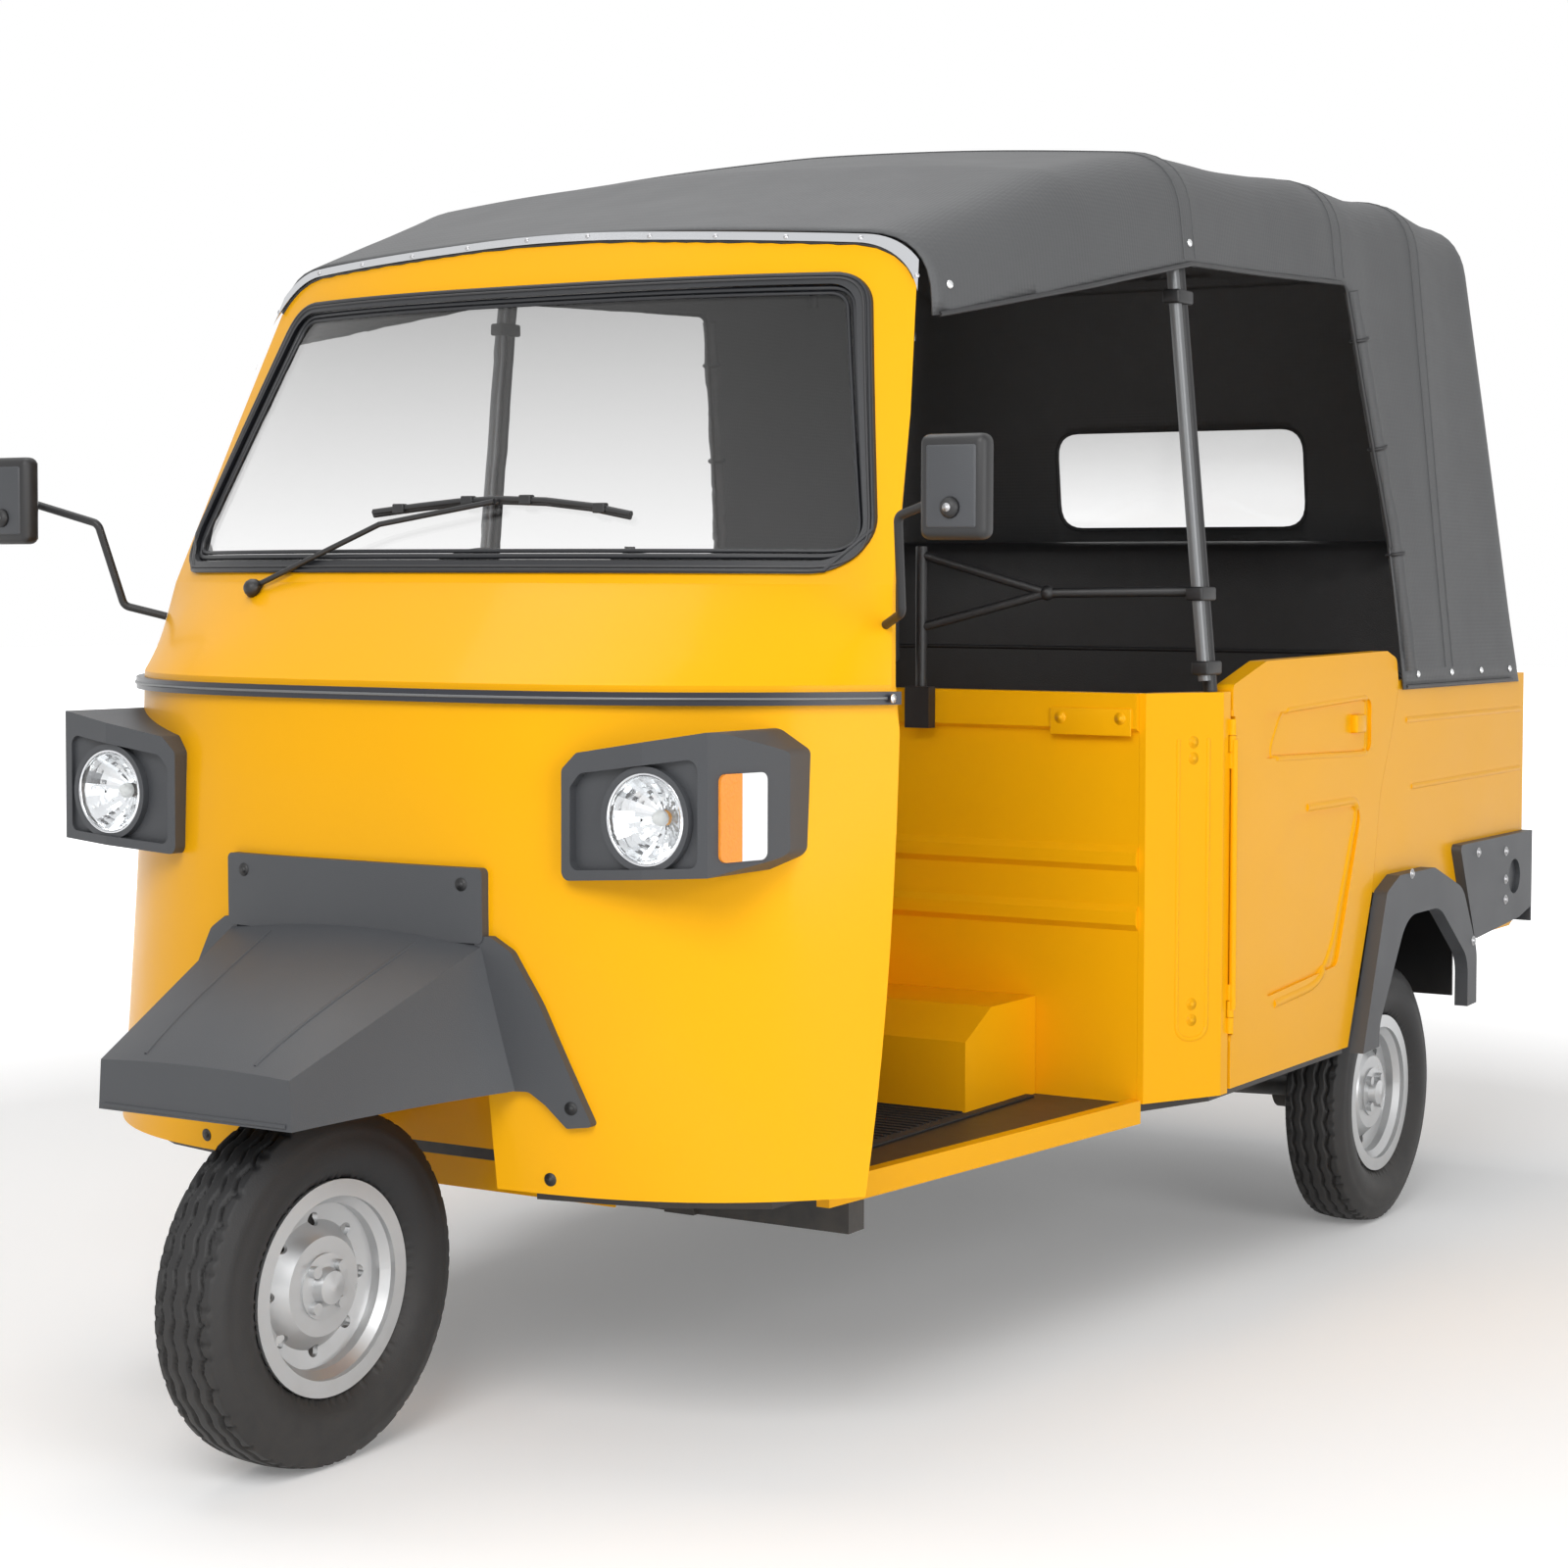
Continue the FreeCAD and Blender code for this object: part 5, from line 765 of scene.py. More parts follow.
def hood_tail(z):
    """Rear wall's place at a height: it leans back towards its lower edge."""
    top, low_z = HOOD_ROWS[-1], HOOD_LOW.z
    low = HOOD_HIGH.y - FRONT_AXLE
    return top[0] + (low - top[0]) * (top[2] - z) / (top[2] - low_z)


def bow_swell(y):
    """Stand of the fabric over the bows and its dip between them."""
    marks = (HOOD_ROWS[0][0],) + BOW_PLACES + (HOOD_ROWS[-1][0],)
    dip = 0.0
    for before, after in zip(marks, marks[1:]):
        if before < y < after:
            share = math.sin((y - before) / (after - before) * math.pi) ** 2
            dip = sizes().hood_sag * share * min(1.0, (after - before) / 0.5)
    ridge = max(math.exp(-((y - place) / 0.016) ** 2) for place in BOW_PLACES)
    return 0.0025 * ridge - dip


def hood_ripple(x, y, z):
    """Soft unevenness of stretched fabric."""
    broad = noise.noise(Vector((x * 1.6, y * 2.6, z * 1.4)))
    fine = noise.noise(Vector((x * 4.0, y * 9.0, z * 2.2)) + Vector((7, 3, 1)))
    return 0.0035 * broad + 0.0016 * fine


def hood_point(x, y, z, out_x, out_z):
    """Place of the fabric: the plain surface moved along its outward direction."""
    drop = max(0.0, min(1.0, (z - 1.02) / 0.5))
    fade = min(1.0, (z - RIPPLE_START) / RIPPLE_REACH)
    move = bow_swell(y) * (0.35 + 0.65 * drop) + hood_ripple(x, y, z) * fade
    return x + out_x * move, y + FRONT_AXLE, z + out_z * move


def spread(y, end, z):
    """Place of a row behind the last bow, where the leaning rear wall spreads the rows."""
    share = max(0.0, (y - BOW_PLACES[-1]) / (end - BOW_PLACES[-1]))
    return y + share * (hood_tail(z) - HOOD_CORNER - end)


def swept(x, y):
    """Place of a row near the front, where the hood follows the curve of the rail."""
    share = max(0.0, (HOOD_ROWS[1][0] - y) / (HOOD_ROWS[1][0] - HOOD_ROWS[0][0]))
    return y + FRONT_SWEEP * share * min(1.0, abs(x) / HOOD_ROWS[0][1]) ** 3


def hood_skin():
    """Outer face of the hood: the sides and roof, the rounded rear corner and the rear wall."""
    start, end = HOOD_ROWS[0][0], HOOD_ROWS[-1][0] - HOOD_CORNER
    count = SIDE_STEPS + SHOULDER_STEPS + ROOF_STEPS + 1
    rows = []
    for step in range(ROW_STEPS):
        y = start + (end - start) * step / ROW_STEPS
        rows.append(skin_row(hood_section(y), lambda x, z, y=y: swept(x, spread(y, end, z)), 0.0))
    last = hood_section(HOOD_ROWS[-1][0] - HOOD_CORNER)
    for step in range(9):
        turn = step / 8 * math.pi / 2
        inset = HOOD_CORNER * (1 - math.cos(turn))
        rows.append(skin_row(last, lambda x, z, t=turn: hood_tail(z) - HOOD_CORNER * (1 - math.sin(t)),
                             inset))
    vertices = [point for row in rows for point in row]
    wide = count * 2 - 1
    faces = []
    for row in range(len(rows) - 1):
        for column in range(wide - 1):
            first = row * wide + column
            faces.append((first, first + 1, first + wide + 1, first + wide))
    base = len(vertices) - wide
    index = {}
    for column in range(count - 1):
        left, right = Vector(vertices[base + column]), Vector(vertices[base + wide - 1 - column])
        for step in range(1, REAR_STEPS):
            point = left.lerp(right, step / REAR_STEPS)
            wave = hood_ripple(point.x, 2.7, point.z) * min(1.0, step / 5, (REAR_STEPS - step) / 5)
            point.y += wave * min(1.0, (point.z - RIPPLE_START) / RIPPLE_REACH)
            index[column, step] = len(vertices)
            vertices.append(point)
        index[column, 0], index[column, REAR_STEPS] = base + column, base + wide - 1 - column
    for column in range(count - 2):
        for step in range(REAR_STEPS):
            faces.append((index[column, step], index[column, step + 1], index[column + 1, step + 1],
                          index[column + 1, step]))
    top = base + count - 1
    for step in range(REAR_STEPS):
        faces.append((index[count - 2, step], index[count - 2, step + 1], top))
    return mesh_from(vertices, faces, "hood")


def skin_row(section, tail, inset):
    """One row of the hood's grid from the left lower edge over the crown to the right one."""
    points = []
    for place, (x, z) in enumerate(section):
        before, after = section[max(0, place - 1)], section[min(len(section) - 1, place + 1)]
        along = (Vector(after) - Vector(before)).normalized()
        out_x, out_z = along.y, -along.x
        if place == len(section) - 1:
            out_x, out_z = 0.0, 1.0
        y = tail(x, z)
        points.append(hood_point(x - out_x * inset, y, z - out_z * inset, out_x, out_z))
    mirrored = [(-x, y, z) for x, y, z in reversed(points[:-1])]
    return points + mirrored


def rounded_outline(corners, steps=6):
    """Points of a closed outline whose corners are (a, b, rounding)."""
    points = []
    for place, (a, b, rounding) in enumerate(corners):
        corner = Vector((a, b))
        before = Vector(corners[place - 1][:2])
        after = Vector(corners[(place + 1) % len(corners)][:2])
        if rounding <= 0:
            points.append(corner)
            continue
        first, second = (before - corner).normalized(), (after - corner).normalized()
        reach = min(rounding / math.tan(first.angle(second) / 2), (before - corner).length / 2,
                    (after - corner).length / 2)
        for step in range(steps + 1):
            t = step / steps
            start, end = corner + first * reach, corner + second * reach
            points.append(start * (1 - t) ** 2 + corner * 2 * t * (1 - t) + end * t ** 2)
    return points


def cutter(outline, place, low, high):
    """Prism of an outline; place turns (a, b, depth) into a point."""
    count = len(outline)
    vertices = [place(a, b, low) for a, b in outline] + [place(a, b, high) for a, b in outline]
    faces = [tuple(range(count)), tuple(range(count, count * 2))]
    faces += [(i, (i + 1) % count, count + (i + 1) % count, count + i) for i in range(count)]
    return clean(mesh_from(vertices, faces))


def cut_away(mesh, tool_mesh):
    """The mesh less what lies inside the tool's mesh."""
    tool = scratch(tool_mesh)
    result = worked(mesh, ("BOOLEAN", {"object": tool, "operation": "DIFFERENCE", "solver": "EXACT"}))
    bpy.data.objects.remove(tool)
    return result


def window_corners(grow):
    """Outline of the rear window, grown by a width."""
    half, low, top = WINDOW_HALF + grow, WINDOW_LOW - grow, WINDOW_TOP + grow
    corner = WINDOW_CORNER + grow
    return rounded_outline([(-half, low, corner), (half, low, corner), (half, top, corner),
                            (-half, top, corner)])


def face_tree(mesh):
    """Search tree of a mesh's faces, for rays."""
    shape = bmesh.new()
    shape.from_mesh(mesh)
    tree = BVHTree.FromBMesh(shape)
    shape.free()
    return tree


class RICKSHAW_OT_hood(bpy.types.Operator):
    """Coated fabric hood over the bows, with its lining, window, piping and studs"""
    bl_idname = "rickshaw.hood"
    bl_label = "Hood"

    def execute(self, context):
        skin = clean(hood_skin())
        tree = face_tree(skin)
        gauge = sizes().hood_gauge
        wall = worked(skin, ("SOLIDIFY", {"thickness": gauge, "offset": -1.0, "material_offset": 1,
                                          "material_offset_rim": 0}))
        entry = rounded_outline([(y + FRONT_AXLE, z, rounding) for y, z, rounding in ENTRY], 10)
        wall = cut_away(wall, cutter(entry, lambda a, b, depth: (depth, a, b), -2.0, 2.0))
        window = window_corners(0.0)
        wall = cut_away(wall, cutter(window, lambda a, b, depth: (a, depth, b), 1.2, 2.0))
        hood = add_piece("hood_fabric", wall, ("Hood fabric", "Hood lining"), "chassis")
        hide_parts("canopy")
        trims = self.trims(tree, entry)
        return {"FINISHED"}

    def trims(self, tree, entry):
        """Piping round the entries and the window, seams beside the bows, and the clear sheet."""
        pieces = []
        lines = []
        edge = [Vector(point) for point in entry if point[1] > 0.99]
        for side in (-1, 1):
            dense = densely([(side * 1.5, a, b) for a, b in edge], 0.03)
            lines.append(tube(laid(tree, dense, (-side, 0, 0), 0.0005), PIPING_RADIUS, sides=8))
            hem = [(side * 1.5, FRONT_AXLE + 2.04 + step * HEM_PITCH, HEM_Z) for step in range(20)]
            lines.append(tube(laid(tree, hem, (-side, 0, 0)), HEM_RADIUS, sides=8))
        hem = [(-0.66 + step * HEM_PITCH, 2.0, HEM_Z) for step in range(45)]
        lines.append(tube(laid(tree, hem, (0, -1, 0)), HEM_RADIUS, sides=8))
        pieces.append(add_piece("hood_piping", joined(lines), "Piping", "chassis"))
        seams = [self.seam(tree, bow + shift) for bow in BOW_PLACES
                 for shift in (-SEAM_SHIFT, SEAM_SHIFT)]
        pieces.append(add_piece("hood_seams", joined(seams), "Hood fabric", "chassis"))
        ring = laid(tree, [(a, 2.0, b) for a, b in window_corners(0.006)], (0, -1, 0), 0.0008)
        border = tube(ring, 0.005, closed=True, sides=8)
        pieces.append(add_piece("window_border", border, "Piping", "chassis"))
        pieces.append(self.window_sheet(tree))
        pieces += self.flap_rolls(tree)
        pieces.append(self.studs(tree))
        return pieces

    def flap_rolls(self, tree):
        """Side curtains rolled up along the entries' rear edges, and the straps that tie them."""
        rolls, straps = [], []
        for side in (-1, 1):
            path = densely([(side * 1.5, y + FRONT_AXLE, z) for y, z in ROLL_LINE], 0.022)
            line = on_face(tree, path, (-side, 0, 0), 0.004)
            swell = [1.0 + 0.30 * noise.noise(Vector((side, point.z * 16.0, 2.0))) for point, _ in line]
            rolls.append(tube([point for point, _ in line], ROLL_RADIUS, sides=16, swell=swell))
            for place in range(4, len(line) - 3, 9):
                centre, facing = line[place]
                along = (line[place + 1][0] - line[place - 1][0]).normalized()
                across = along.cross(facing)
                ring = circle(centre, facing, across, STRAP_RADIUS, 18)
                straps.append(tube(ring, 0.0035, closed=True, sides=8))
        return [add_piece("flap_rolls", joined(rolls), "Hood fabric", "chassis"),
                add_piece("flap_straps", joined(straps), "Piping", "chassis")]

    def studs(self, tree):
        """Bright studs that hold the hood's corners and lower edge."""
        pairs = []
        for side in (-1, 1):
            pairs += on_face(tree, [(side * 1.5, y + FRONT_AXLE, z) for y, z in STUD_PLACES],
                             (-side, 0, 0))
        pairs += on_face(tree, [(x, 2.0, REAR_STUD_Z) for x in REAR_STUDS], (0, -1, 0))
        heads = [dome(point, facing, sizes().stud_radius, STUD_HEIGHT) for point, facing in pairs]
        return add_piece("hood_studs", joined(heads), "Bright steel", "chassis")

    def seam(self, tree, y):
        """Thin welted seam across the hood beside a bow."""
        runs = [[]]
        for x, z in hood_section(y):
            aim = Vector((-x, 0, 1.3 - z)).normalized()
            place = Vector((x, y + FRONT_AXLE, z))
            hit = tree.ray_cast(place - aim * 0.1, aim)[0]
            if hit is not None and (hit - place).length < 0.05 and not in_entry(y, hit.z):
                runs[-1].append(hit - aim * 0.0003)
            elif runs[-1]:
                runs.append([])
        top = runs.pop()
        runs = [run for run in runs if len(run) > 2]
        runs += [[Vector((-p.x, p.y, p.z)) for p in run] for run in runs]
        runs.append(top + [Vector((-p.x, p.y, p.z)) for p in reversed(top[:-1])])
        return joined([tube(run, 0.0016, sides=6) for run in runs])

    def window_sheet(self, tree):
        """Clear sheet of the rear window, laid just inside the hood's face."""
        outline = laid(tree, [(a, 2.0, b) for a, b in window_corners(0.004)], (0, -1, 0), -0.0012)
        middle = sum(outline, Vector()) / len(outline)
        faces = [(place, (place + 1) % len(outline), len(outline)) for place in range(len(outline))]
        sheet = mesh_from(outline + [middle], faces)
        sheet = worked(sheet, ("SOLIDIFY", {"thickness": 0.0012, "offset": 0.0}))
        return add_piece("window_sheet", sheet, "Clear sheet", "chassis", smooth=False)


def in_entry(y, z):
    """Whether a place on the side lies within the entry."""
    outline = [Vector(corner[:2]) for corner in ENTRY]
    inside = False
    for first, second in zip(outline, outline[1:] + outline[:1]):
        if (first.y > z) != (second.y > z):
            if y < first.x + (z - first.y) / (second.y - first.y) * (second.x - first.x):
                inside = not inside
    return inside


def densely(points, pitch):
    """Points of a line, with more put in so that none are further apart than pitch."""
    result = []
    for first, second in zip(points, points[1:]):
        first, second = Vector(first), Vector(second)
        count = max(1, math.ceil((second - first).length / pitch))
        result += [first.lerp(second, step / count) for step in range(count)]
    return result + [Vector(points[-1])]


# Repeats: heads, stitches and ribs that node trees set along a path

TREES = {}


def tree_with(name, inputs):
    """Empty geometry tree with named inputs, and its start and end nodes."""
    tree = bpy.data.node_groups.new(name, "GeometryNodeTree")
    tree.interface.new_socket(name="Geometry", in_out="INPUT", socket_type="NodeSocketGeometry")
    for label, kind, default in inputs:
        socket = tree.interface.new_socket(name=label, in_out="INPUT", socket_type=kind)
        if default is not None:
            socket.default_value = default
    tree.interface.new_socket(name="Geometry", in_out="OUTPUT", socket_type="NodeSocketGeometry")
    return tree, tree.nodes.new("NodeGroupInput"), tree.nodes.new("NodeGroupOutput")


def facing_turn(tree, axis, vector):
    """Turn that points an axis of an instance along a vector field."""
    align = tree.nodes.new("FunctionNodeAlignRotationToVector")
    align.axis = axis
    tree.links.new(vector, align.inputs["Vector"])
    return align.outputs["Rotation"]


def stored_facing(tree):
    """Facing that the carrier's points store."""
    node = tree.nodes.new("GeometryNodeInputNamedAttribute")
    node.data_type = "FLOAT_VECTOR"
    node.inputs["Name"].default_value = "facing"
    return node.outputs["Attribute"]


def paced(tree, start):
    """Points along the path, one Pitch apart."""
    curve = tree.nodes.new("GeometryNodeMeshToCurve")
    pace = tree.nodes.new("GeometryNodeResampleCurve")
    pace.mode = "LENGTH"
    tree.links.new(start.outputs["Geometry"], curve.inputs["Mesh"])
    tree.links.new(curve.outputs["Curve"], pace.inputs["Curve"])
    tree.links.new(start.outputs["Pitch"], pace.inputs["Length"])
    return pace.outputs["Curve"]


def placed_and_painted(tree, start, end, points, shape, turn):
    """Set the shape on every point, make it real and give it its material."""
    nodes, links = tree.nodes, tree.links
    place = nodes.new("GeometryNodeInstanceOnPoints")
    real = nodes.new("GeometryNodeRealizeInstances")
    paint = nodes.new("GeometryNodeSetMaterial")
    links.new(points, place.inputs["Points"])
    links.new(shape, place.inputs["Instance"])
    links.new(turn, place.inputs["Rotation"])
    links.new(place.outputs["Instances"], real.inputs["Geometry"])
    links.new(real.outputs["Geometry"], paint.inputs["Geometry"])
    links.new(start.outputs["Material"], paint.inputs["Material"])
    links.new(paint.outputs["Geometry"], end.inputs["Geometry"])


def joined_sizes(tree, x, y, z):
    """Vector made of three sockets."""
    node = tree.nodes.new("ShaderNodeCombineXYZ")
    for socket, value in zip(node.inputs, (x, y, z)):
        tree.links.new(value, socket)
    return node.outputs[0]


def scaled_ball(tree, segments, rings, radius, reach):
    """Ball of a radius, as long along Z as reach from its middle."""
    ball = tree.nodes.new("GeometryNodeMeshUVSphere")
    ball.inputs["Segments"].default_value = segments
    ball.inputs["Rings"].default_value = rings
    ball.inputs["Radius"].default_value = 1.0
    squash = tree.nodes.new("GeometryNodeTransform")
    tree.links.new(ball.outputs["Mesh"], squash.inputs["Geometry"])
    tree.links.new(joined_sizes(tree, radius, radius, reach), squash.inputs["Scale"])
    return squash.outputs["Geometry"]


def make_rivet_tree():
    """Round heads, one Pitch apart along a path, that stand on the face that the path lies on."""
    tree, start, end = tree_with("Rivet row", [
        ("Pitch", "NodeSocketFloat", 0.1), ("Radius", "NodeSocketFloat", 0.004),
        ("Height", "NodeSocketFloat", 0.002), ("Material", "NodeSocketMaterial", None)])
    head = scaled_ball(tree, 14, 8, start.outputs["Radius"], start.outputs["Height"])
    placed_and_painted(tree, start, end, paced(tree, start), head,
                       facing_turn(tree, "Z", stored_facing(tree)))
    return tree


def make_bolt_tree():
    """Hexagon bolts with their washers, one on every point of the carrier."""
    tree, start, end = tree_with("Bolts", [
        ("Radius", "NodeSocketFloat", 0.006), ("Height", "NodeSocketFloat", 0.004),
        ("Washer", "NodeSocketFloat", 0.010), ("Washer gauge", "NodeSocketFloat", 0.0015),
        ("Material", "NodeSocketMaterial", None)])
    parts = tree.nodes.new("GeometryNodeJoinGeometry")
    for sides, radius, height in ((6, "Radius", "Height"), (20, "Washer", "Washer gauge")):
        drum = tree.nodes.new("GeometryNodeMeshCylinder")
        drum.inputs["Vertices"].default_value = sides
        tree.links.new(start.outputs[radius], drum.inputs["Radius"])
        tree.links.new(start.outputs[height], drum.inputs["Depth"])
        tree.links.new(drum.outputs["Mesh"], parts.inputs["Geometry"])
    points = tree.nodes.new("GeometryNodeMeshToPoints")
    tree.links.new(start.outputs["Geometry"], points.inputs["Mesh"])
    placed_and_painted(tree, start, end, points.outputs["Points"], parts.outputs["Geometry"],
                       facing_turn(tree, "Z", stored_facing(tree)))
    return tree


def make_stitch_tree():
    """Short threads, one Pitch apart, that lie along a path."""
    tree, start, end = tree_with("Stitches", [
        ("Pitch", "NodeSocketFloat", 0.008), ("Length", "NodeSocketFloat", 0.005),
        ("Radius", "NodeSocketFloat", 0.0006), ("Material", "NodeSocketMaterial", None)])
    half = math_node(tree, "MULTIPLY", start.outputs["Length"], 0.5)
    thread = scaled_ball(tree, 6, 4, start.outputs["Radius"], half)
    tangent = tree.nodes.new("GeometryNodeInputTangent").outputs["Tangent"]
    placed_and_painted(tree, start, end, paced(tree, start), thread,
                       facing_turn(tree, "Z", tangent))
    return tree


def make_rib_tree():
    """Straight ribs, one Pitch apart along a path, laid across it."""
    tree, start, end = tree_with("Ribs", [
        ("Pitch", "NodeSocketFloat", 0.02), ("Length", "NodeSocketFloat", 0.5),
        ("Width", "NodeSocketFloat", 0.008), ("Height", "NodeSocketFloat", 0.003),
        ("Material", "NodeSocketMaterial", None)])
    bar = tree.nodes.new("GeometryNodeMeshCube")
    size = joined_sizes(tree, start.outputs["Length"], start.outputs["Width"], start.outputs["Height"])
    tree.links.new(size, bar.inputs["Size"])
    placed_and_painted(tree, start, end, paced(tree, start), bar.outputs["Mesh"],
                       facing_turn(tree, "Z", stored_facing(tree)))
    return tree


def make_trees():
    TREES["rivets"] = make_rivet_tree()
    TREES["bolts"] = make_bolt_tree()
    TREES["stitches"] = make_stitch_tree()
    TREES["ribs"] = make_rib_tree()


def repeated(tree_name, paths, material, **values):
    """Mesh that a tree makes along paths, each a list of (point, facing) pairs."""
    vertices, edges, facings = [], [], []
    for path in paths:
        first = len(vertices)
        vertices += [tuple(point) for point, facing in path]
        facings += [component for point, facing in path for component in facing]
        if tree_name != "bolts":
            edges += [(first + step, first + step + 1) for step in range(len(path) - 1)]
    mesh = bpy.data.meshes.new(tree_name)
    mesh.from_pydata(vertices, edges, [])
    mesh.attributes.new("facing", "FLOAT_VECTOR", "POINT").data.foreach_set("vector", facings)
    carrier = scratch(mesh)
    modifier = carrier.modifiers.new("Repeat", "NODES")
    tree = TREES[tree_name]
    modifier.node_group = tree
    values["Material"] = MATERIALS[material]
    for socket in tree.interface.items_tree:
        if socket.in_out == "INPUT" and socket.name in values:
            modifier[socket.identifier] = values[socket.name]
    settle(carrier)
    result = carrier.data
    bpy.data.objects.remove(carrier)
    return result


def surface(node):
    """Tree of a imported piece's faces, for laying fine pieces on it."""
    return face_tree(node_copy(node))


def node_copy(node):
    """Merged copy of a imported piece's mesh."""
    return clean(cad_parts[node].data.copy(), 0.00001)


def on_face(tree, points, towards, stand=0.0):
    """Pairs of a place on a face and the face's direction, met by rays from the points."""
    pairs = []
    for point in points:
        hit, normal, _, _ = tree.ray_cast(Vector(point), Vector(towards))
        if hit is not None:
            facing = normal if normal.dot(Vector(towards)) < 0 else -normal
            pairs.append((hit + facing * stand, facing))
    return pairs


def laid(tree, points, towards, stand=0.0):
    """Points moved along rays onto a face, then out by stand."""
    return [point for point, _ in on_face(tree, points, towards, stand)]


# Seats

PAD_SHRINK = 0.005
CLOTH_FRAMES = 20
SEAT_SEAMS = (-0.345, 0.0, 0.345)
SEAM_DEPTH, SEAM_WIDTH = 0.007, 0.010


def swollen(node, voxel, cap):
    """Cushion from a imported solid: a slightly smaller body that its stuffing swells."""
    low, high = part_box(node)
    middle, half = (low + high) / 2, (high - low) / 2
    mesh = node_copy(node)
    for vertex in mesh.vertices:
        for axis in range(3):
            offset = vertex.co[axis] - middle[axis]
            vertex.co[axis] = middle[axis] + offset * (half[axis] - PAD_SHRINK) / half[axis]
    body = worked(mesh, ("REMESH", {"mode": "VOXEL", "voxel_size": voxel}))
    rest = [vertex.co.copy() for vertex in body.vertices]
    carrier = scratch(body)
    cloth = carrier.modifiers.new("Cloth", "CLOTH")
    cloth.settings.quality = 4
    cloth.settings.use_pressure = True
    cloth.settings.uniform_pressure_force = sizes().cushion_pressure
    cloth.settings.effector_weights.gravity = 0.0
    scene = bpy.context.scene
    for step in range(1, CLOTH_FRAMES + 1):
        scene.frame_set(step)
    settle(carrier)
    mesh = carrier.data
    bpy.data.objects.remove(carrier)
    scene.frame_set(1)
    for vertex, place in zip(mesh.vertices, rest):
        move = vertex.co - place
        if move.length > cap:
            vertex.co = place + move * (cap / move.length)
    return mesh


def pressed(mesh, seams, axis, facing):
    """Sink sewn seams into the face that looks along facing; axis is the one across the seams."""
    normals = [Vector(normal.vector) for normal in mesh.vertex_normals]
    for vertex, normal in zip(mesh.vertices, normals):
        share = max(0.0, normal.dot(facing))
        if share > 0.2:
            near = min(abs(vertex.co[axis] - seam) for seam in seams)
            vertex.co -= facing * SEAM_DEPTH * share * math.exp(-(near / SEAM_WIDTH) ** 2)
    return mesh


class RICKSHAW_OT_seats(bpy.types.Operator):
    """Stuffed seats and backrests with sewn seams, piping and stitches"""
    bl_idname = "rickshaw.seats"
    bl_label = "Seats"

    def execute(self, context):
        up, ahead = Vector((0, 0, 1)), Vector((0, -1, 0))
        for node, voxel, cap, seams, facing in (
                ("driver_seat", 0.006, 0.010, (), up), ("driver_backrest", 0.005, 0.007, (), ahead),
                ("passenger_seat", 0.010, 0.013, SEAT_SEAMS, up),
                ("passenger_backrest", 0.011, 0.013, (), ahead)):
            mesh = swollen(node, voxel, cap)
            mesh = worked(mesh, ("SUBSURF", {"levels": 1, "render_levels": 1}))
            if seams:
                mesh = pressed(mesh, seams, 0, facing)
            pad = add_piece(node + "_cover", mesh, "Seat cover", "chassis")
            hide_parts(node)
            self.sew(node, mesh, seams, facing)
        return {"FINISHED"}

    def sew(self, node, mesh, seams, facing):
        """Piping round the cushion's face and stitches beside its seams."""
        low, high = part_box(node)
        middle = (low + high) / 2
        tree = face_tree(mesh)
        ring = []
        for turn in range(120):
            angle = turn / 120 * math.tau
            out = Vector((math.cos(angle), 0, math.sin(angle))) if facing.y else \
                Vector((math.cos(angle), math.sin(angle), 0))
            level = middle + facing * abs((high - low).dot(facing)) * 0.30
            start = level + Vector([component * size for component, size in zip(out, high - low)])
            hit = tree.ray_cast(start, (level - start).normalized())[0]
            if hit is not None:
                ring.append(hit)
        piping = tube(ring, 0.0045, closed=True, sides=8)
        add_piece(node + "_piping", piping, "Piping", "chassis")
        across = 2 if facing.y else 1
        paths = []
        for seam in seams:
            for shift in (-0.007, 0.007):
                points = []
                for step in range(60):
                    point = middle + facing * 0.5
                    point.x = seam + shift
                    span = (high[across] - low[across]) * (0.06 + 0.88 * step / 59)
                    point[across] = low[across] + span
                    points.append(point)
                paths.append(on_face(tree, points, -facing, 0.0004))
        if paths:
            threads = repeated("stitches", paths, "Thread", Pitch=0.008, Length=0.005, Radius=0.0007)
            add_piece(node + "_stitches", threads, "Thread", "chassis")


# Lamps

LAMP_RADIUS = (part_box("head_lamps")[1].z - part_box("head_lamps")[0].z) / 2
LAMP_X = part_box("head_lamps")[1].x - LAMP_RADIUS
LAMP_Z = (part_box("head_lamps")[1].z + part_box("head_lamps")[0].z) / 2
LAMP_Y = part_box("head_lamps")[0].y
BOWL_DEPTH, BOWL_SECTORS, BOWL_RINGS = 0.048, 36, 9


def turned(profile, centre, sectors=48, wave=None):
    """Surface turned about an axis along Y, from (radius, depth) pairs starting at the middle."""
    vertices, faces = [], []
    for radius, depth in profile:
        for sector in range(sectors):
            angle = sector / sectors * math.tau
            push = wave(radius, sector) if wave else 0.0
            vertices.append((centre.x + math.cos(angle) * radius, centre.y + depth + push,
                             centre.z + math.sin(angle) * radius))
    for ring in range(len(profile) - 1):
        for sector in range(sectors):
            after = (sector + 1) % sectors
            faces.append((ring * sectors + sector, ring * sectors + after,
                          (ring + 1) * sectors + after, (ring + 1) * sectors + sector))
    return vertices, faces


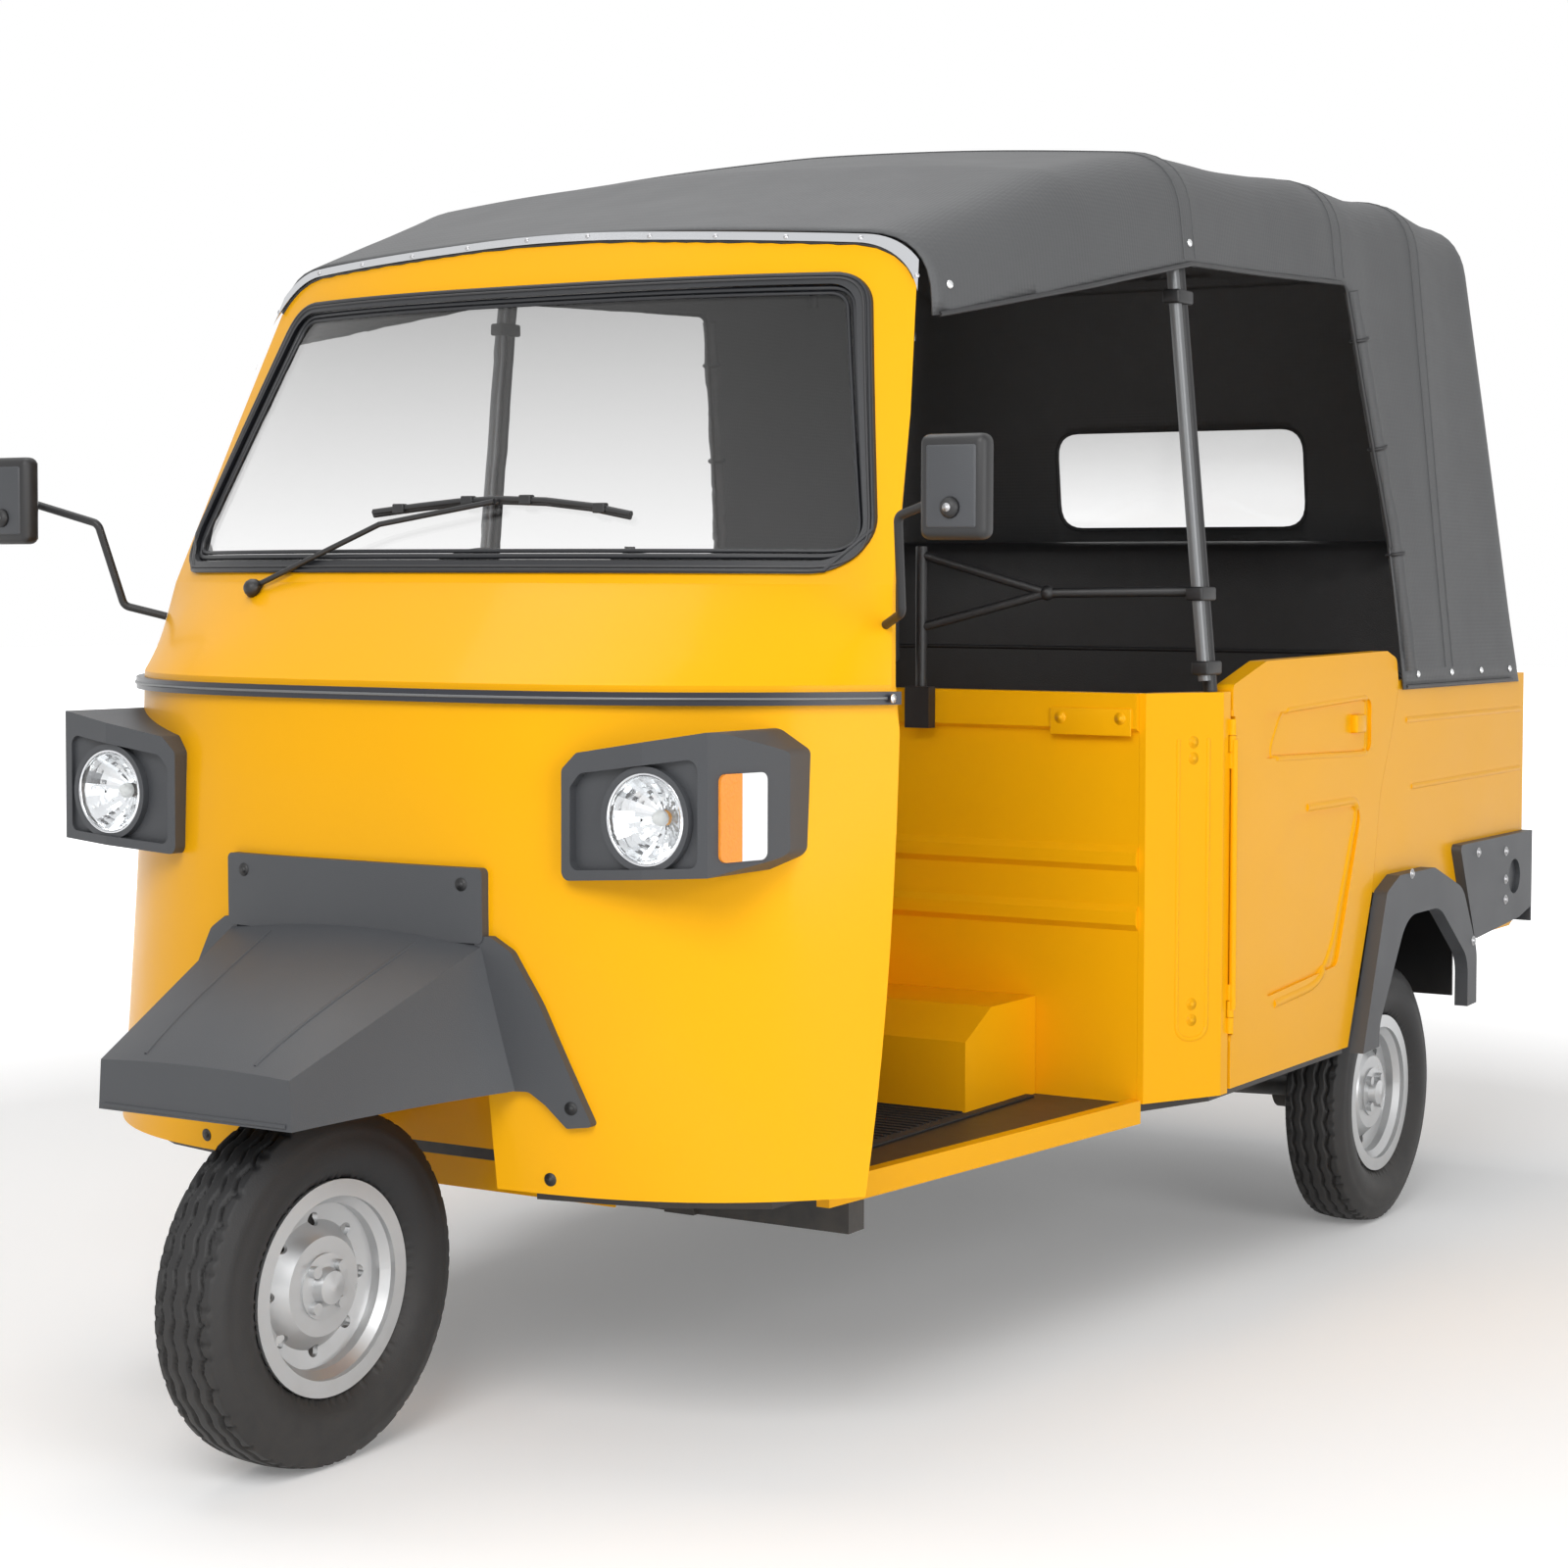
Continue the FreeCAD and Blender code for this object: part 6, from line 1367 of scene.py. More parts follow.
def lamp_bowl(centre):
    """Bright bowl of stepped facets round the bulb's opening."""
    profile = []
    for ring in range(BOWL_RINGS):
        share = ring / (BOWL_RINGS - 1)
        radius = 0.010 + (LAMP_RADIUS * 0.93 - 0.010) * share
        profile.append((radius, BOWL_DEPTH - (BOWL_DEPTH - 0.010) * share ** 2))

    def wave(radius, sector):
        return 0.0016 * (sector % 2) * (radius / LAMP_RADIUS)

    vertices, faces = turned(profile, centre, BOWL_SECTORS, wave)
    return worked(mesh_from(vertices, faces), ("SOLIDIFY", {"thickness": 0.001, "offset": 1.0}))


def lamp_lens(centre):
    """Clear domed cover with a flat rim."""
    profile = [(0.0005, -0.004)]
    for ring in range(1, 13):
        radius = LAMP_RADIUS * 0.965 * ring / 12
        profile.append((radius, -0.004 + 0.008 * (ring / 12) ** 2))
    vertices, faces = turned(profile, centre)
    return worked(clean(mesh_from(vertices, faces)), ("SOLIDIFY", {"thickness": 0.0025, "offset": -1.0}))


class RICKSHAW_OT_lamps(bpy.types.Operator):
    """Headlamps with faceted bowls and clear covers, and two-part indicators"""
    bl_idname = "rickshaw.lamps"
    bl_label = "Lamps"

    def execute(self, context):
        bowls, lenses, rings, bulbs = [], [], [], []
        for side in (-1, 1):
            centre = Vector((side * LAMP_X, LAMP_Y, LAMP_Z))
            bowls.append(lamp_bowl(centre))
            lenses.append(lamp_lens(centre))
            ring = circle(centre + Vector((0, 0.004, 0)), Vector((1, 0, 0)), Vector((0, 0, 1)),
                          LAMP_RADIUS * 0.975, 48)
            rings.append(tube(ring, 0.0030, closed=True, sides=10))
            bulbs.append(dome(centre + Vector((0, 0.040, 0)), (0, -1, 0), 0.011, 0.016))
        cover = add_piece("lamp_covers", joined(lenses), "Lens glass", "chassis")
        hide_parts("head_lamps")
        add_piece("lamp_bowls", joined(bowls), "Lamp bowl", "chassis", smooth=False)
        add_piece("lamp_rings", joined(rings), "Chrome", "chassis")
        add_piece("lamp_bulbs", joined(bulbs), "Dial", "chassis")
        self.indicators()
        return {"FINISHED"}

    def indicators(self):
        """Copy of each indicator, amber on the half beside the lamp and clear on the other."""
        low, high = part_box("indicators")
        shape = bmesh.new()
        shape.from_mesh(node_copy("indicators"))
        middle = low.y + (high.y - low.y) * 0.46
        bmesh.ops.bisect_plane(shape, geom=shape.verts[:] + shape.edges[:] + shape.faces[:],
                               plane_co=(0, middle, 0), plane_no=(0, 1, 0))
        for face in shape.faces:
            face.material_index = 0 if face.calc_center_median().y < middle else 1
        mesh = bpy.data.meshes.new("indicators")
        shape.to_mesh(mesh)
        shape.free()
        lens = add_piece("indicator_lenses", mesh, ("Amber lens", "White lens"), "chassis",
                         smooth=False)
        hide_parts("indicators")


# Cab: rail rivets and lip, screen rubber, waist line, wiper, dial, mirrors and fender

SCREEN_LOW_Z, SCREEN_LOW_HALF = 1.180, 0.628
SCREEN_TOP_Z, SCREEN_TOP_HALF = 1.600, 0.522
SCREEN_CORNER = 0.062
WIPER_LINE = ((-0.150, 1.262), (-0.070, 1.270), (0, 1.276), (0.070, 1.279), (0.150, 1.276),
              (0.225, 1.268), (0.290, 1.256))
RIVET_PITCH = 0.104
DIAL_DROP = 0.065
DIAL_RADIUS = 0.040
KNOB_PLACES = (-0.16, -0.11, 0.11, 0.16)
MIRROR_WIDTH = 0.096
FENDER_SCREW, NOSE_SCREW = (0.345, 0.485), (0.303, 0.386)
APRON_HALF, APRON_LOW, APRON_TOP = 0.256, 0.306, 0.374


def screen_outline(inset):
    """Points of the windscreen opening's outline in front view, moved in by inset."""
    low, high = SCREEN_LOW_Z + inset, SCREEN_TOP_Z - inset
    wide, narrow, corner = SCREEN_LOW_HALF - inset, SCREEN_TOP_HALF - inset, SCREEN_CORNER - inset
    outline = rounded_outline([(-wide, low, corner), (wide, low, corner), (narrow, high, corner),
                               (-narrow, high, corner)], 8)
    return outline + outline[:1]


class RICKSHAW_OT_cab(bpy.types.Operator):
    """Fine pieces of the cab: rivets, screen rubber, wiper blade, dial, mirrors and fender"""
    bl_idname = "rickshaw.cab"
    bl_label = "Cab"

    def execute(self, context):
        self.rail_rivets()
        self.screen_rubber()
        self.rail_lip()
        self.waist_line()
        self.wiper_blade()
        self.dial()
        self.mirrors()
        self.fender()
        return {"FINISHED"}

    def rail_rivets(self):
        """Rivets along the bright rail's front face."""
        tree = surface("header_rail")
        low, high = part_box("header_rail")
        path = []
        for step in range(81):
            x = low.x * 0.97 + (high.x - low.x) * 0.97 * step / 80
            heights = []
            for rise in range(60):
                z = low.z + (high.z - low.z) * (rise + 0.5) / 60
                if tree.ray_cast(Vector((x, low.y - 0.1, z)), Vector((0, 1, 0)))[0] is not None:
                    heights.append(z)
            if heights:
                path += on_face(tree, [(x, low.y - 0.1, (min(heights) + max(heights)) / 2)], (0, 1, 0))
        rivets = repeated("rivets", [path], "Machined steel", Pitch=RIVET_PITCH,
                          Radius=sizes().rivet_radius, Height=0.0022)
        add_piece("rail_rivets", rivets, "Machined steel", "chassis")

    def rail_lip(self):
        """Dark lip that closes the joint under the bright rail."""
        tree = surface("cab_shell")
        low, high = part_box("header_rail")
        points = []
        for step in range(97):
            x = high.x * math.sin((step / 96 - 0.5) * math.pi) * 0.995
            for rise in range(40):
                z = high.z - 0.012 - rise * 0.002
                hit = tree.ray_cast(Vector((x, low.y - 0.1, z)), Vector((0, 1, 0)))[0]
                if hit is not None and hit.y < high.y + 0.02:
                    points.append(hit + Vector((0, -0.0005, -0.001)))
                    break
        add_piece("rail_lip", tube(points, 0.0028, sides=8), "Seal rubber", "chassis")

    def wiper_blade(self):
        """Blade rubber in its claws, along the wiper's packed blade."""
        tree = surface("windscreen")
        line = laid(tree, densely([(x, -2.0, z) for x, z in WIPER_LINE], 0.02), (0, 1, 0), 0.0075)
        pieces = [tube(line, 0.0052, sides=8)]
        middle = len(line) // 2
        for place in (3, middle - 3, middle + 3, len(line) - 4):
            centre = line[place]
            pieces.append(block(centre - Vector((0.010, 0.007, 0.007)),
                                centre + Vector((0.010, 0.005, 0.007)), 0.002))
        pieces.append(dome(self.pivot(), (0, -1, 0.3), 0.014, 0.014))
        add_piece("wiper_blade", joined(pieces), "Black moulding", "chassis")

    def pivot(self):
        """Front of the wiper's pivot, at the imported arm's lower end."""
        mesh = node_copy("wiper")
        lowest = min(vertex.co.z for vertex in mesh.vertices)
        end = [vertex.co for vertex in mesh.vertices if vertex.co.z < lowest + 0.02]
        centre = sum(end, Vector()) / len(end)
        return Vector((centre.x, min(point.y for point in end) + 0.003, centre.z))

    def dial(self):
        """Round dial on the dashboard with its ring, face and needle, and two knobs."""
        tree = surface("dashboard")
        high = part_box("dashboard")[1]
        rings, faces, needles, knobs = [], [], [], []
        hits = on_face(tree, [(0.0, high.y + 0.3, high.z - DIAL_DROP)], (0, -1, 0))
        if hits:
            centre, facing = hits[0]
            across = Vector((1, 0, 0))
            rise = facing.cross(across).normalized()
            rings.append(tube(circle(centre, across, rise, DIAL_RADIUS, 40), 0.004, closed=True,
                              sides=10))
            faces.append(dome(centre, facing, DIAL_RADIUS - 0.001, 0.002, 40, 2))
            hub = centre + facing * 0.0035
            needles.append(tube([hub, hub - across * 0.020 + rise * 0.022], 0.0012, sides=6))
            for step in range(9):
                turn = math.radians(225 - step * 33.75)
                out = across * math.cos(turn) + rise * math.sin(turn)
                level = centre + facing * 0.0025
                needles.append(tube([level + out * 0.028, level + out * 0.035], 0.0009, sides=6))
        for x in KNOB_PLACES:
            for point, facing in on_face(tree, [(x, high.y + 0.3, high.z - DIAL_DROP)], (0, -1, 0)):
                knobs.append(dome(point, facing, 0.012, 0.012, 16, 4))
        add_piece("dial_ring", joined(rings), "Chrome", "chassis")
        add_piece("dial_face", joined(faces), "Dial", "chassis")
        add_piece("dial_marks", joined(needles + knobs), "Black moulding", "chassis")

    def screen_rubber(self):
        """Inner and outer lips of the windscreen rubber and the bead that locks them."""
        seal, glass = surface("windscreen_seal"), surface("windscreen")
        lips = []
        for tree, inset, radius, stand in ((glass, 0.0225, 0.0045, 0.0), (glass, 0.030, 0.0032, 0.0),
                                           (seal, 0.0035, 0.0035, -0.001)):
            points = densely([(a, -2.0, b) for a, b in screen_outline(inset)], 0.02)
            lips.append(tube(laid(tree, points, (0, 1, 0), stand), radius, sides=8))
        add_piece("screen_lips", joined(lips), "Seal rubber", "chassis")
        points = densely([(a, -2.0, b) for a, b in screen_outline(0.0085)], 0.02)
        bead = tube(laid(seal, points, (0, 1, 0)), 0.0022, sides=8)
        add_piece("screen_bead", bead, "Piping", "chassis")

    def waist_line(self):
        """Paler line along the middle of the waist band, with a screw at each end."""
        band = surface("waist_trim")
        low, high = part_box("waist_trim")
        middle = (low.z + high.z) / 2
        inner = Vector((0, high.y - 0.01, middle))
        points = []
        for degrees in range(-89, 90, 2):
            angle = math.radians(degrees)
            away = Vector((math.sin(angle), -math.cos(angle) * 0.6, 0)).normalized()
            hit = band.ray_cast(inner + away * 2.0, -away)[0]
            if hit is not None:
                points.append(hit + away * 0.0004)
        add_piece("waist_line", tube(points, 0.0022, sides=8), "Grey paint", "chassis")
        screws = [(Vector((side * (high.x - 0.0015), high.y - 0.018, middle)), Vector((side, 0, 0)))
                  for side in (-1, 1)]
        heads = repeated("bolts", [screws], "Bright steel", Radius=0.0035, Height=0.004, Washer=0.006)
        add_piece("waist_screws", heads, "Bright steel", "chassis")

    def mirrors(self):
        """Rounded mirror shells with a framed back, their glass and the screwed joint."""
        low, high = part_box("mirror_heads")
        shells, frames, glasses, joints, screws = [], [], [], [], []
        for side in (-1, 1):
            left, right = sorted((side * high.x, side * (high.x - MIRROR_WIDTH)))
            shells.append(block((left, low.y + 0.002, low.z), (right, high.y - 0.001, high.z), 0.012, 5))
            frames.append(block((left + 0.012, low.y, low.z + 0.014),
                                (right - 0.012, low.y + 0.01, high.z - 0.014), 0.0035, 3))
            glasses.append(block((left + 0.007, high.y - 0.004, low.z + 0.007),
                                 (right - 0.007, high.y, high.z - 0.007), 0.0015, 2))
            middle = Vector(((left + right) / 2, low.y, low.z + (high.z - low.z) * 0.30))
            joints.append(dome(middle, (0, -1, 0), 0.014, 0.010))
            screws.append((middle + Vector((0, -0.0095, 0)), Vector((0, -1, 0))))
        shell = add_piece("mirror_shells", joined(shells), "Black moulding", "chassis")
        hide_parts("mirror_heads")
        add_piece("mirror_frames", joined(frames), "Moulding", "chassis")
        add_piece("mirror_glass", joined(glasses), "Mirror", "chassis")
        add_piece("mirror_joints", joined(joints), "Black moulding", "chassis")
        heads = repeated("bolts", [screws], "Machined steel", Radius=0.0035, Height=0.004, Washer=0.0055)
        add_piece("mirror_screws", heads, "Machined steel", "chassis")

    def fender(self):
        """Creases along the front fender's top, its screws and the wheel well's apron."""
        tree, shell = surface("front_fender"), surface("cab_shell")
        low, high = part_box("front_fender")
        screws = []
        for x in (-0.19, 0.19):
            screws += on_face(tree, [(x, low.y - 0.2, high.z - 0.022)], (0, 1, 0))
        for side in (-1, 1):
            screws += on_face(tree, [(side * FENDER_SCREW[0], low.y - 0.2, FENDER_SCREW[1])], (0, 1, 0))
            screws += on_face(shell, [(side * NOSE_SCREW[0], low.y - 0.2, NOSE_SCREW[1])], (0, 1, 0))
        creases = []
        for share in (-0.62, 0.62):
            ends = [Vector((share * 0.205, low.y + 0.275, 2.0)),
                    Vector((share * 0.15, low.y + 0.012, 2.0))]
            creases.append(tube(laid(tree, densely(ends, 0.012), (0, 0, -1), -0.0008), 0.0028, sides=8))
        edge = laid(tree, [(step * 0.0103, low.y - 0.2, 0.494) for step in range(-15, 16)], (0, 1, 0),
                    -0.001)
        creases.append(tube(edge, 0.0035, sides=8))
        add_piece("fender_creases", joined(creases), "Moulding", "chassis")
        heads = repeated("bolts", [screws], "Chassis paint", Radius=0.005, Height=0.006, Washer=0.009)
        add_piece("fender_screws", heads, "Chassis paint", "chassis")
        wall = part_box("wheel_well")[1].y
        apron = block((-APRON_HALF, wall - 0.0035, APRON_LOW), (APRON_HALF, wall - 0.0005, APRON_TOP),
                      0.001)
        add_piece("well_apron", apron, "Body paint", "chassis")


# Body: door beads and latches, pillar beads, quarter ribs, bolts, posts and the floor's mat


def bead(tree, points, towards, radius, sink, pitch=0.02):
    """Low rounded bead pressed out of a panel along a line."""
    line = laid(tree, densely(points, pitch), towards, -sink)
    return tube(line, radius, sides=12)


def sideways(points, side):
    """Points (y from the front axle, z) as ray starts beside the vehicle."""
    return [(side * 1.2, y + FRONT_AXLE, z) for y, z in points]


DOOR_BEAD = ((1.47, 0.486, 0.0), (1.70, 0.500, 0.16), (1.842, 0.800, 0.03), (1.60, 0.800, 0.0))
DOOR_CUP = ((1.44, 0.888, 0.02), (1.870, 0.878, 0.02), (1.870, 0.978, 0.02), (1.50, 0.966, 0.05))
DOOR_EDGE_TOP = 0.985
LATCH_PLACE = (1.825, 0.932)
RAIL_PLATE = (0.585, 0.957)
PILLAR_BOLTS = ((1.212, 0.925), (1.212, 0.900), (1.212, 0.515), (1.212, 0.490))
BUMPER_BOLTS = ((2.56, 0.655), (2.56, 0.600), (2.56, 0.560), (2.40, 0.665))
FLARE_BOLTS = ((1.93, 0.44), (2.03, 0.655), (2.21, 0.655), (2.36, 0.50))
POLE_HEIGHTS = (1.02, 1.20, 1.40, 1.60, 1.76)
CLAMP_HEIGHTS = (1.04, 1.156, 1.62)
MAT_FRONT, MAT_REAR, MAT_HALF = 0.52, 1.10, 0.50
PILLAR_BEAD = ((1.186, 0.93, 0.0), (1.186, 0.46, 0.028), (1.238, 0.46, 0.028), (1.238, 0.93, 0.0))
QUARTER_RIBS = (((2.06, 0.930), (2.69, 0.930)), ((2.09, 0.808), (2.69, 0.812)))


class RICKSHAW_OT_body(bpy.types.Operator):
    """Pressed beads, latches, bolts, curtain poles and the floor's mat"""
    bl_idname = "rickshaw.body"
    bl_label = "Body"

    def execute(self, context):
        for side, door, body in ((1, "door_left", "left_door"), (-1, "door_right", "right_door")):
            self.door(side, door, body)
        self.panels()
        self.bolts()
        self.posts()
        self.mat()
        return {"FINISHED"}

    def door(self, side, node, body):
        """Beads and latch of one door."""
        tree = surface(node)
        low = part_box(node)[0]
        aim = (-side, 0, 0)
        lower = rounded_outline(DOOR_BEAD, 8)
        cup = rounded_outline(DOOR_CUP, 8)
        cup.append(cup[0])
        pieces = [bead(tree, sideways(lower, side), aim, 0.010, 0.0065),
                  bead(tree, sideways(cup, side), aim, 0.006, 0.0042)]
        front = low.y - FRONT_AXLE + 0.006
        edge = ((front, low.z + 0.03), (front, DOOR_EDGE_TOP))
        pieces.append(bead(tree, sideways(edge, side), aim, 0.006, 0.002))
        add_piece(node + "_beads", joined(pieces), "Body paint", body)
        latch = laid(tree, sideways([LATCH_PLACE], side), aim)[0]
        inner, outer = sorted((-0.004 * side, 0.012 * side))
        handle = block(latch + Vector((inner, -0.022, -0.016)), latch + Vector((outer, 0.022, 0.016)),
                       0.004)
        add_piece(node + "_latch", handle, "Body paint", body)

    def panels(self):
        """Beads of the pillars and the rear quarters."""
        beads = []
        quarter, pillar = surface("body_sides"), surface("door_pillars")
        for side in (-1, 1):
            aim = (-side, 0, 0)
            for rib in QUARTER_RIBS:
                beads.append(bead(quarter, sideways(rib, side), aim, 0.008, 0.0055))
            outline = rounded_outline(PILLAR_BEAD, 8)
            points = densely(sideways(outline, side), 0.02)
            line = laid(pillar, points, aim, -0.002)
            if len(line) > 4:
                beads.append(tube(line, 0.005, sides=10))
        add_piece("panel_beads", joined(beads), "Body paint", "chassis")

    def bolts(self):
        """Bolts of the pillars, the corner bumpers, the flares and the bulkhead's top rail."""
        pillar, bumper, flare, wall = [surface(node) for node in
                                       ("door_pillars", "corner_bumpers", "wheel_flares", "bulkhead")]
        bright, dark, plates = [], [], []
        for side in (-1, 1):
            aim = (-side, 0, 0)
            bright += on_face(pillar, sideways(PILLAR_BOLTS, side), aim)
            dark += on_face(bumper, sideways(BUMPER_BOLTS, side), aim)
            dark += on_face(flare, sideways(FLARE_BOLTS, side), aim)
            face = laid(wall, [(side * RAIL_PLATE[0], -0.5, RAIL_PLATE[1])], (0, 1, 0))[0]
            plates.append(block(face - Vector((0.070, 0.003, 0.021)),
                                face + Vector((0.070, 0.001, 0.021)), 0.0012))
            bright += [(face + Vector((x, -0.003, 0.006)), Vector((0, -1, 0))) for x in (-0.052, 0.052)]
        for name, pairs, material in (("panel_bolts", bright, "Body paint"),
                                      ("moulding_bolts", dark, "Machined steel")):
            heads = repeated("bolts", [pairs], material, Radius=0.0055, Height=0.007, Washer=0.0095)
            add_piece(name, heads, material, "chassis")
        add_piece("rail_plates", joined(plates), "Body paint", "chassis")

    def posts(self):
        """Curtain pole clipped to each post, with its clamps."""
        poles, clamps = [], []
        tree = surface("canopy_frame")
        for side in (-1, 1):
            line = self.post_points(tree, side, POLE_HEIGHTS, -0.021)
            poles.append(tube(line, 0.0105, sides=14))
            for centre in self.post_points(tree, side, CLAMP_HEIGHTS, -0.010):
                corner = Vector((0.015, 0.027, 0.011))
                clamps.append(block(centre - corner, centre + corner, 0.004))
        add_piece("curtain_poles", joined(poles), "Grey paint", "chassis")
        add_piece("post_clamps", joined(clamps), "Chassis paint", "chassis")

    def post_points(self, tree, side, heights, ahead):
        """Points beside a post's outer face at some heights."""
        starts = sideways([(BOW_PLACES[0], z) for z in heights], side)
        return [point + Vector((-side * 0.010, ahead, 0)) for point in laid(tree, starts, (-side, 0, 0))]

    def mat(self):
        """Ribbed rubber mat on the driver's floor."""
        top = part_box("floor_pan")[1].z
        front, rear, half = MAT_FRONT + FRONT_AXLE, MAT_REAR + FRONT_AXLE, MAT_HALF
        plate = block((-half, front, top), (half, rear, top + 0.004), 0.0015, 2)
        path = [(Vector((0, front + 0.03, top + 0.004)), Vector((0, 0, 1))),
                (Vector((0, rear - 0.03, top + 0.004)), Vector((0, 0, 1)))]
        ribs = repeated("ribs", [path], "Floor mat", Pitch=0.018, Length=half * 1.92, Width=0.007,
                        Height=0.004)
        add_piece("floor_mat", joined([plate, ribs]), "Floor mat", "chassis",
                  smooth=False)


# Controls


class RICKSHAW_OT_controls(bpy.types.Operator):
    """Hand levers and the ribs of the grips"""
    bl_idname = "rickshaw.controls"
    bl_label = "Controls"

    def execute(self, context):
        levers, grips = [], []
        for tip, inner in self.bar_tips():
            run = (inner - tip).normalized()
            level = Vector((0, -1, 0))
            start = tip + run * 0.125 + level * 0.020
            points = [start, start + level * 0.016 - run * 0.02, tip + run * 0.07 + level * 0.040,
                      tip + run * 0.005 + level * 0.038]
            levers.append(tube(points, 0.0042, sides=10, order=3))
            for step in range(9):
                centre = tip + run * (0.012 + step * 0.0105)
                grips.append(self.collar(centre, run, 0.0172, 0.0035))
            grips.append(self.collar(tip + run * 0.004, run, 0.0185, 0.006))
        add_piece("levers", joined(levers), "Bright steel", "steering")
        add_piece("grip_ribs", joined(grips), "Black moulding", "steering")
        return {"FINISHED"}

    def bar_tips(self):
        """Outer end of each grip and a point towards its inner end."""
        mesh = node_copy("handlebar")
        pairs = []
        for side in (-1, 1):
            reach = max(side * vertex.co.x for vertex in mesh.vertices)
            end = [vertex.co for vertex in mesh.vertices if side * vertex.co.x > reach - 0.03]
            centre = sum(end, Vector()) / len(end)
            inner = Vector((side * 0.146, centre.y - 0.092, centre.z - 0.006))
            pairs.append((centre, inner))
        return pairs

    def collar(self, centre, run, radius, width):
        """Ring round the bar."""
        across = run.orthogonal().normalized()
        ring = circle(centre, across, run.cross(across), radius - width * 0.4, 20)
        return tube(ring, width * 0.5, closed=True, sides=8)


# Stage


class RICKSHAW_OT_stage(bpy.types.Operator):
    """Pale floor, soft lamps and the camera"""
    bl_idname = "rickshaw.stage"
    bl_label = "Stage"

    def execute(self, context):
        make_floor()
        make_lights()
        make_camera()
        return {"FINISHED"}


def camera_share(tree):
    """1 for rays from the camera, in mirrors and through glass."""
    path = tree.nodes.new("ShaderNodeLightPath")
    seen = math_node(tree, "ADD", path.outputs["Is Camera Ray"], path.outputs["Is Glossy Ray"])
    return math_node(tree, "ADD", seen, path.outputs["Is Transmission Ray"], True)


FLOOR_REACH = 40.0
FLOOR_WHITE = 0.96
FLOOR_GLOW = 0.14
FADE_START, FADE_REACH = 2.4, 3.0
WORLD_LIGHT, WORLD_SEEN = 0.36, 0.64
# Name, place, target, size and power of each lamp
LAMPS = (
    ("Key", (2.2, -6.0, 4.6), (0.0, -0.4, 0.8), 3.2, 232.0),
    ("Side", (6.0, -2.6, 2.2), (0.4, 0.2, 0.8), 3.0, 130.0),
    ("Top", (-1.5, 0.0, 6.5), (0.0, 0.0, 1.0), 4.0, 125.0),
)


def make_floor():
    """White floor that fades into the white world round the vehicle."""
    corners = ((-1, -1), (1, -1), (1, 1), (-1, 1))
    mesh = mesh_from([(x * FLOOR_REACH, y * FLOOR_REACH, 0) for x, y in corners], [(0, 1, 2, 3)])
    floor = bpy.data.objects.new("studio_floor", mesh)
    bpy.context.scene.collection.objects.link(floor)
    material, shader = new_material("Studio floor", (FLOOR_WHITE,) * 3, 0.9)
    shader.inputs["Specular IOR Level"].default_value = 0.1
    shader.inputs["Emission Color"].default_value = (1, 1, 1, 1)
    tree = material.node_tree
    links = tree.links
    glow = camera_share(tree)
    distance = tree.nodes.new("ShaderNodeVectorMath")
    distance.operation = "LENGTH"
    links.new(tree.nodes.new("ShaderNodeTexCoord").outputs["Object"], distance.inputs[0])
    away = math_node(tree, "SUBTRACT", distance.outputs["Value"], FADE_START)
    away = math_node(tree, "DIVIDE", away, FADE_REACH, True)
    strength = math_node(tree, "ADD", away, FLOOR_GLOW)
    links.new(math_node(tree, "MULTIPLY", glow, strength), shader.inputs["Emission Strength"])
    mesh.materials.append(material)
    world = bpy.data.worlds.new("Studio")
    bpy.context.scene.world = world
    world.use_nodes = True
    tree = world.node_tree
    back = tree.nodes["Background"]
    back.inputs["Color"].default_value = (1, 1, 1, 1)
    seen = camera_share(tree)
    strength = math_node(tree, "MULTIPLY", seen, WORLD_SEEN)
    tree.links.new(math_node(tree, "ADD", strength, WORLD_LIGHT), back.inputs["Strength"])


def make_lights():
    """Three soft square lamps."""
    for name, place, target, size, power in LAMPS:
        data = bpy.data.lights.new(name, "AREA")
        data.shape = "SQUARE"
        data.size = size
        data.energy = power
        lamp = bpy.data.objects.new(name, data)
        bpy.context.scene.collection.objects.link(lamp)
        lamp.location = place
        aim = Vector(target) - Vector(place)
        lamp.rotation_euler = aim.to_track_quat("-Z", "Y").to_euler()


CAMERA_PLACE = Vector((2.6216, -4.1178, 1.1569))
CAMERA_TURN = math.radians(29.39)
CAMERA_DIP = math.radians(2.48)
CAMERA_ROLL = math.radians(0.3)
CAMERA_LENS = 66.38
CAMERA_SHIFT = (-0.1195, -0.0426)


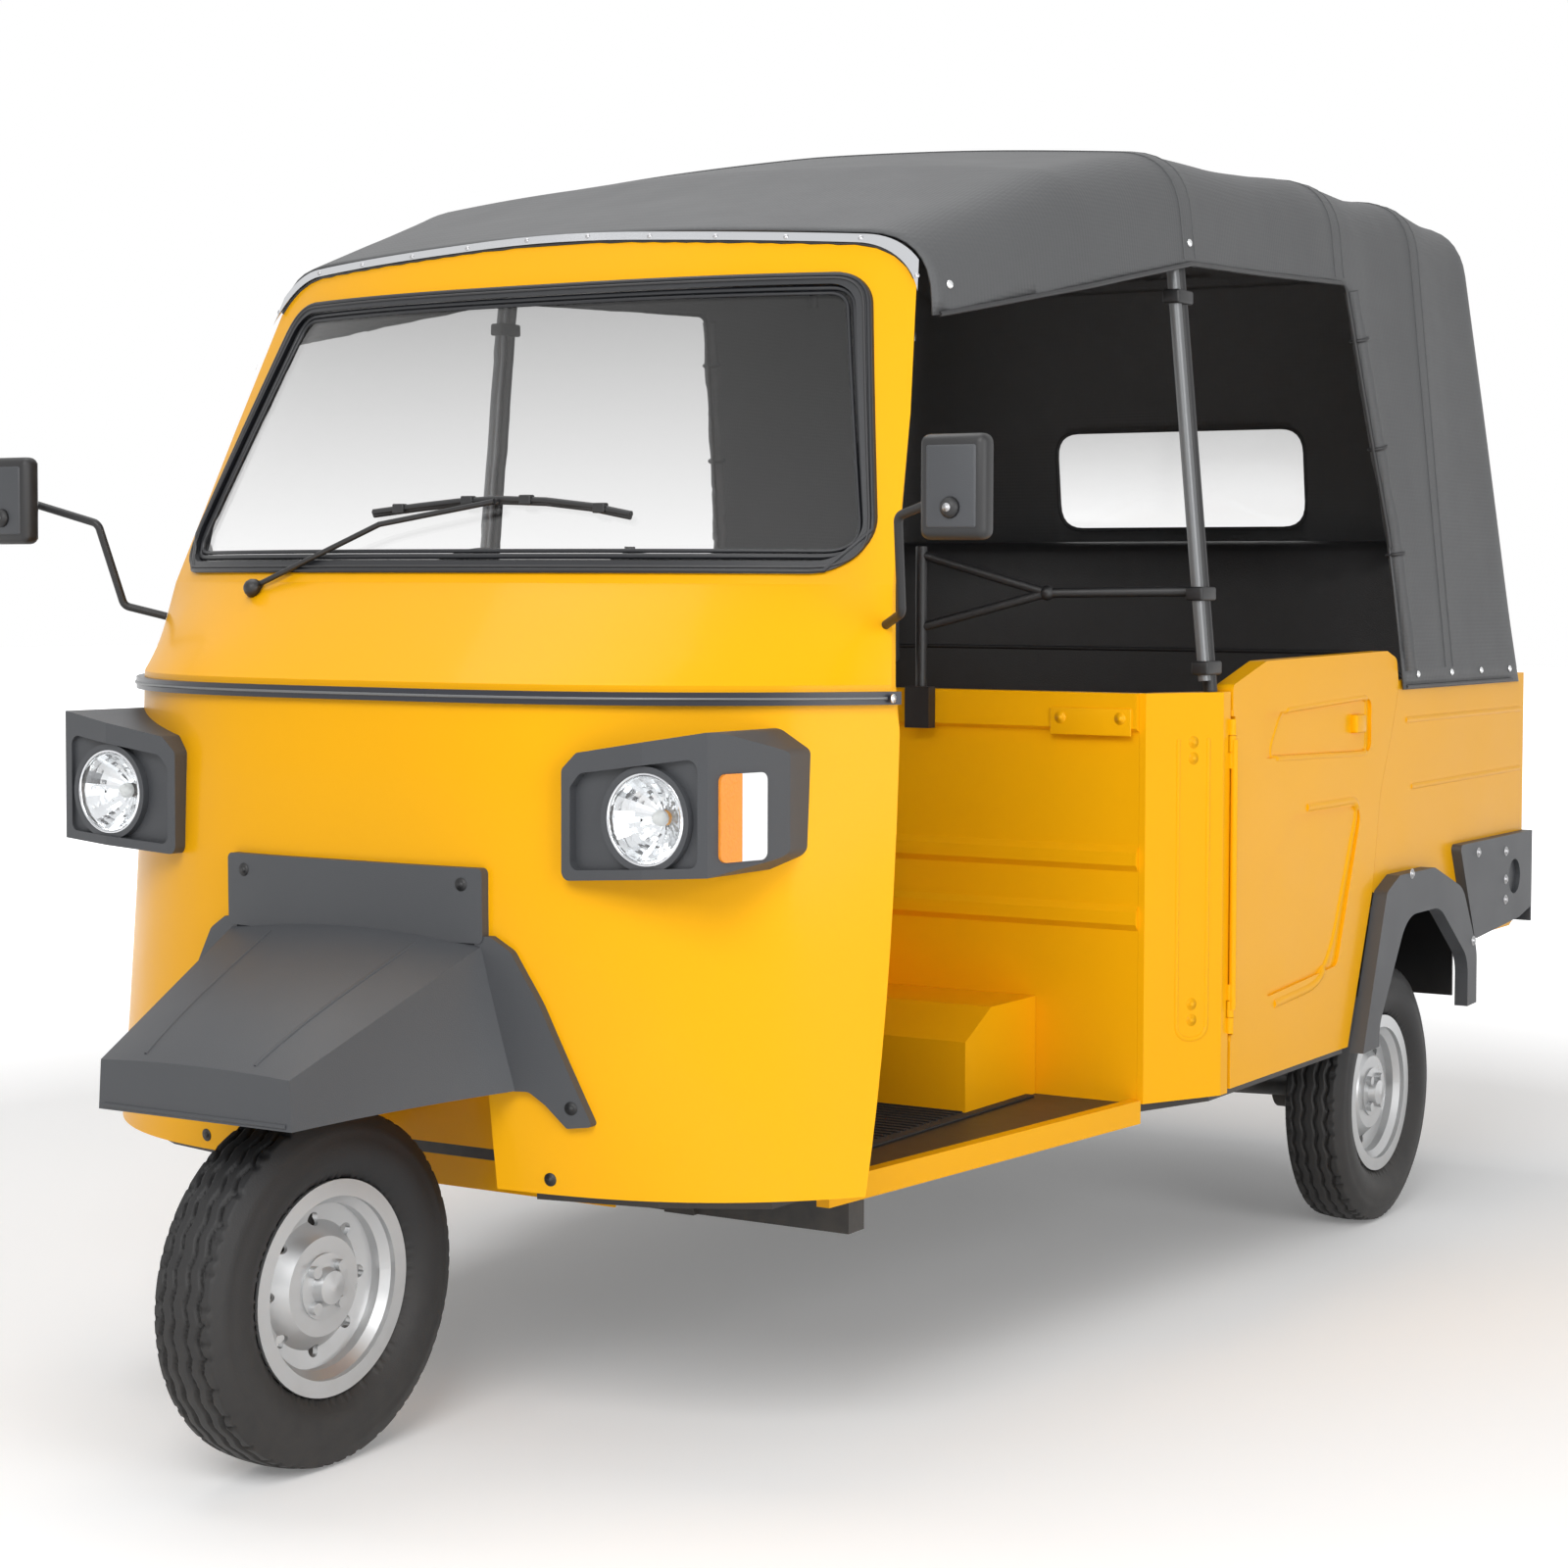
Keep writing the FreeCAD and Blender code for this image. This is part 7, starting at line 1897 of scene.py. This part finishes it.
def make_camera():
    """Camera that matches the photograph's view."""
    data = bpy.data.cameras.new("Camera")
    data.lens = CAMERA_LENS
    data.sensor_width = 36.0
    data.shift_x, data.shift_y = CAMERA_SHIFT
    camera = bpy.data.objects.new("Camera", data)
    bpy.context.scene.collection.objects.link(camera)
    ahead = Vector((-math.sin(CAMERA_TURN) * math.cos(CAMERA_DIP),
                    math.cos(CAMERA_TURN) * math.cos(CAMERA_DIP), -math.sin(CAMERA_DIP)))
    level = Vector((math.cos(CAMERA_TURN), math.sin(CAMERA_TURN), 0.0))
    upright = level.cross(ahead)
    right = level * math.cos(CAMERA_ROLL) + upright * math.sin(CAMERA_ROLL)
    up = upright * math.cos(CAMERA_ROLL) - level * math.sin(CAMERA_ROLL)
    turn = Matrix((right, up, -ahead)).transposed().to_4x4()
    camera.matrix_world = Matrix.Translation(CAMERA_PLACE) @ turn
    bpy.context.scene.camera = camera


# Panel and start


OPERATORS = (RICKSHAW_OT_finishes, RICKSHAW_OT_tyres, RICKSHAW_OT_hood, RICKSHAW_OT_seats,
             RICKSHAW_OT_lamps, RICKSHAW_OT_cab, RICKSHAW_OT_body, RICKSHAW_OT_controls,
             RICKSHAW_OT_stage)


class RICKSHAW_PT_panel(bpy.types.Panel):
    """Lists the pieces in the sidebar"""
    bl_idname = "RICKSHAW_PT_panel"
    bl_label = "Auto Rickshaw"
    bl_space_type = "VIEW_3D"
    bl_region_type = "UI"
    bl_category = "Rickshaw"

    def draw(self, context):
        for operator in OPERATORS:
            self.layout.operator(operator.bl_idname)


CLASSES = (RickshawSizes, RickshawColours) + OPERATORS + (RICKSHAW_PT_panel,)


def register():
    for item in CLASSES:
        bpy.utils.register_class(item)
    bpy.types.Scene.rickshaw_sizes = bpy.props.PointerProperty(type=RickshawSizes)
    bpy.types.Scene.rickshaw_colours = bpy.props.PointerProperty(type=RickshawColours)


def unregister():
    del bpy.types.Scene.rickshaw_colours
    del bpy.types.Scene.rickshaw_sizes
    for item in reversed(CLASSES):
        bpy.utils.unregister_class(item)


def main():
    register()
    bpy.context.scene.view_settings.view_transform = "Standard"
    for operator in OPERATORS:
        group, name = operator.bl_idname.split(".")
        getattr(getattr(bpy.ops, group), name)()


if __name__ == "__main__":
    main()
